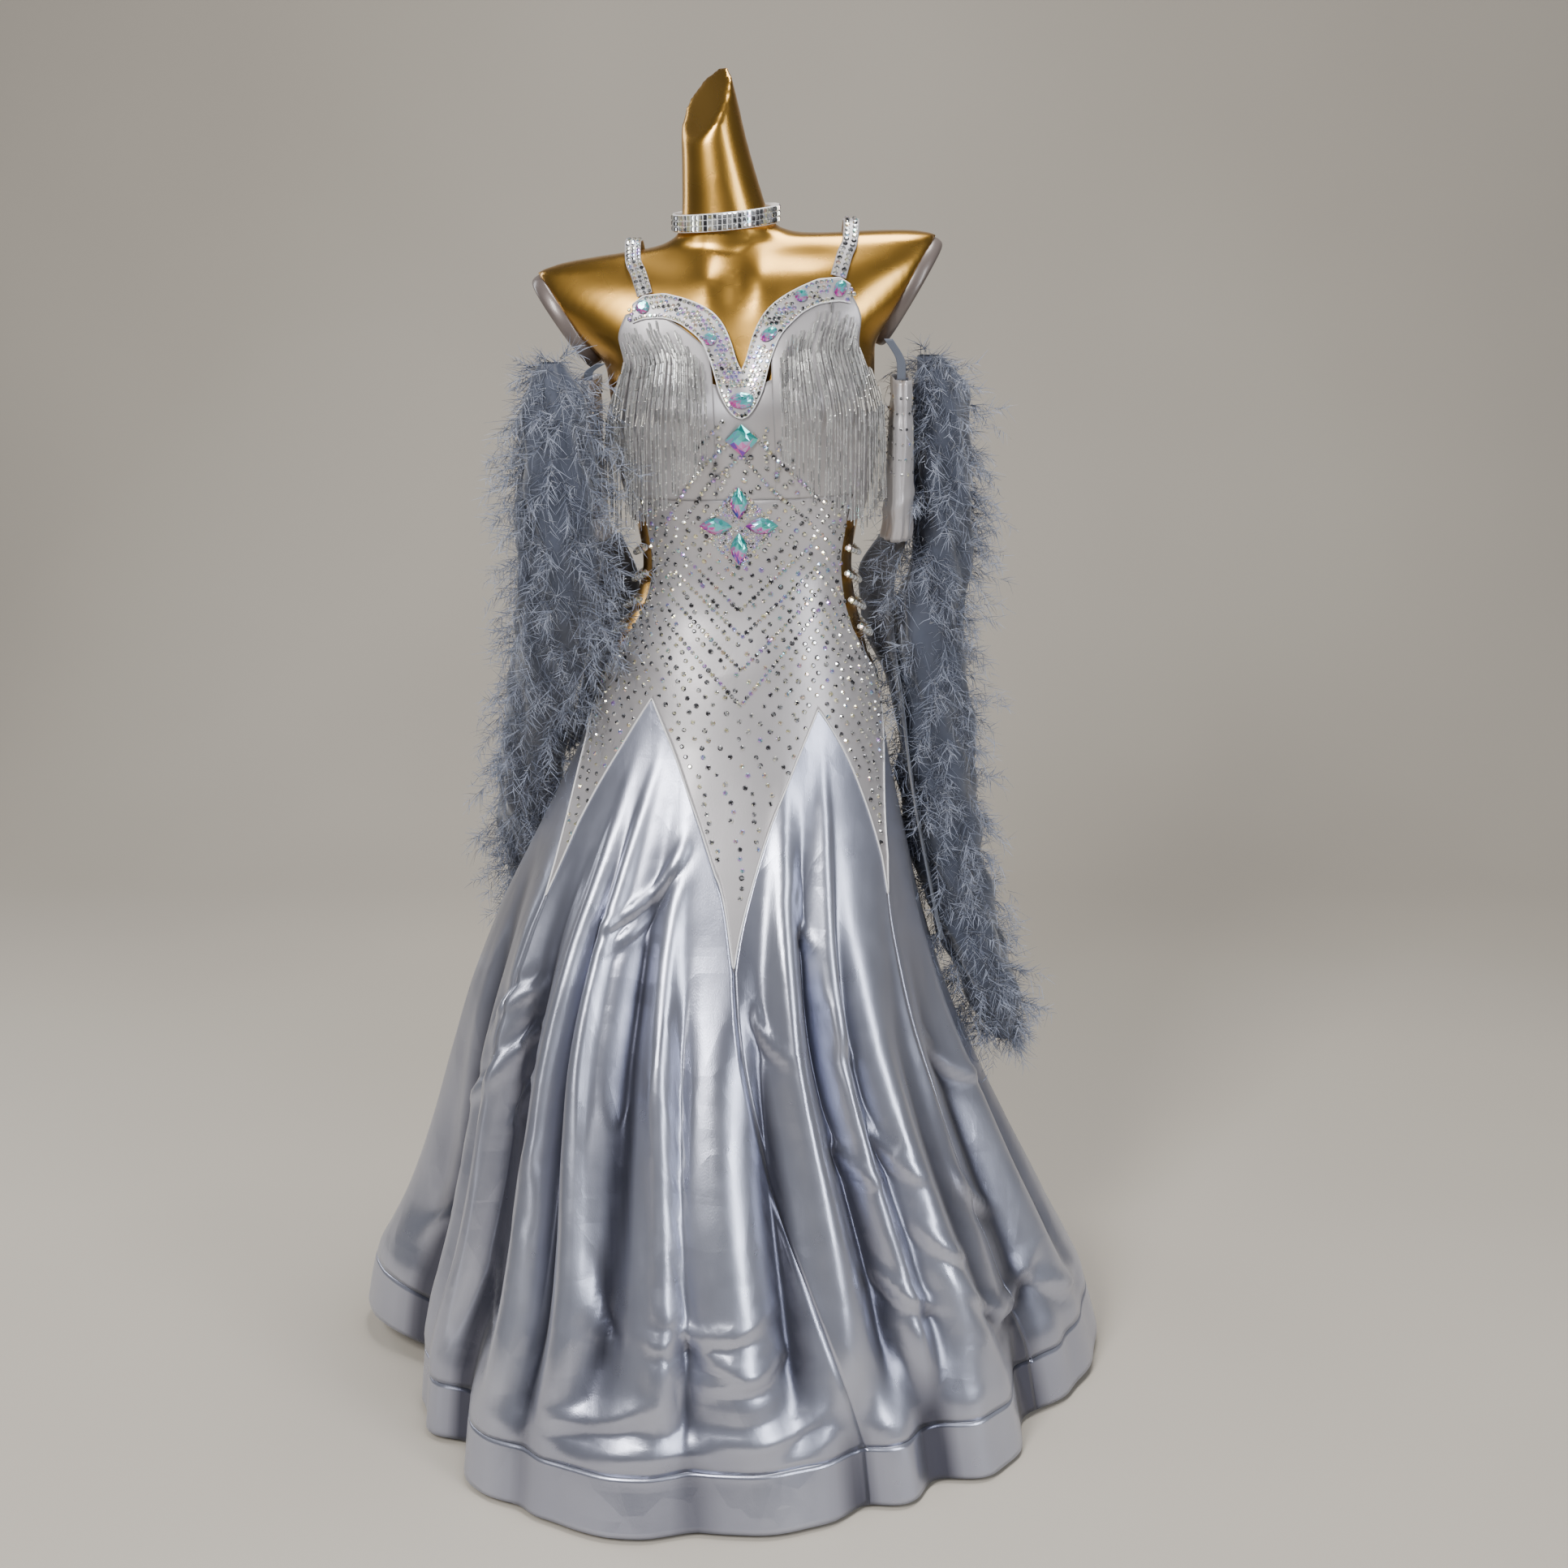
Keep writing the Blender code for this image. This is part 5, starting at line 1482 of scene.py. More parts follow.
@dataclass
class Skirt:
    """Six flared godets, the stiffened bands at their hems and the piping of their seams."""

    shop: Workshop
    seams: Seams
    columns: int = 64
    upper_rows: int = 46
    lower_rows: int = 68
    hem_rows: int = 12
    seam_gap: float = 0.0
    piping_radius: float = 0.0012
    thickness: float = 0.0009

    def grid(self, ends: tuple[Array, Array, Array, Array]) -> ClothGrid:
        """Cloth between the left and the right ends of its rows.

        Args:
            ends: Angles and heights of the left ends, then of the right ends.

        Returns:
            The sheet.
        """
        figure = self.shop.figure
        left_angle, left_height, right_angle, right_height = ends
        share = np.linspace(0, 1, self.columns)[:, None]
        left_angle = left_angle + self.seams.turn_for(self.seam_gap, left_angle, left_height)
        right_angle = right_angle - self.seams.turn_for(self.seam_gap, right_angle, right_height)
        angle = left_angle + (right_angle - left_angle) * share
        height = left_height + (right_height - left_height) * share
        straight = figure.hem(left_angle) + (figure.hem(right_angle) - figure.hem(left_angle)) * share
        height = height + (figure.hem(angle) - straight) * ease(0.60, 0.05, height)
        # the tints are painted shade, low in the folds' troughs and high on the ridges
        return ClothGrid(
            figure.lifted(angle, height, Lift.CLOTH.value)[:, ::-1], False, figure.shade(angle, height)[:, ::-1]
        )

    def godet(self, index: int) -> None:
        """One godet and its hem band."""
        figure, seams = self.shop.figure, self.seams
        tip = seams.godets[index]
        ends = []
        for tongue in seams.neighbours(index):
            shares = np.linspace(0, 1, self.upper_rows) ** 1.15
            shares[0] = 0.012
            angle, height = seams.seam(tip, tongue, shares)
            down = np.linspace(0, 1, self.lower_rows)[1:]
            lower = angle[-1] + seams.drift(tongue, down)
            low = figure.hem(lower[-1:]) + figure.HEM_BAND
            ends.append(np.concatenate((angle, lower)))
            ends.append(np.concatenate((height, height[-1] + (low - height[-1]) * down)))
        grid = self.grid(tuple(ends))
        finishes = self.shop.finishes
        band_ends = []
        for tongue in seams.neighbours(index):
            angle = tip.angle + wrapped(np.array(tongue.angle - tip.angle)) + seams.drift(tongue, np.array(1.0))
            share = np.linspace(1 - 0.0006 / figure.HEM_BAND, 0, self.hem_rows)
            band_ends.append(np.full(self.hem_rows, float(angle)))
            band_ends.append(figure.hem(angle) + figure.HEM_BAND * share)
        self.shop.cloth(
            "hem_" + tip.name,
            self.grid(tuple(band_ends)),
            finishes.skirt,
            Slot.SKIRT_SATIN,
            0.0014,
            rests_on=("godet_" + tip.name + "_cloth",),
        )
        self.shop.cloth(
            "godet_" + tip.name,
            grid,
            finishes.skirt,
            Slot.SKIRT_SATIN,
            self.thickness,
            rests_on=("front_panel_cloth",) if tip.name.startswith("front") else ("back_panel_cloth",),
        )

    def piping(self) -> None:
        """White piping down both edges of every godet, to the tongues' tips."""
        paths = []
        for index, tip in enumerate(self.seams.godets):
            for tongue in self.seams.neighbours(index):
                shares = np.linspace(0.0, 0.985, 90)
                angle, height = self.seams.seam(tip, tongue, shares)
                paths.append(self.shop.figure.lifted(angle, height, Lift.CLOTH.value + 0.0010))
        obj = Tube.join("seam_piping", paths, self.piping_radius, self.shop.finishes.piping, 6)
        self.shop.keep(obj, Slot.STONED_BAND)

    def build(self) -> None:
        """Everything of the skirt."""
        for index in range(len(self.seams.godets)):
            self.godet(index)
        self.piping()


@dataclass
class Bodice:
    """Front and back panels with their tongues, gore, cups and wings."""

    shop: Workshop
    seams: Seams
    seam_shares: int = 44
    rows: int = 46
    thickness: float = 0.0010
    front_top: tuple[tuple[float, float], ...] = (
        (0.0, 1.1305),
        (57.0, 1.1305),
        (57.5, 1.060),
        (59.5, 1.000),
        (63.0, 0.966),
        (69.0, 0.944),
        (78.0, 0.922),
        (91.0, 0.908),
    )
    back_top: tuple[tuple[float, float], ...] = (
        (0.0, 1.216),
        (38.0, 1.216),
        (46.0, 1.200),
        (46.5, 1.060),
        (48.5, 1.000),
        (53.0, 0.966),
        (62.0, 0.940),
        (75.0, 0.920),
        (91.0, 0.908),
    )
    cup_rows: tuple[tuple[float, float, float, float], ...] = (
        (11.0, 1.1275, 9.8, 1.296),
        (20.0, 1.1275, 16.0, 1.324),
        (29.0, 1.1275, 21.5, 1.341),
        (38.0, 1.1275, 27.0, 1.347),
        (47.0, 1.1275, 33.0, 1.343),
        (57.0, 1.1275, 42.0, 1.318),
        (68.0, 1.1275, 56.0, 1.270),
        (79.5, 1.1275, 79.0, 1.217),
    )
    gore_rows: tuple[tuple[float, float, float, float], ...] = (
        (-13.0, 1.1270, -12.0, 1.262),
        (0.0, 1.1270, 0.0, 1.250),
        (13.0, 1.1270, 12.0, 1.262),
    )
    wing_rows: tuple[tuple[float, float, float, float], ...] = (
        (57.4, 1.0970, 57.4, 1.1290),
        (68.0, 1.0960, 68.0, 1.1290),
        (79.6, 1.0960, 79.6, 1.1290),
        (80.0, 1.0960, 80.0, 1.2160),
        (93.0, 1.0960, 93.0, 1.2080),
        (106.0, 1.0960, 106.0, 1.2020),
        (120.0, 1.0970, 120.0, 1.2000),
        (133.5, 1.0980, 133.5, 1.2000),
    )

    def bottom(self, middle: float) -> tuple[Array, Array]:
        """The zigzag lower edge of the panel round a middle angle."""
        edge: dict[float, float] = {}
        for index, tip in enumerate(self.seams.godets):
            for tongue in self.seams.neighbours(index):
                if abs(float(wrapped(np.array(tongue.angle - middle)))) > 100 - 25:
                    continue
                angle, height = self.seams.seam(tip, tongue, np.linspace(0, 1, self.seam_shares))
                angle = middle + wrapped(angle - middle)
                edge.update({round(float(a), 4): float(h) for a, h in zip(angle, height)})
        angles = np.array(sorted(edge))
        return angles, np.array([edge[a] for a in angles])

    def panel_heights(self, middle: float, angles: Array) -> tuple[Array, Array]:
        """Lower and upper edge of a panel at each angle."""
        edge_angles, edge_heights = self.bottom(middle)
        top = np.array(self.front_top if middle == 0 else self.back_top)
        low = np.interp(angles, edge_angles, edge_heights)
        return low, np.interp(np.abs(angles - middle), top[:, 0], top[:, 1])

    def panel(self, name: str, middle: float) -> None:
        """The front or the back panel."""
        figure = self.shop.figure
        edge_angles, _ = self.bottom(middle)
        inset = float(self.seams.turn_for(0.00035, edge_angles[:1], np.array([0.9]))[0])
        first, last = edge_angles[0] + inset, edge_angles[-1] - inset
        top = self.front_top if middle == 0 else self.back_top
        keys = middle + np.array([sign * row[0] for row in top for sign in (-1, 1) if row[0] < 91])
        angles = np.unique(np.round(np.concatenate((edge_angles, keys, np.arange(first, last, 1.3))), 4))
        angles = np.unique(np.clip(angles, first, last))
        low, high = self.panel_heights(middle, angles)
        share = np.linspace(0, 1, self.rows)[None, :]
        height = low[:, None] + (high - low)[:, None] * share
        grid = ClothGrid(figure.lifted(angles[:, None], height, Lift.CLOTH.value))
        hips = figure.cloth(angles, np.full(len(angles), 0.89))
        width = float(np.linalg.norm(np.diff(hips, axis=0), axis=-1).sum())
        self.shop.cloth(
            name,
            grid,
            self.shop.finishes.satin,
            Slot.STRETCH_SATIN,
            self.thickness,
            "stretched",
            ("dress_form",),
            (round(width, 4), round(float(high.max() - low.min()) + 0.01, 4)),
        )

    def shaped(self, rows: Sequence[Sequence[float]], side: int, columns: int, count: int, lift: Lift) -> ClothGrid:
        """A piece given by the lower and upper ends of its columns.

        Args:
            rows: Angle and height of each column's lower end, then of its upper end.
            side: 1, or -1 for the mirrored piece.
            columns: Number of columns.
            count: Number of points in a column.
            lift: Its layer.

        Returns:
            The sheet.
        """
        table = np.array(rows)
        places = np.arange(len(table))
        where = np.linspace(0, len(table) - 1, columns)
        low_angle, low, high_angle, high = (np.interp(where, places, table[:, k]) for k in range(4))
        if side < 0:
            low_angle, low, high_angle, high = -low_angle[::-1], low[::-1], -high_angle[::-1], high[::-1]
        share = np.linspace(0, 1, count)[None, :]
        angle = low_angle[:, None] + (high_angle - low_angle)[:, None] * share
        height = low[:, None] + (high - low)[:, None] * share
        return ClothGrid(self.shop.figure.lifted(angle, height, lift.value))

    def build(self) -> None:
        """Every piece of the bodice."""
        satin, slot = self.shop.finishes.satin, Slot.STRETCH_SATIN
        self.panel("front_panel", 0)
        self.panel("back_panel", 180)
        gore = self.shaped(self.gore_rows, 1, 24, 30, Lift.GORE)
        self.shop.cloth("centre_gore", gore, satin, slot, self.thickness, "stretched", ("dress_form",))
        for side in Side:
            cup = self.shaped(self.cup_rows, side.value, 71, 56, Lift.CUP)
            self.shop.cloth("cup_" + side.label, cup, satin, slot, self.thickness, "stretched", ("dress_form",))
            wing = self.shaped(self.wing_rows, side.value, 141, 16, Lift.CUP)
            self.shop.cloth("wing_" + side.label, wing, satin, slot, self.thickness, "stretched", ("dress_form",))


@dataclass
class StoneWork:
    """Rhinestones on the bodice: chevrons, peaks, a diamond and a scatter over the rest."""

    shop: Workshop
    bodice: Bodice
    line_pitch: float = 0.0066
    line_size: float = 0.0058
    scatter_size: float = 0.0060
    # Lines as points across and up on the front.
    lines: tuple[tuple[tuple[float, float], ...], ...] = (
        ((-0.069, 1.068), (0.003, 0.996), (0.087, 1.073)),
        ((-0.073, 1.041), (0.006, 0.966), (0.097, 1.050)),
        ((-0.080, 1.013), (0.005, 0.928), (0.097, 1.019)),
        ((-0.085, 0.984), (0.004, 0.888), (0.096, 0.996)),
        ((-0.014, 1.221), (-0.047, 1.190)),
        ((-0.007, 1.197), (-0.038, 1.168), (-0.058, 1.138), (-0.082, 1.094)),
        ((0.019, 1.206), (0.052, 1.172), (0.078, 1.145), (0.096, 1.123)),
        ((-0.050, 1.115), (-0.032, 1.145), (-0.011, 1.164), (0.007, 1.180)),
        ((0.007, 1.180), (0.037, 1.144), (0.080, 1.103), (0.113, 1.065)),
        ((0.002, 1.142), (0.046, 1.094), (0.001, 1.046), (-0.041, 1.091), (0.002, 1.142)),
    )

    def on_cloth(self, x: Array, z: Array) -> tuple[Array, Array]:
        """Angle and height of places given across and up on the front."""
        height = self.shop.figure.unrolled_height(x, z)
        return self.shop.figure.angle_at(x, height), height

    def line_places(self) -> tuple[Array, Array]:
        """Angles and heights of the stones in the lines."""
        angles, heights = [], []
        for line in self.lines:
            places, _ = evenly(np.array(line), self.line_pitch)
            angle, height = self.on_cloth(places[:, 0], places[:, 1])
            angles.append(angle)
            heights.append(height)
        return np.concatenate(angles), np.concatenate(heights)

    def scatter_places(self, middle: float) -> tuple[Array, Array]:
        """Staggered rows of stones over a panel, wider apart towards the tongues' tips."""
        random = np.random.default_rng(31 + int(middle))
        angles, heights = [], []
        height, row = 0.615, 0
        while height < 1.215:
            pitch = 0.0165 - 0.0045 * float(ease(0.80, 1.0, np.array(height)))
            radius = float(np.linalg.norm(self.shop.figure.cloth(np.array(middle + 12.0), np.array(height))[:2]))
            step = math.degrees(pitch / max(radius, 0.09))
            angle = np.arange(middle - 92, middle + 92, step) + (row % 2) * step / 2
            angle = angle + random.normal(0, 0.10 * step, len(angle))
            angles.append(angle)
            heights.append(height + random.normal(0, 0.0011, len(angle)))
            height += pitch * 0.62
            row += 1
        angle, height = np.concatenate(angles), np.concatenate(heights)
        low, high = self.bodice.panel_heights(middle, angle)
        margin = 0.008 + 0.010 * ease(0.80, 0.65, height)
        keep = (height > low + margin) & (height < high - 0.004)
        if middle == 0:
            reach = 27 - 210 * (height - 1.13)
            gore = (np.abs(angle) < np.maximum(reach, 9.5)) & (height < 1.215) & (height > high + 0.001)
            keep |= gore
        return angle[keep], height[keep]

    def place(
        self, cluster: Cluster, angle: Array, height: Array, size: float, plain: float, lift: float = 0.0038
    ) -> None:
        """Adds stones flat on the cloth."""
        figure = self.shop.figure
        outward = figure.normal(figure.cloth, angle, height, (0.4, 0.002))
        over = np.where(np.abs(angle) < 9.0, 0.0016, 0.0026) * (height > 1.1262)
        origins = figure.cloth(angle, height) + outward * (lift + over)[:, None]
        scale = size * cluster.random.uniform(0.86, 1.12, len(angle))[:, None] * np.ones(3)
        spin = stack(
            cluster.random.normal(0, 0.6, len(angle)), np.zeros(len(angle)), np.ones(len(angle))
        )
        cluster.add(ROUND_STONE, origins, frames(outward, spin), scale, cluster.tint(len(angle), plain), 0.24)

    def build(self) -> None:
        """Lines, scatter and the fill of the diamond."""
        figure = self.shop.figure
        lines = Cluster(5)
        angle, height = self.line_places()
        self.place(lines, angle, height, self.line_size, 0.50)
        self.fill_diamond(lines)
        taken = figure.cloth(angle, height)
        for middle, name in ((0.0, "front"), (180.0, "back")):
            cluster = lines if middle == 0 else Cluster(6)
            places = self.scatter_places(middle)
            points = figure.cloth(*places)
            clear = np.ones(len(points), bool)
            if middle == 0:
                nearest = np.array([np.linalg.norm(taken - point, axis=1).min() for point in points])
                world_x, world_z = points[:, 0], points[:, 2]
                diamond = np.abs(world_x - 0.002) / 0.047 + np.abs(world_z - 1.094) / 0.052 < 1.0
                square = np.hypot(world_x - 0.007, world_z - 1.1985) < 0.022
                clear = (nearest > 0.0060) & ~diamond & ~square & (points[:, 1] < 0)
            self.place(cluster, places[0][clear], places[1][clear], self.scatter_size, 0.82)
            obj = cluster.build(f"stones_{name}", self.shop.finishes.stones)
            self.shop.keep(obj, Slot.CRYSTAL)

    def fill_diamond(self, cluster: Cluster) -> None:
        """Tiny stones packed round the four large ones."""
        x, z = np.meshgrid(np.arange(-0.044, 0.050, 0.0042), np.arange(1.046, 1.143, 0.0037))
        x = x + (np.arange(len(z)) % 2)[:, None] * 0.0021
        x, z = x.ravel(), z.ravel()
        inside = np.abs(x - 0.002) / 0.043 + np.abs(z - 1.094) / 0.046 < 0.97
        across, up = np.abs(x - 0.001), np.abs(z - 1.098)
        upright = (across < 0.011 * (1 - np.abs(up - 0.030) / 0.022)) & (np.abs(up - 0.030) < 0.021)
        level = (up < 0.011 * (1 - np.abs(across - 0.023) / 0.022)) & (np.abs(across - 0.023) < 0.021)
        keep = inside & ~upright & ~level
        angle, height = self.on_cloth(x[keep], z[keep])
        self.place(cluster, angle, height, 0.0034, 0.35)


# Trimmings.


@dataclass
class BeadFringe:
    """Strands of bugle beads that spread over a cup and hang below it."""

    shop: Workshop
    side: Side
    bugle_length: float = 0.0115
    bugle_width: float = 0.0024
    layers: tuple[tuple[int, float, float], ...] = ((30, 0.0, 0.0004), (25, 0.08, 0.0024))
    columns: tuple[tuple[float, float, float, float], ...] = (
        (14.0, 1.172, 12.5, 1.288),
        (20.0, 1.150, 17.0, 1.316),
        (27.0, 1.128, 22.0, 1.332),
        (35.0, 1.108, 27.0, 1.338),
        (44.0, 1.094, 32.0, 1.336),
        (54.0, 1.088, 38.5, 1.322),
        (65.0, 1.104, 48.0, 1.290),
        (73.0, 1.134, 66.0, 1.236),
    )

    def strand(self, column: float, start: float, lift: float, trim: float) -> Array:
        """A strand's path from its sewn end down.

        Args:
            column: Which column of the table it follows, with a fraction.
            start: Share of the column's length above its sewn end.
            lift: How far it stands off the layer below.
            trim: How much shorter it is than the column.

        Returns:
            Points of the path.
        """
        table, places = np.array(self.columns), np.arange(len(self.columns))
        low_angle, low, high_angle, high = (np.interp(column, places, table[:, k]) for k in range(4))
        share = np.linspace(start, 1 - trim, 60)
        height = high + (low - high) * share
        spread = np.clip((high - height) / max(high - 1.222, 0.004), 0, 1)
        angle = high_angle + (low_angle - high_angle) * spread**0.8
        figure = self.shop.figure
        stand = Lift.FRINGE.value - 0.0012 + lift + 0.0030 * ease(0.2, 0.6, share)
        outward = figure.normal(figure.fringe, self.side.value * angle, height, (0.4, 0.002))
        return figure.fringe(self.side.value * angle, height) + outward * stand[:, None]

    def build(self) -> None:
        """Every strand, merged."""
        cluster = Cluster(40 + self.side.value)
        random = cluster.random
        for count, start, lift in self.layers:
            for i in range(count):
                column = (i + random.uniform(0.15, 0.85)) / count * (len(self.columns) - 1)
                begin = float(np.clip(start + random.uniform(0.0, 0.12), 0, 0.6))
                path = self.strand(column, begin, lift + random.uniform(0, 0.0012), random.uniform(-0.02, 0.10))
                sway = np.linspace(0, 1, len(path))[:, None] ** 2
                path = path + sway * np.array((random.normal(0, 0.0016), 0, 0))
                places, ahead = evenly(path, self.bugle_length + 0.0019)
                turn = ahead + random.normal(0, 0.012, ahead.shape)
                axes = frames(turn, np.array((0.2, -1.0, 0.1)))
                tints = np.clip(random.normal(0.60, 0.34, len(places)), 0, 1)
                wide = self.bugle_width * (1 - 0.35 * ease(0.25, 0.6, np.linspace(0, 1, len(places))))
                sizes = stack(wide, wide, np.full(len(places), self.bugle_length))
                cluster.add(BUGLE, places, axes, sizes, tints, 0.30)
                seeds = places + ahead * (self.bugle_length / 2 + 0.0009)
                seed_sizes = np.array((0.0019, 0.0019, 0.0016))
                cluster.add(SEED_BEAD, seeds, axes, seed_sizes, np.clip(tints + 0.2, 0, 1), 0.2)
        obj = cluster.build("bead_fringe_" + self.side.label, self.shop.finishes.bugles)
        self.shop.keep(obj, Slot.BUGLE_BEADS, "fringe_" + self.side.label)


@dataclass
class NecklineBand:
    """Sweetheart band with a deep tongue, edged with white piping and packed with stones."""

    shop: Workshop
    thickness: float = 0.0012
    stone: float = 0.0054
    # Distance from the centre line, lower and upper edge.
    rows: tuple[tuple[float, float, float], ...] = (
        (0.000, 1.2215, 1.2700),
        (0.006, 1.2230, 1.2820),
        (0.012, 1.2270, 1.3010),
        (0.019, 1.2350, 1.3180),
        (0.027, 1.2500, 1.3300),
        (0.035, 1.2820, 1.3375),
        (0.044, 1.3040, 1.3435),
        (0.056, 1.3170, 1.3495),
        (0.072, 1.3290, 1.3555),
        (0.090, 1.3350, 1.3600),
        (0.107, 1.3360, 1.3600),
        (0.122, 1.3330, 1.3520),
    )

    def edges(self, x: Array) -> tuple[Array, Array]:
        """Lower and upper edge at each place across."""
        low, high = Table(self.rows).at(np.abs(x - self.shop.figure.CENTRE_LINE))
        return low, high

    def build(self) -> None:
        """Band, piping and stones."""
        figure, finishes = self.shop.figure, self.shop.finishes
        x = figure.CENTRE_LINE + np.linspace(-0.122, 0.122, 171)
        low, high = self.edges(x)
        share = np.linspace(0, 1, 12)[None, :]
        height = low[:, None] + (high - low)[:, None] * share
        grid = ClothGrid(figure.front_lifted(x[:, None], height, Lift.BAND.value))
        rims = [figure.front_lifted(x, edge, Lift.BAND.value + 0.0004) for edge in (low, high)]
        self.shop.cloth(
            "neckline_band", grid, finishes.satin, Slot.STONED_BAND, self.thickness,
            "hung", ("dress_form",), (0.360, 0.050)
        )
        self.shop.keep(Tube.join("neckline_piping", rims, 0.0009, finishes.piping), Slot.STONED_BAND)
        self.build_stones()

    def build_stones(self) -> None:
        """A row along each edge and a close fill between them."""
        figure = self.shop.figure
        cluster = Cluster(12)
        x = figure.CENTRE_LINE + np.linspace(-0.120, 0.120, 400)
        low, high = self.edges(x)
        taken: list[Array] = []
        for edge, sign in ((low, 1), (high, -1)):
            path = np.stack((x, edge), axis=-1)
            slope = unit(np.gradient(path, axis=0))
            inward = np.stack((-slope[:, 1], slope[:, 0]), axis=-1) * sign
            places, _ = evenly(path + inward * 0.0024, self.stone * 1.02)
            taken.extend(places)
        grid_x, grid_h = np.meshgrid(np.arange(-0.118, 0.132, 0.0055), np.arange(1.222, 1.362, 0.0048))
        grid_x = grid_x + (np.arange(len(grid_h)) % 2)[:, None] * 0.00275
        for place in np.stack((grid_x.ravel(), grid_h.ravel()), axis=-1):
            below, above = self.edges(place[:1])
            if below[0] + 0.004 < place[1] < above[0] - 0.004:
                if np.linalg.norm(np.array(taken) - place, axis=1).min() > self.stone * 0.93:
                    taken.append(place)
        places = np.array(taken)
        for stone in SetStones.ROWS:
            if stone.name.startswith("band"):
                far = np.hypot(places[:, 0] - stone.x, places[:, 1] - stone.height)
                places = places[far > stone.half_long + 0.0012]
        outward = figure.normal(figure.front, places[:, 0], places[:, 1], (0.001, 0.001))
        origins = figure.front(places[:, 0], places[:, 1]) + outward * (Lift.BAND.value + 0.0005)
        sizes = self.stone * cluster.random.uniform(0.90, 1.05, len(places))[:, None] * np.ones(3)
        axes = frames(outward, np.array((0.1, 0.0, 1.0)))
        violet = bell(places[:, 0] + 0.022, 0.022) * (cluster.random.random(len(places)) < 0.6)
        tints = np.clip(cluster.tint(len(places), 0.50) + 0.5 * violet, 0, 1)
        cluster.add(ROUND_STONE, origins, axes, sizes, tints, 0.28)
        self.shop.keep(cluster.build("neckline_stones", self.shop.finishes.stones), Slot.CRYSTAL)


@dataclass
class Strap:
    """A stoned shoulder strap over the form's shoulder."""

    shop: Workshop
    side: Side
    width: float = 0.018
    thickness: float = 0.0022
    lift: float = 0.0030
    shoulder_top: float = 1.4115
    front: tuple[tuple[float, float], ...] = ((0.1090, 1.3625), (0.1120, 1.3720), (0.1170, 1.3860), (0.1230, 1.3990))
    top: tuple[tuple[float, float], ...] = ((-0.026, 0.0080), (-0.010, 0.0120), (0.010, 0.0120), (0.030, 0.0080))
    back: tuple[tuple[float, float], ...] = (
        (0.1230, 1.3990),
        (0.1200, 1.3800),
        (0.1120, 1.3400),
        (0.1000, 1.2950),
        (0.0860, 1.2480),
        (0.0760, 1.2215),
    )

    def route(self) -> tuple[Array, Array]:
        """The strap's middle and the directions that face away from the form."""
        figure, side = self.shop.figure, self.side.value
        spots, outwards = [], []
        for rows, surface, lifted in (
            (self.front, figure.front, figure.front_lifted),
            (self.top, None, None),
            (self.back, figure.back, figure.back_lifted),
        ):
            for first, second in rows:
                if surface is None:
                    x = np.array(figure.CENTRE_LINE + side * (self.front[-1][0] + 0.002))
                    spots.append(figure.rolled(x, np.array(first), np.array(self.shoulder_top + second)))
                    outwards.append(unit(np.array((0, first * 8, 1))))
                else:
                    x = np.array(figure.CENTRE_LINE + side * first)
                    spots.append(lifted(x, np.array(second), self.lift))
                    outwards.append(unit(spots[-1] - surface(x, np.array(second))))
        return smooth_route(np.array(spots), 10), unit(smooth_route(np.array(outwards), 10))

    def build(self) -> None:
        """The strap and its rows of stones."""
        route, outward = self.route()
        ahead = unit(np.gradient(route, axis=0))
        across = unit(np.cross(ahead, outward))
        lift = unit(np.cross(across, ahead))
        lift = np.where((lift * outward).sum(axis=-1, keepdims=True) < 0, -lift, lift)
        middle = route + lift * (self.thickness / 2)
        shares = np.linspace(-1, 1, 9)
        bow = 0.0005 * (1 - shares**2)
        grid = middle[None] + across[None] * (shares * self.width / 2)[:, None, None] + lift[None] * bow[:, None, None]
        finishes = self.shop.finishes
        name = "strap_" + self.side.label
        self.shop.cloth(
            name, ClothGrid(grid), finishes.satin, Slot.STONED_BAND, 0.0016,
            "hung", ("dress_form", "neckline_band_cloth")
        )
        cluster = Cluster(22 + self.side.value)
        columns = (-0.30, 0.02, 0.34) if self.side is Side.LEFT else (-0.24, 0.24)
        size = 0.0050 if self.side is Side.LEFT else 0.0062
        for share in columns:
            path = middle + across * share * self.width + lift * 0.0010
            places, _ = evenly(path, size * 1.05)
            index = np.linalg.norm(path[None] - places[:, None], axis=-1).argmin(axis=1)
            axes = frames(lift[index], ahead[index])
            tints = cluster.tint(len(places), 0.72)
            cluster.add(ROUND_STONE, places, axes, np.full(3, size), tints, 0.18)
        self.shop.keep(cluster.build(name + "_stones", finishes.stones), Slot.CRYSTAL)


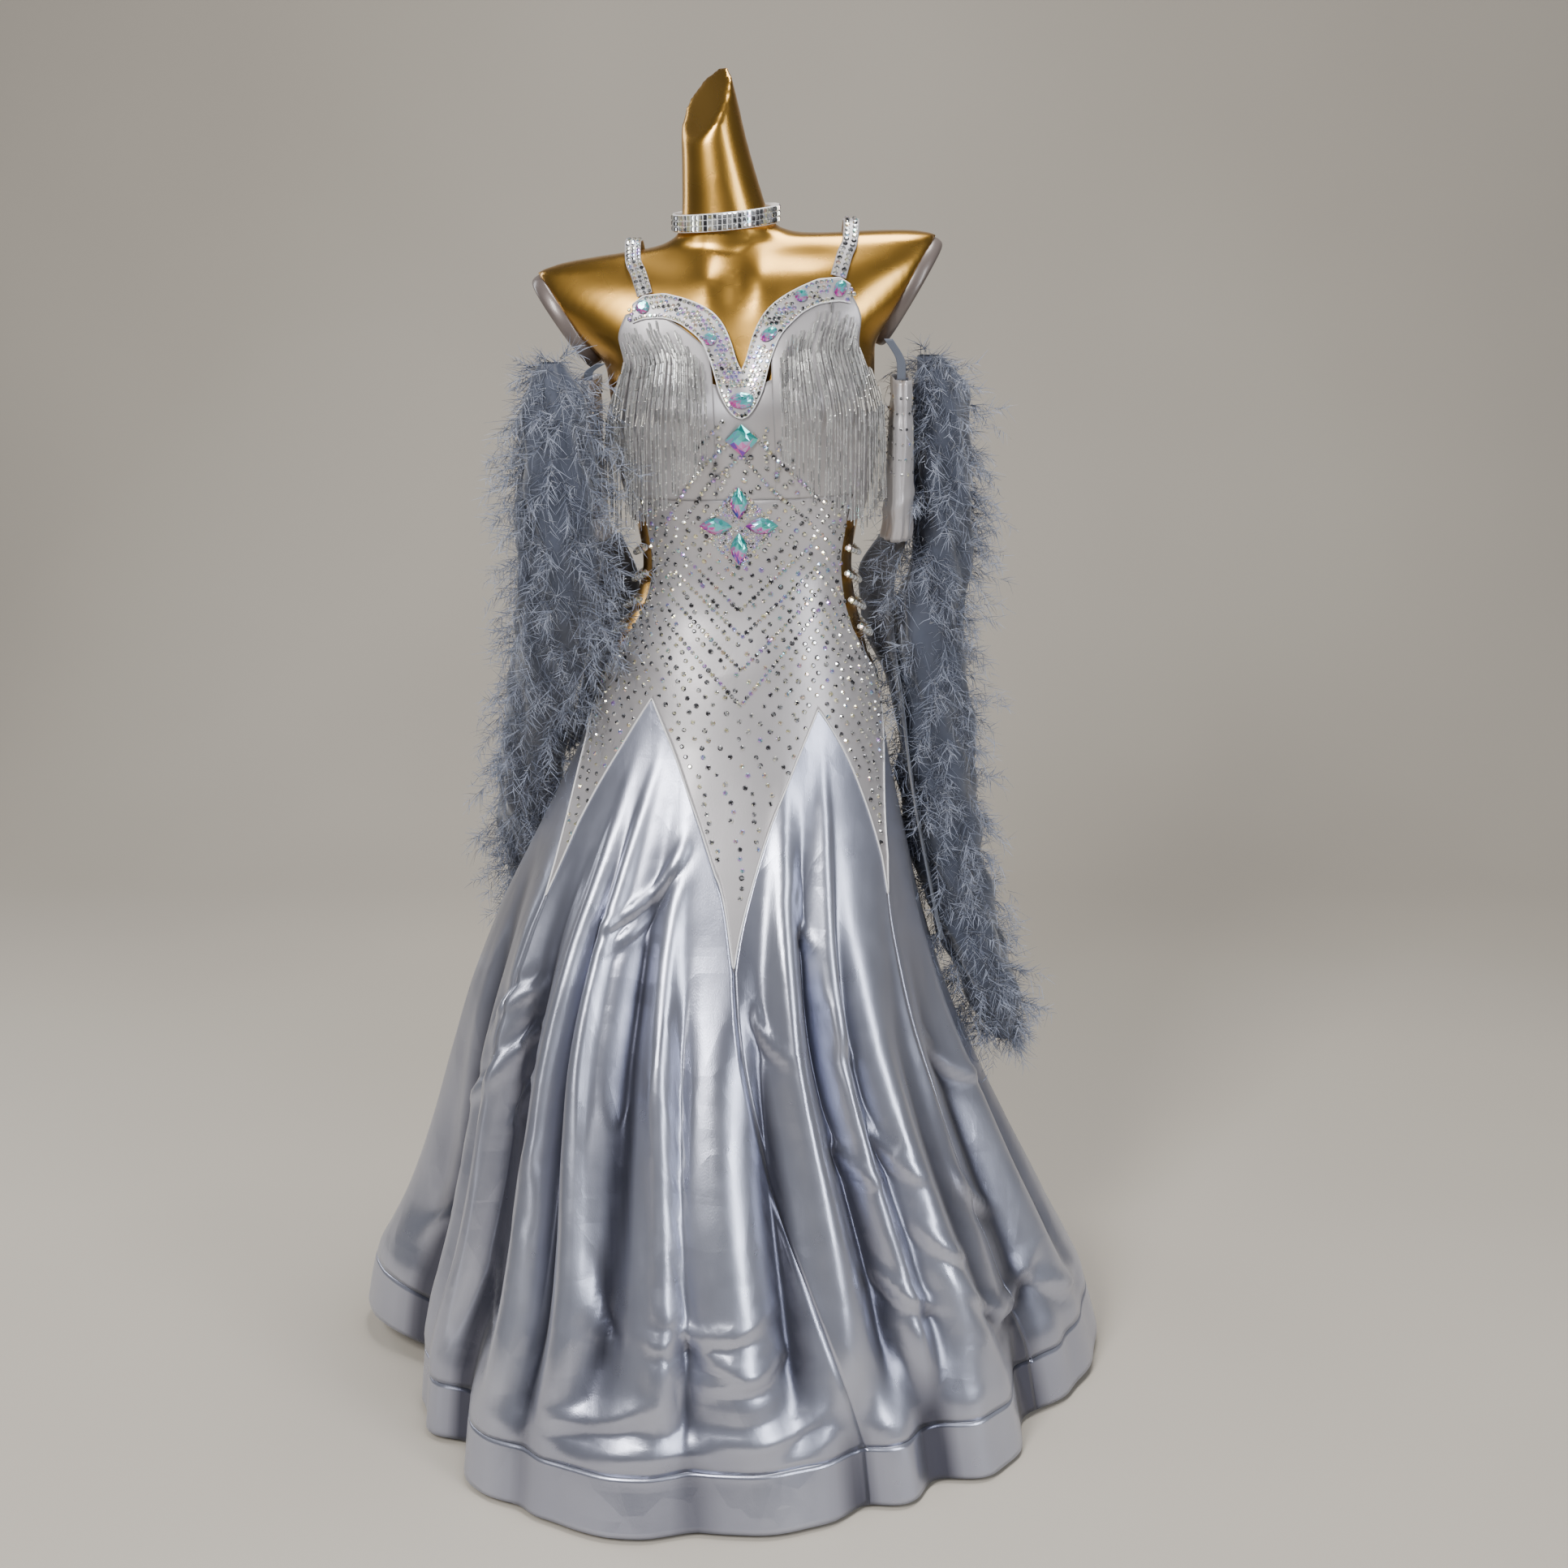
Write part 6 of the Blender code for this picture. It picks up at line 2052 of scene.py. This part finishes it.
@dataclass
class NeckBand:
    """Choker of the dress's trim, three rows of stones in upright bars."""

    shop: Workshop
    centre: tuple[float, float, float] = (-0.012, 0.000, 1.4400)
    half: tuple[float, float] = (0.0595, 0.0500)
    height: float = 0.020
    columns: int = 160

    def points(self, turns: Array, share: Array, lift: float) -> Array:
        """Points of the band: share runs from its lower to its upper edge."""
        x = self.centre[0] + (self.half[0] + lift) * np.sin(turns)
        y = self.centre[1] - (self.half[1] + lift) * np.cos(turns)
        dip = -0.004 * np.cos(turns)
        return self.shop.figure.rolled(x, y, self.centre[2] + dip + self.height * (share - 0.5))

    def build(self) -> None:
        """The band, its edges and its stones."""
        finishes = self.shop.finishes
        turns = np.linspace(0, 2 * np.pi, self.columns, endpoint=False)[:, None]
        grid = ClothGrid(self.points(turns, np.linspace(0, 1, 6)[None, :], 0.001), True)
        self.shop.cloth(
            "neck_band", grid, finishes.piping, Slot.STONED_BAND, 0.0014, "laid", ("dress_form",)
        )
        cluster = Cluster(52)
        bars = 68
        turn = np.linspace(0, 2 * np.pi, bars, endpoint=False)
        outward = stack(np.sin(turn) / self.half[0], -np.cos(turn) / self.half[1], np.zeros(bars))
        axes = frames(outward, np.array((0.0, 0.0, 1.0)))
        tints = cluster.tint(bars, 0.80)
        for share in (0.19, 0.50, 0.81):
            origins = self.points(turn, np.full(bars, share), 0.0018)
            value = np.clip(tints + cluster.random.uniform(-0.1, 0.1, bars), 0, 1)
            cluster.add(SQUARE_STONE, origins, axes, np.array((0.0043, 0.0055, 0.0060)), value, 0.16)
        self.shop.keep(cluster.build("neck_band_stones", finishes.stones), Slot.CRYSTAL)


class SetStone(NamedTuple):
    """A large stone on the front; its long half-size lies along turn degrees."""

    name: str
    x: float
    height: float
    half_long: float
    half_short: float
    turn: float
    kind: str
    lift: float


@dataclass
class SetStones:
    """The large faceted stones: a square, a cross of pointed ovals and six on the neckline."""

    shop: Workshop
    height: float = 0.0050

    ROWS = (
        SetStone("square_stone", 0.007, 1.1985, 0.0135, 0.0135, 45, "square", 0.0085),
        SetStone("cross_stone_top", 0.003, 1.1240, 0.0190, 0.0100, 90, "pointed", 0.0062),
        SetStone("cross_stone_bottom", 0.003, 1.0700, 0.0190, 0.0100, 90, "pointed", 0.0062),
        SetStone("cross_stone_left", -0.0230, 1.0970, 0.0190, 0.0100, 0, "pointed", 0.0062),
        SetStone("cross_stone_right", 0.0290, 1.0970, 0.0190, 0.0100, 0, "pointed", 0.0062),
        SetStone("band_stone_tongue", 0.007, 1.2400, 0.0140, 0.0090, 0, "oval", 0.0096),
        SetStone("band_stone_left_inner", -0.0285, 1.3060, 0.0075, 0.0075, 0, "oval", 0.0096),
        SetStone("band_stone_left_outer", -0.1030, 1.3480, 0.0080, 0.0080, 0, "oval", 0.0096),
        SetStone("band_stone_right_inner", 0.0385, 1.3060, 0.0110, 0.0070, 35, "oval", 0.0096),
        SetStone("band_stone_right_middle", 0.0740, 1.3440, 0.0075, 0.0075, 0, "oval", 0.0096),
        SetStone("band_stone_right_outer", 0.1170, 1.3480, 0.0100, 0.0070, 60, "oval", 0.0096),
    )

    def outline(self, kind: str, sides: int) -> tuple[Array, Array]:
        """Outline of a stone of half-sizes 1 and 1."""
        turns = 2 * np.pi * np.arange(sides) / sides
        along, aside = np.cos(turns), np.sin(turns)
        if kind == "pointed":
            return along, np.sign(aside) * (1 - np.abs(along) ** 1.7)
        if kind == "square":
            reach = 1 / np.maximum(np.abs(along), np.abs(aside))
            return along * reach, aside * reach
        return along, aside

    def build_stone(self, stone: SetStone, seed: int) -> None:
        """One stone with a girdle, two rows of crown facets and a table; each facet takes one of the coating's own
        colours by where it faces, a painted reflection.
        """
        figure = self.shop.figure
        x, height = np.array(stone.x), np.array(stone.height)
        middle = figure.front_lifted(x, height, stone.lift)
        outward = figure.normal(figure.front, x, height, (0.001, 0.001))
        across = unit(figure.front(x + 0.001, height) - figure.front(x - 0.001, height))
        up = unit(np.cross(outward, across))
        turn = math.radians(stone.turn)
        long_way = across * math.cos(turn) + up * math.sin(turn)
        short_way = up * math.cos(turn) - across * math.sin(turn)
        sides = 8 if stone.kind == "square" else 16
        along, aside = self.outline(stone.kind, sides)
        rings, skew = [], 2 * np.pi / sides / 2
        for share, rise, shift in ((0.92, 0.0, 0.0), (1.0, 0.22, 0.0), (0.76, 0.70, skew), (0.48, 1.0, 0.0)):
            a = along * math.cos(shift) - aside * math.sin(shift) * 0.6
            b = aside * math.cos(shift) + along * math.sin(shift) * 0.6
            rings.append(
                middle
                + long_way * (a * stone.half_long * share)[:, None]
                + short_way * (b * stone.half_short * share)[:, None]
                + outward * (rise * self.height)
            )
        points = np.concatenate((*rings, rings[-1].mean(axis=0, keepdims=True)))
        faces, here = [], np.arange(sides)
        there = (here + 1) % sides
        for k in range(3):
            low, high = k * sides, (k + 1) * sides
            faces.append(np.stack((low + here, low + there, high + here), -1))
            faces.append(np.stack((low + there, high + there, high + here), -1))
        faces.append(np.stack((3 * sides + here, 3 * sides + there, np.full(sides, 4 * sides)), -1))
        triangles = np.concatenate(faces)
        random = np.random.default_rng(seed)
        centres = points[triangles].mean(axis=1) - middle
        # painted reflection: the coating's colours laid out by where each facet faces, teal towards the top, pink and
        # violet towards the bottom, the table most strongly
        lean = (centres @ up) / 0.014 * 0.42 + (centres @ across) / 0.014 * 0.22
        table = np.arange(len(triangles)) >= 6 * sides
        lean = np.where(table, 2.4 * lean + 0.10, lean)
        tints = np.clip(0.45 - lean + random.uniform(-0.24, 0.24, len(triangles)), 0, 1)
        obj = mesh_object("set_" + stone.name, points, [triangles], self.shop.finishes.gems, False, [tints])
        self.shop.keep(obj, Slot.CRYSTAL, stone.name)

    def build(self) -> None:
        """Every large stone."""
        for index, stone in enumerate(self.ROWS):
            self.build_stone(stone, 70 + index)


@dataclass
class WaistStraps:
    """Clear beaded straps across one side's cut-out."""

    shop: Workshop
    side: Side
    bead_length: float = 0.0085
    bead_width: float = 0.0066
    lift: float = 0.0085
    # Front angle, back angle, front height, middle height.
    rows: tuple[tuple[float, float, float, float], ...] = (
        (58.5, 130.0, 1.066, 1.052),
        (59.5, 129.0, 1.034, 1.016),
        (61.0, 127.0, 1.002, 0.982),
        (66.0, 120.0, 0.968, 0.950),
    )

    def path(self, front_angle: float, back_angle: float, front_height: float, middle_height: float) -> Array:
        """A strap's middle line, from its front end round the side to its back end."""
        share = np.linspace(0, 1, 60)
        angle = front_angle + (back_angle - front_angle) * share
        height = front_height + (middle_height - front_height) * np.sin(np.pi * share)
        return self.shop.figure.lifted(self.side.value * angle, height, self.lift)

    def build(self) -> None:
        """Beads, rings between them and a stone at each end."""
        finishes = self.shop.finishes
        for number, row in enumerate(self.rows, 1):
            path = self.path(*row)
            name = f"waist_strap_{self.side.label}_{number}"
            beads, ends = Cluster(80 + number), Cluster(90 + number)
            places, ahead = evenly(path, self.bead_length)
            axes = frames(ahead, np.array((0.0, 0.0, 1.0)))
            tints = beads.random.uniform(0.0, 0.75, len(places))
            sizes = np.array((self.bead_width, self.bead_width, self.bead_length * 0.92))
            beads.add(BARREL, places, axes, sizes, tints, 0.05)
            obj = beads.build(name + "_beads", finishes.clear, True)
            self.shop.keep(obj, Slot.CLEAR_BEADS, name)
            between = places[:-1] + np.diff(places, axis=0) / 2
            ring_sizes = np.array((self.bead_width * 0.92, self.bead_width * 0.92, 0.0014))
            ends.add(BUGLE, between, axes[:-1], ring_sizes, ends.tint(len(between), 0.9), 0.1)
            tips = path[[1, -2]]
            outward = unit(tips * np.array((1, 1, 0)) - np.array((0.010, 0, 0)))
            ends.add(
                ROUND_STONE, tips + outward * 0.0012, frames(outward, np.array((0, 0, 1.0))),
                np.full(3, 0.0100), np.array((0.55, 0.70)), 0.22
            )
            self.shop.keep(ends.build(name + "_rings", finishes.stones), Slot.CRYSTAL)


@dataclass
class Sleeve:
    """Short off-shoulder sleeve, its hanger and the slate float below it."""

    shop: Workshop
    side: Side
    # Height, distance out, y, half-sizes across and front to back.
    rings: tuple[tuple[float, ...], ...] = (
        (1.070, 0.179, -0.004, 0.0160, 0.046),
        (1.085, 0.181, -0.004, 0.0155, 0.052),
        (1.140, 0.182, -0.003, 0.0145, 0.058),
        (1.200, 0.183, -0.002, 0.0135, 0.060),
        (1.258, 0.183, 0.000, 0.0130, 0.056),
    )
    # Height, x, y, half-sizes across and front to back of each side's float.
    right_float: tuple[tuple[float, ...], ...] = (
        (0.560, 0.251, 0.014, 0.000, 0.024),
        (0.660, 0.229, 0.010, 0.000, 0.030),
        (0.760, 0.210, 0.006, 0.001, 0.034),
        (0.880, 0.190, 0.034, 0.008, 0.034),
        (0.950, 0.170, 0.058, 0.020, 0.030),
        (1.010, 0.168, 0.062, 0.022, 0.028),
        (1.066, 0.186, 0.015, 0.014, 0.036),
    )
    left_float: tuple[tuple[float, ...], ...] = (
        (0.790, -0.210, 0.075, 0.006, 0.024),
        (0.860, -0.190, 0.072, 0.010, 0.028),
        (0.930, -0.165, 0.070, 0.020, 0.028),
        (1.000, -0.150, 0.060, 0.024, 0.028),
        (1.066, -0.160, 0.020, 0.016, 0.036),
    )

    def surface(self, turns: Array, heights: Array) -> Array:
        """Points of the sleeve, with soft uneven ripples down it."""
        out, y, half_x, half_y = Table(self.rings).at(heights)
        degrees = np.degrees(turns)
        ripple = 0.0022 * np.sin(4 * turns + 1.2 * np.sin(np.radians(2 * degrees + 50)) + 14 * heights)
        ripple = ripple + 0.0016 * np.sin(11 * turns) * (bell(heights - 1.078, 0.014) + 0.3)
        ripple = ripple + 0.0020 * bell(heights - 1.115 - 0.012 * np.sin(turns), 0.006)
        ripple = ripple - 0.0018 * bell(heights - 1.228 + 0.010 * np.cos(turns), 0.008)
        sign = self.side.value
        x = 0.010 + sign * out + (half_x - 0.00075 + ripple) * np.sin(turns)
        return stack(x, y - (half_y - 0.00075 + ripple) * np.cos(turns), heights + 0.0 * turns)

    def build(self) -> None:
        """Sleeve, stones on it, hanger and float."""
        finishes, label, sign = self.shop.finishes, self.side.label, self.side.value
        turns = np.linspace(0, 2 * np.pi, 80, endpoint=False)[:, None]
        heights = np.linspace(1.070, 1.258, 36)[None, :]
        grid = ClothGrid(self.surface(turns, heights), True)
        self.shop.cloth(
            "sleeve_" + label, grid, finishes.satin, Slot.STRETCH_SATIN, 0.0009,
            "hung", ("sleeve_hanger_" + label + "_cloth",)
        )
        self.build_stones()
        self.build_hanger()
        rows = self.right_float if self.side is Side.RIGHT else self.left_float
        table = Table(rows)
        z = np.linspace(rows[0][0], rows[-1][0], 60)[None, :]
        share = np.linspace(-1, 1, 17)[:, None]
        x, y, half_x, half_y = table.at(z)
        wave = 0.0022 * np.sin(5.2 * share + 9 * z) * ease(1.06, 0.95, z)
        out = 0.004 * (1 - share**2) + 0.00075 - share * half_x
        points = stack(x + sign * out + wave, y + share * half_y, z + 0 * share)
        self.shop.cloth(
            "float_" + label, ClothGrid(points), finishes.slate, Slot.SLATE_CLOTH,
            0.0008, "hung", ("sleeve_" + label + "_cloth",)
        )

    def build_stones(self) -> None:
        """Stones spread over the sleeve in staggered rows."""
        cluster = Cluster(62 + self.side.value)
        turns, heights = np.meshgrid(np.linspace(0, 2 * np.pi, 12, endpoint=False), np.arange(1.150, 1.252, 0.0175))
        turns = turns + (np.arange(len(heights)) % 2)[:, None] * np.pi / 12
        turns, heights = turns.ravel(), heights.ravel()
        points = self.surface(turns, heights)
        outward = unit(
            np.cross(self.surface(turns + 0.01, heights) - points, self.surface(turns, heights + 0.001) - points)
        )
        axes = frames(outward, np.array((0, 0, 1.0)))
        cluster.add(ROUND_STONE, points + outward * 0.0005, axes, np.full(3, 0.0040), cluster.tint(len(points), 0.8))
        obj = cluster.build("sleeve_stones_" + self.side.label, self.shop.finishes.stones)
        self.shop.keep(obj, Slot.CRYSTAL)

    def build_hanger(self) -> None:
        """The narrow strip from the armhole's front to the sleeve's top."""
        sign = self.side.value
        roll = 0.092 * sign * 0.15
        spots = np.array(
            (
                (0.010 + sign * 0.1640, -0.06475, 1.292 + roll),
                (0.010 + sign * 0.1780, -0.06075, 1.276 + roll / 2),
                (0.010 + sign * 0.1800, -0.05675, 1.2588),
            )
        )
        route = smooth_route(spots, 8)
        across = np.array((1.0, 0, 0)) * np.linspace(0.005, -0.005, 7)[:, None, None]
        name = "sleeve_hanger_" + self.side.label
        self.shop.cloth(
            name, ClothGrid(route[None] + across), self.shop.finishes.slate, Slot.SLATE_CLOTH,
            0.0010, "hung", ("cup_" + self.side.label + "_cloth",)
        )


@dataclass
class FeatherTrim:
    """A boa of curling feather plumes with a dense dark heart."""

    shop: Workshop
    side: Side
    plumes: int = 800
    barbs: int = 32
    barb_steps: int = 2
    plume_length: float = 0.054
    barb_length: float = 0.022
    barb_width: float = 0.0010
    # Height, x, y, half-sizes across and front to back.
    right: tuple[tuple[float, ...], ...] = (
        (0.400, 0.345, 0.062, 0.014, 0.016),
        (0.460, 0.331, 0.060, 0.033, 0.038),
        (0.560, 0.300, 0.055, 0.038, 0.044),
        (0.660, 0.276, 0.050, 0.040, 0.046),
        (0.760, 0.264, 0.045, 0.041, 0.048),
        (0.860, 0.252, 0.042, 0.041, 0.048),
        (0.960, 0.238, 0.040, 0.041, 0.048),
        (1.060, 0.248, 0.040, 0.038, 0.046),
        (1.150, 0.246, 0.038, 0.036, 0.044),
        (1.235, 0.243, 0.035, 0.034, 0.040),
        (1.285, 0.226, 0.030, 0.014, 0.016),
    )
    left: tuple[tuple[float, ...], ...] = (
        (0.400, -0.276, 0.306, 0.014, 0.016),
        (0.460, -0.276, 0.276, 0.032, 0.038),
        (0.540, -0.278, 0.230, 0.036, 0.042),
        (0.620, -0.282, 0.178, 0.038, 0.044),
        (0.700, -0.278, 0.120, 0.040, 0.046),
        (0.780, -0.264, 0.062, 0.042, 0.048),
        (0.860, -0.242, 0.004, 0.044, 0.048),
        (0.960, -0.220, -0.060, 0.048, 0.046),
        (1.060, -0.206, -0.105, 0.048, 0.040),
        (1.150, -0.204, -0.108, 0.046, 0.038),
        (1.235, -0.205, -0.102, 0.036, 0.034),
        (1.285, -0.208, -0.096, 0.014, 0.016),
    )

    def rows(self) -> tuple[tuple[float, ...], ...]:
        """The sizes for this side."""
        return self.right if self.side is Side.RIGHT else self.left

    def sizes(self, heights: Array) -> tuple[Array, Array, Array, Array]:
        """Middle and half-sizes at each height, fuller towards the skirt below the waist."""
        x, y, half_x, half_y = Table(self.rows()).at(heights)
        near = bell(heights - 0.72, 0.20) * (self.side is Side.RIGHT)
        return x - 0.016 * near, y, half_x + 0.010 * near, half_y

    def heart(self) -> tuple[Array, Array]:
        """Points and quads of the ragged dark core."""
        rows = self.rows()
        heights = np.linspace(rows[0][0] + 0.004, rows[-1][0] - 0.004, 110)[None, :]
        turns = np.linspace(0, 2 * np.pi, 40, endpoint=False)[:, None]
        x, y, half_x, half_y = self.sizes(heights)
        lump = 0.92 + 0.08 * np.sin(5 * turns + 31 * heights) + 0.06 * np.sin(3 * turns - 57 * heights)
        lump = lump + 0.05 * np.sin(9 * turns + 113 * heights)
        points = stack(x + half_x * lump * np.sin(turns), y - half_y * lump * np.cos(turns), heights + 0 * turns)
        return points.reshape(-1, 3), grid_faces(40, 110, 0, True)

    def plume_paths(self, random: np.random.Generator) -> tuple[Array, Array]:
        """Shafts of all plumes.

        Args:
            random: Source of the variation.

        Returns:
            Points along each shaft, and a direction across each shaft.
        """
        rows, count = self.rows(), self.plumes
        heights = rows[0][0] + (rows[-1][0] - rows[0][0]) * ((np.arange(count) + random.random(count)) / count)
        x, y, half_x, half_y = self.sizes(heights)
        turns = random.uniform(0, 2 * np.pi, count)
        outward = stack(np.sin(turns), -np.cos(turns), np.zeros(count))
        root = stack(x + half_x * 0.50 * np.sin(turns), y - half_y * 0.50 * np.cos(turns), heights)
        inner = (random.random(count) < 0.20) & (heights < 1.02)
        root[:, 0] -= self.side.value * half_x * np.where(inner, random.uniform(0.45, 1.15, count), 0.0)
        lean = stack(random.normal(0, 0.35, count), random.normal(0, 0.35, count), random.normal(-0.30, 0.45, count))
        direction = unit(outward + lean)
        size = np.minimum(1.0, half_x / 0.036)
        length = self.plume_length * size * random.uniform(0.65, 1.30, count)
        length = length * np.where(self.side.value * np.sin(turns) < -0.4, 1.35, 1.0)
        droop = random.uniform(0.10, 0.55, count)[:, None] * length[:, None]
        curl = unit(np.cross(direction, random.normal(0, 1, (count, 3))))
        t = np.linspace(0, 1, 9)[None, :, None]
        paths = root[:, None] + direction[:, None] * length[:, None, None] * t
        paths = paths - np.array((0, 0, 1.0)) * droop[:, None] * t**2
        paths = paths + curl[:, None] * length[:, None, None] * 0.28 * t**2
        return paths, curl

    def barb_ribbons(self, random: np.random.Generator) -> tuple[Array, Array]:
        """Thin curved ribbons along the shafts.

        Args:
            random: Source of the variation.

        Returns:
            Points as barbs, steps and two edges; and a tint for each barb's steps.
        """
        paths, curl = self.plume_paths(random)
        plumes, barbs, steps = len(paths), self.barbs, self.barb_steps
        where = np.linspace(0.10, 1.0, barbs) * (paths.shape[1] - 1)
        low = np.minimum(where.astype(int), paths.shape[1] - 2)
        share = (where - low)[None, :, None]
        start = paths[:, low] * (1 - share) + paths[:, low + 1] * share
        ahead = unit(paths[:, low + 1] - paths[:, low])
        side = np.cross(ahead, curl[:, None])
        turns = random.uniform(0, 2 * np.pi, (plumes, barbs, 1))
        around = np.cos(turns) * side + np.sin(turns) * curl[:, None]
        direction = unit(ahead * random.uniform(0.35, 1.0, (plumes, barbs, 1)) + around * 0.8)
        along = np.linspace(0, 1, barbs)[None, :, None]
        length = self.barb_length * (1.15 - 0.55 * along) * random.uniform(0.6, 1.5, (plumes, barbs, 1))
        bend = random.normal(0, 0.35, (plumes, barbs, 3)) + np.array((0, 0, -0.25))
        t = np.linspace(0, 1, steps + 1)[None, None, :, None]
        middle = start[:, :, None] + direction[:, :, None] * (length[:, :, None] * t)
        middle = middle + bend[:, :, None] * (length[:, :, None] * t**2 * 0.55)
        flat = unit(np.cross(direction, random.normal(0, 1, (plumes, barbs, 3))))
        width = self.barb_width * (1 - 0.75 * t) / 2
        edges = np.stack((middle - flat[:, :, None] * width, middle + flat[:, :, None] * width), axis=3)
        depth = 0.25 + 0.55 * along + random.uniform(-0.12, 0.12, (plumes, barbs, 1))
        tints = depth + 0.30 * (np.arange(steps) + 0.5) / steps
        return edges.reshape(plumes * barbs, steps + 1, 2, 3), np.clip(tints, 0, 1).reshape(-1)

    def build(self) -> None:
        """Core and barbs as one piece."""
        random = np.random.default_rng(100 + self.side.value)
        core, core_faces = self.heart()
        ribbons, tints = self.barb_ribbons(random)
        count, steps = ribbons.shape[0], ribbons.shape[1] - 1
        starts = len(core) + np.arange(count)[:, None] * (steps + 1) * 2 + np.arange(steps)[None, :] * 2
        quads = np.stack((starts, starts + 1, starts + 3, starts + 2), axis=-1).reshape(-1, 4)
        points = np.concatenate((core, ribbons.reshape(-1, 3)))
        values = np.concatenate((np.full(len(core_faces), 0.10), tints))
        obj = mesh_object(
            "feather_boa_" + self.side.label,
            points,
            [np.concatenate((core_faces, quads))],
            self.shop.finishes.feathers,
            True,
            [values],
        )
        self.shop.keep(obj, Slot.FEATHERS, "feather_trim_" + self.side.label)


# Studio.


@dataclass
class Studio:
    """A pale sweep, soft lights and the camera."""

    half_width: float = 7.0
    front: float = -5.0
    bend_start: float = 1.9
    bend_radius: float = 1.5
    top: float = 5.0
    camera_place: tuple[float, float, float] = (0.055, -2.5, 1.45)
    camera_pitch: float = -15.4
    lens: float = 48.04

    def sweep(self) -> None:
        """Floor and wall in one curved sheet."""
        turns = np.linspace(0, np.pi / 2, 24)
        curve = [(self.front, 0.0)]
        curve += [
            (self.bend_start + self.bend_radius * math.sin(t), self.bend_radius * (1 - math.cos(t))) for t in turns
        ]
        curve.append((self.bend_start + self.bend_radius, self.top))
        y, z = np.array(curve).T
        x = np.array((-self.half_width, self.half_width))[:, None]
        points = stack(x, y[None, :], z[None, :])
        finish = BackdropFinish("studio sweep", (0.50, 0.463, 0.405), (0.465, 0.428, 0.375)).make()
        mesh_object("studio_sweep", points, [grid_faces(2, len(y))], finish)

    def light(
        self, name: str, place: tuple[float, float, float], power: float, size: tuple[float, float], colour: Colour
    ) -> None:
        """An area light that faces the dress.

        Args:
            name: Name of the light.
            place: Where it stands.
            power: Watts.
            size: Width and height of its panel.
            colour: Its colour.
        """
        lamp = bpy.data.lights.new(name, "AREA")
        lamp.shape = "RECTANGLE"
        lamp.size, lamp.size_y = size
        lamp.energy = power
        lamp.color = colour
        obj = bpy.data.objects.new(name, lamp)
        obj.location = place
        obj.rotation_euler = (Vector((0, 0, 0.85)) - Vector(place)).to_track_quat("-Z", "Y").to_euler()
        bpy.context.scene.collection.objects.link(obj)

    def build(self) -> None:
        """Sweep, lights, world and camera."""
        self.sweep()
        self.light("key", (-1.3, -2.9, 2.9), 150, (0.9, 1.5), (1.0, 0.985, 0.96))
        self.light("fill", (2.3, -2.5, 1.7), 60, (0.8, 1.8), (0.94, 0.965, 1.0))
        self.light("top", (0.4, 0.1, 3.7), 90, (1.6, 1.2), (1.0, 0.98, 0.95))
        self.light("rim", (-2.2, 1.2, 2.0), 22, (0.6, 1.8), (0.95, 0.97, 1.0))
        world = bpy.data.worlds.new("studio")
        world.use_nodes = True
        background = world.node_tree.nodes["Background"]
        background.inputs["Color"].default_value = (0.62, 0.63, 0.66, 1)
        background.inputs["Strength"].default_value = 0.22
        bpy.context.scene.world = world
        camera = bpy.data.cameras.new("camera")
        camera.lens = self.lens
        camera.sensor_width = 36
        obj = bpy.data.objects.new("camera", camera)
        obj.location = self.camera_place
        obj.rotation_euler = (math.radians(90 + self.camera_pitch), 0, 0)
        bpy.context.scene.collection.objects.link(obj)
        bpy.context.scene.camera = obj


def main() -> None:
    """Builds the studio and every piece of the dress and of its form."""
    logging.basicConfig(level=logging.INFO, format="%(name)s: %(message)s")
    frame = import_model()
    shop = Workshop()
    Studio().build()
    DressForm(shop).build(frame["nodes"])
    seams = Seams(shop.figure)
    bodice = Bodice(shop, seams)
    bodice.build()
    Skirt(shop, seams).build()
    StoneWork(shop, bodice).build()
    NecklineBand(shop).build()
    NeckBand(shop).build()
    SetStones(shop).build()
    for side in Side:
        Strap(shop, side).build()
        BeadFringe(shop, side).build()
        WaistStraps(shop, side).build()
        Sleeve(shop, side).build()
        FeatherTrim(shop, side).build()
    LOG.info("all: %d triangles", shop.count)


if __name__ == "__main__":
    main()
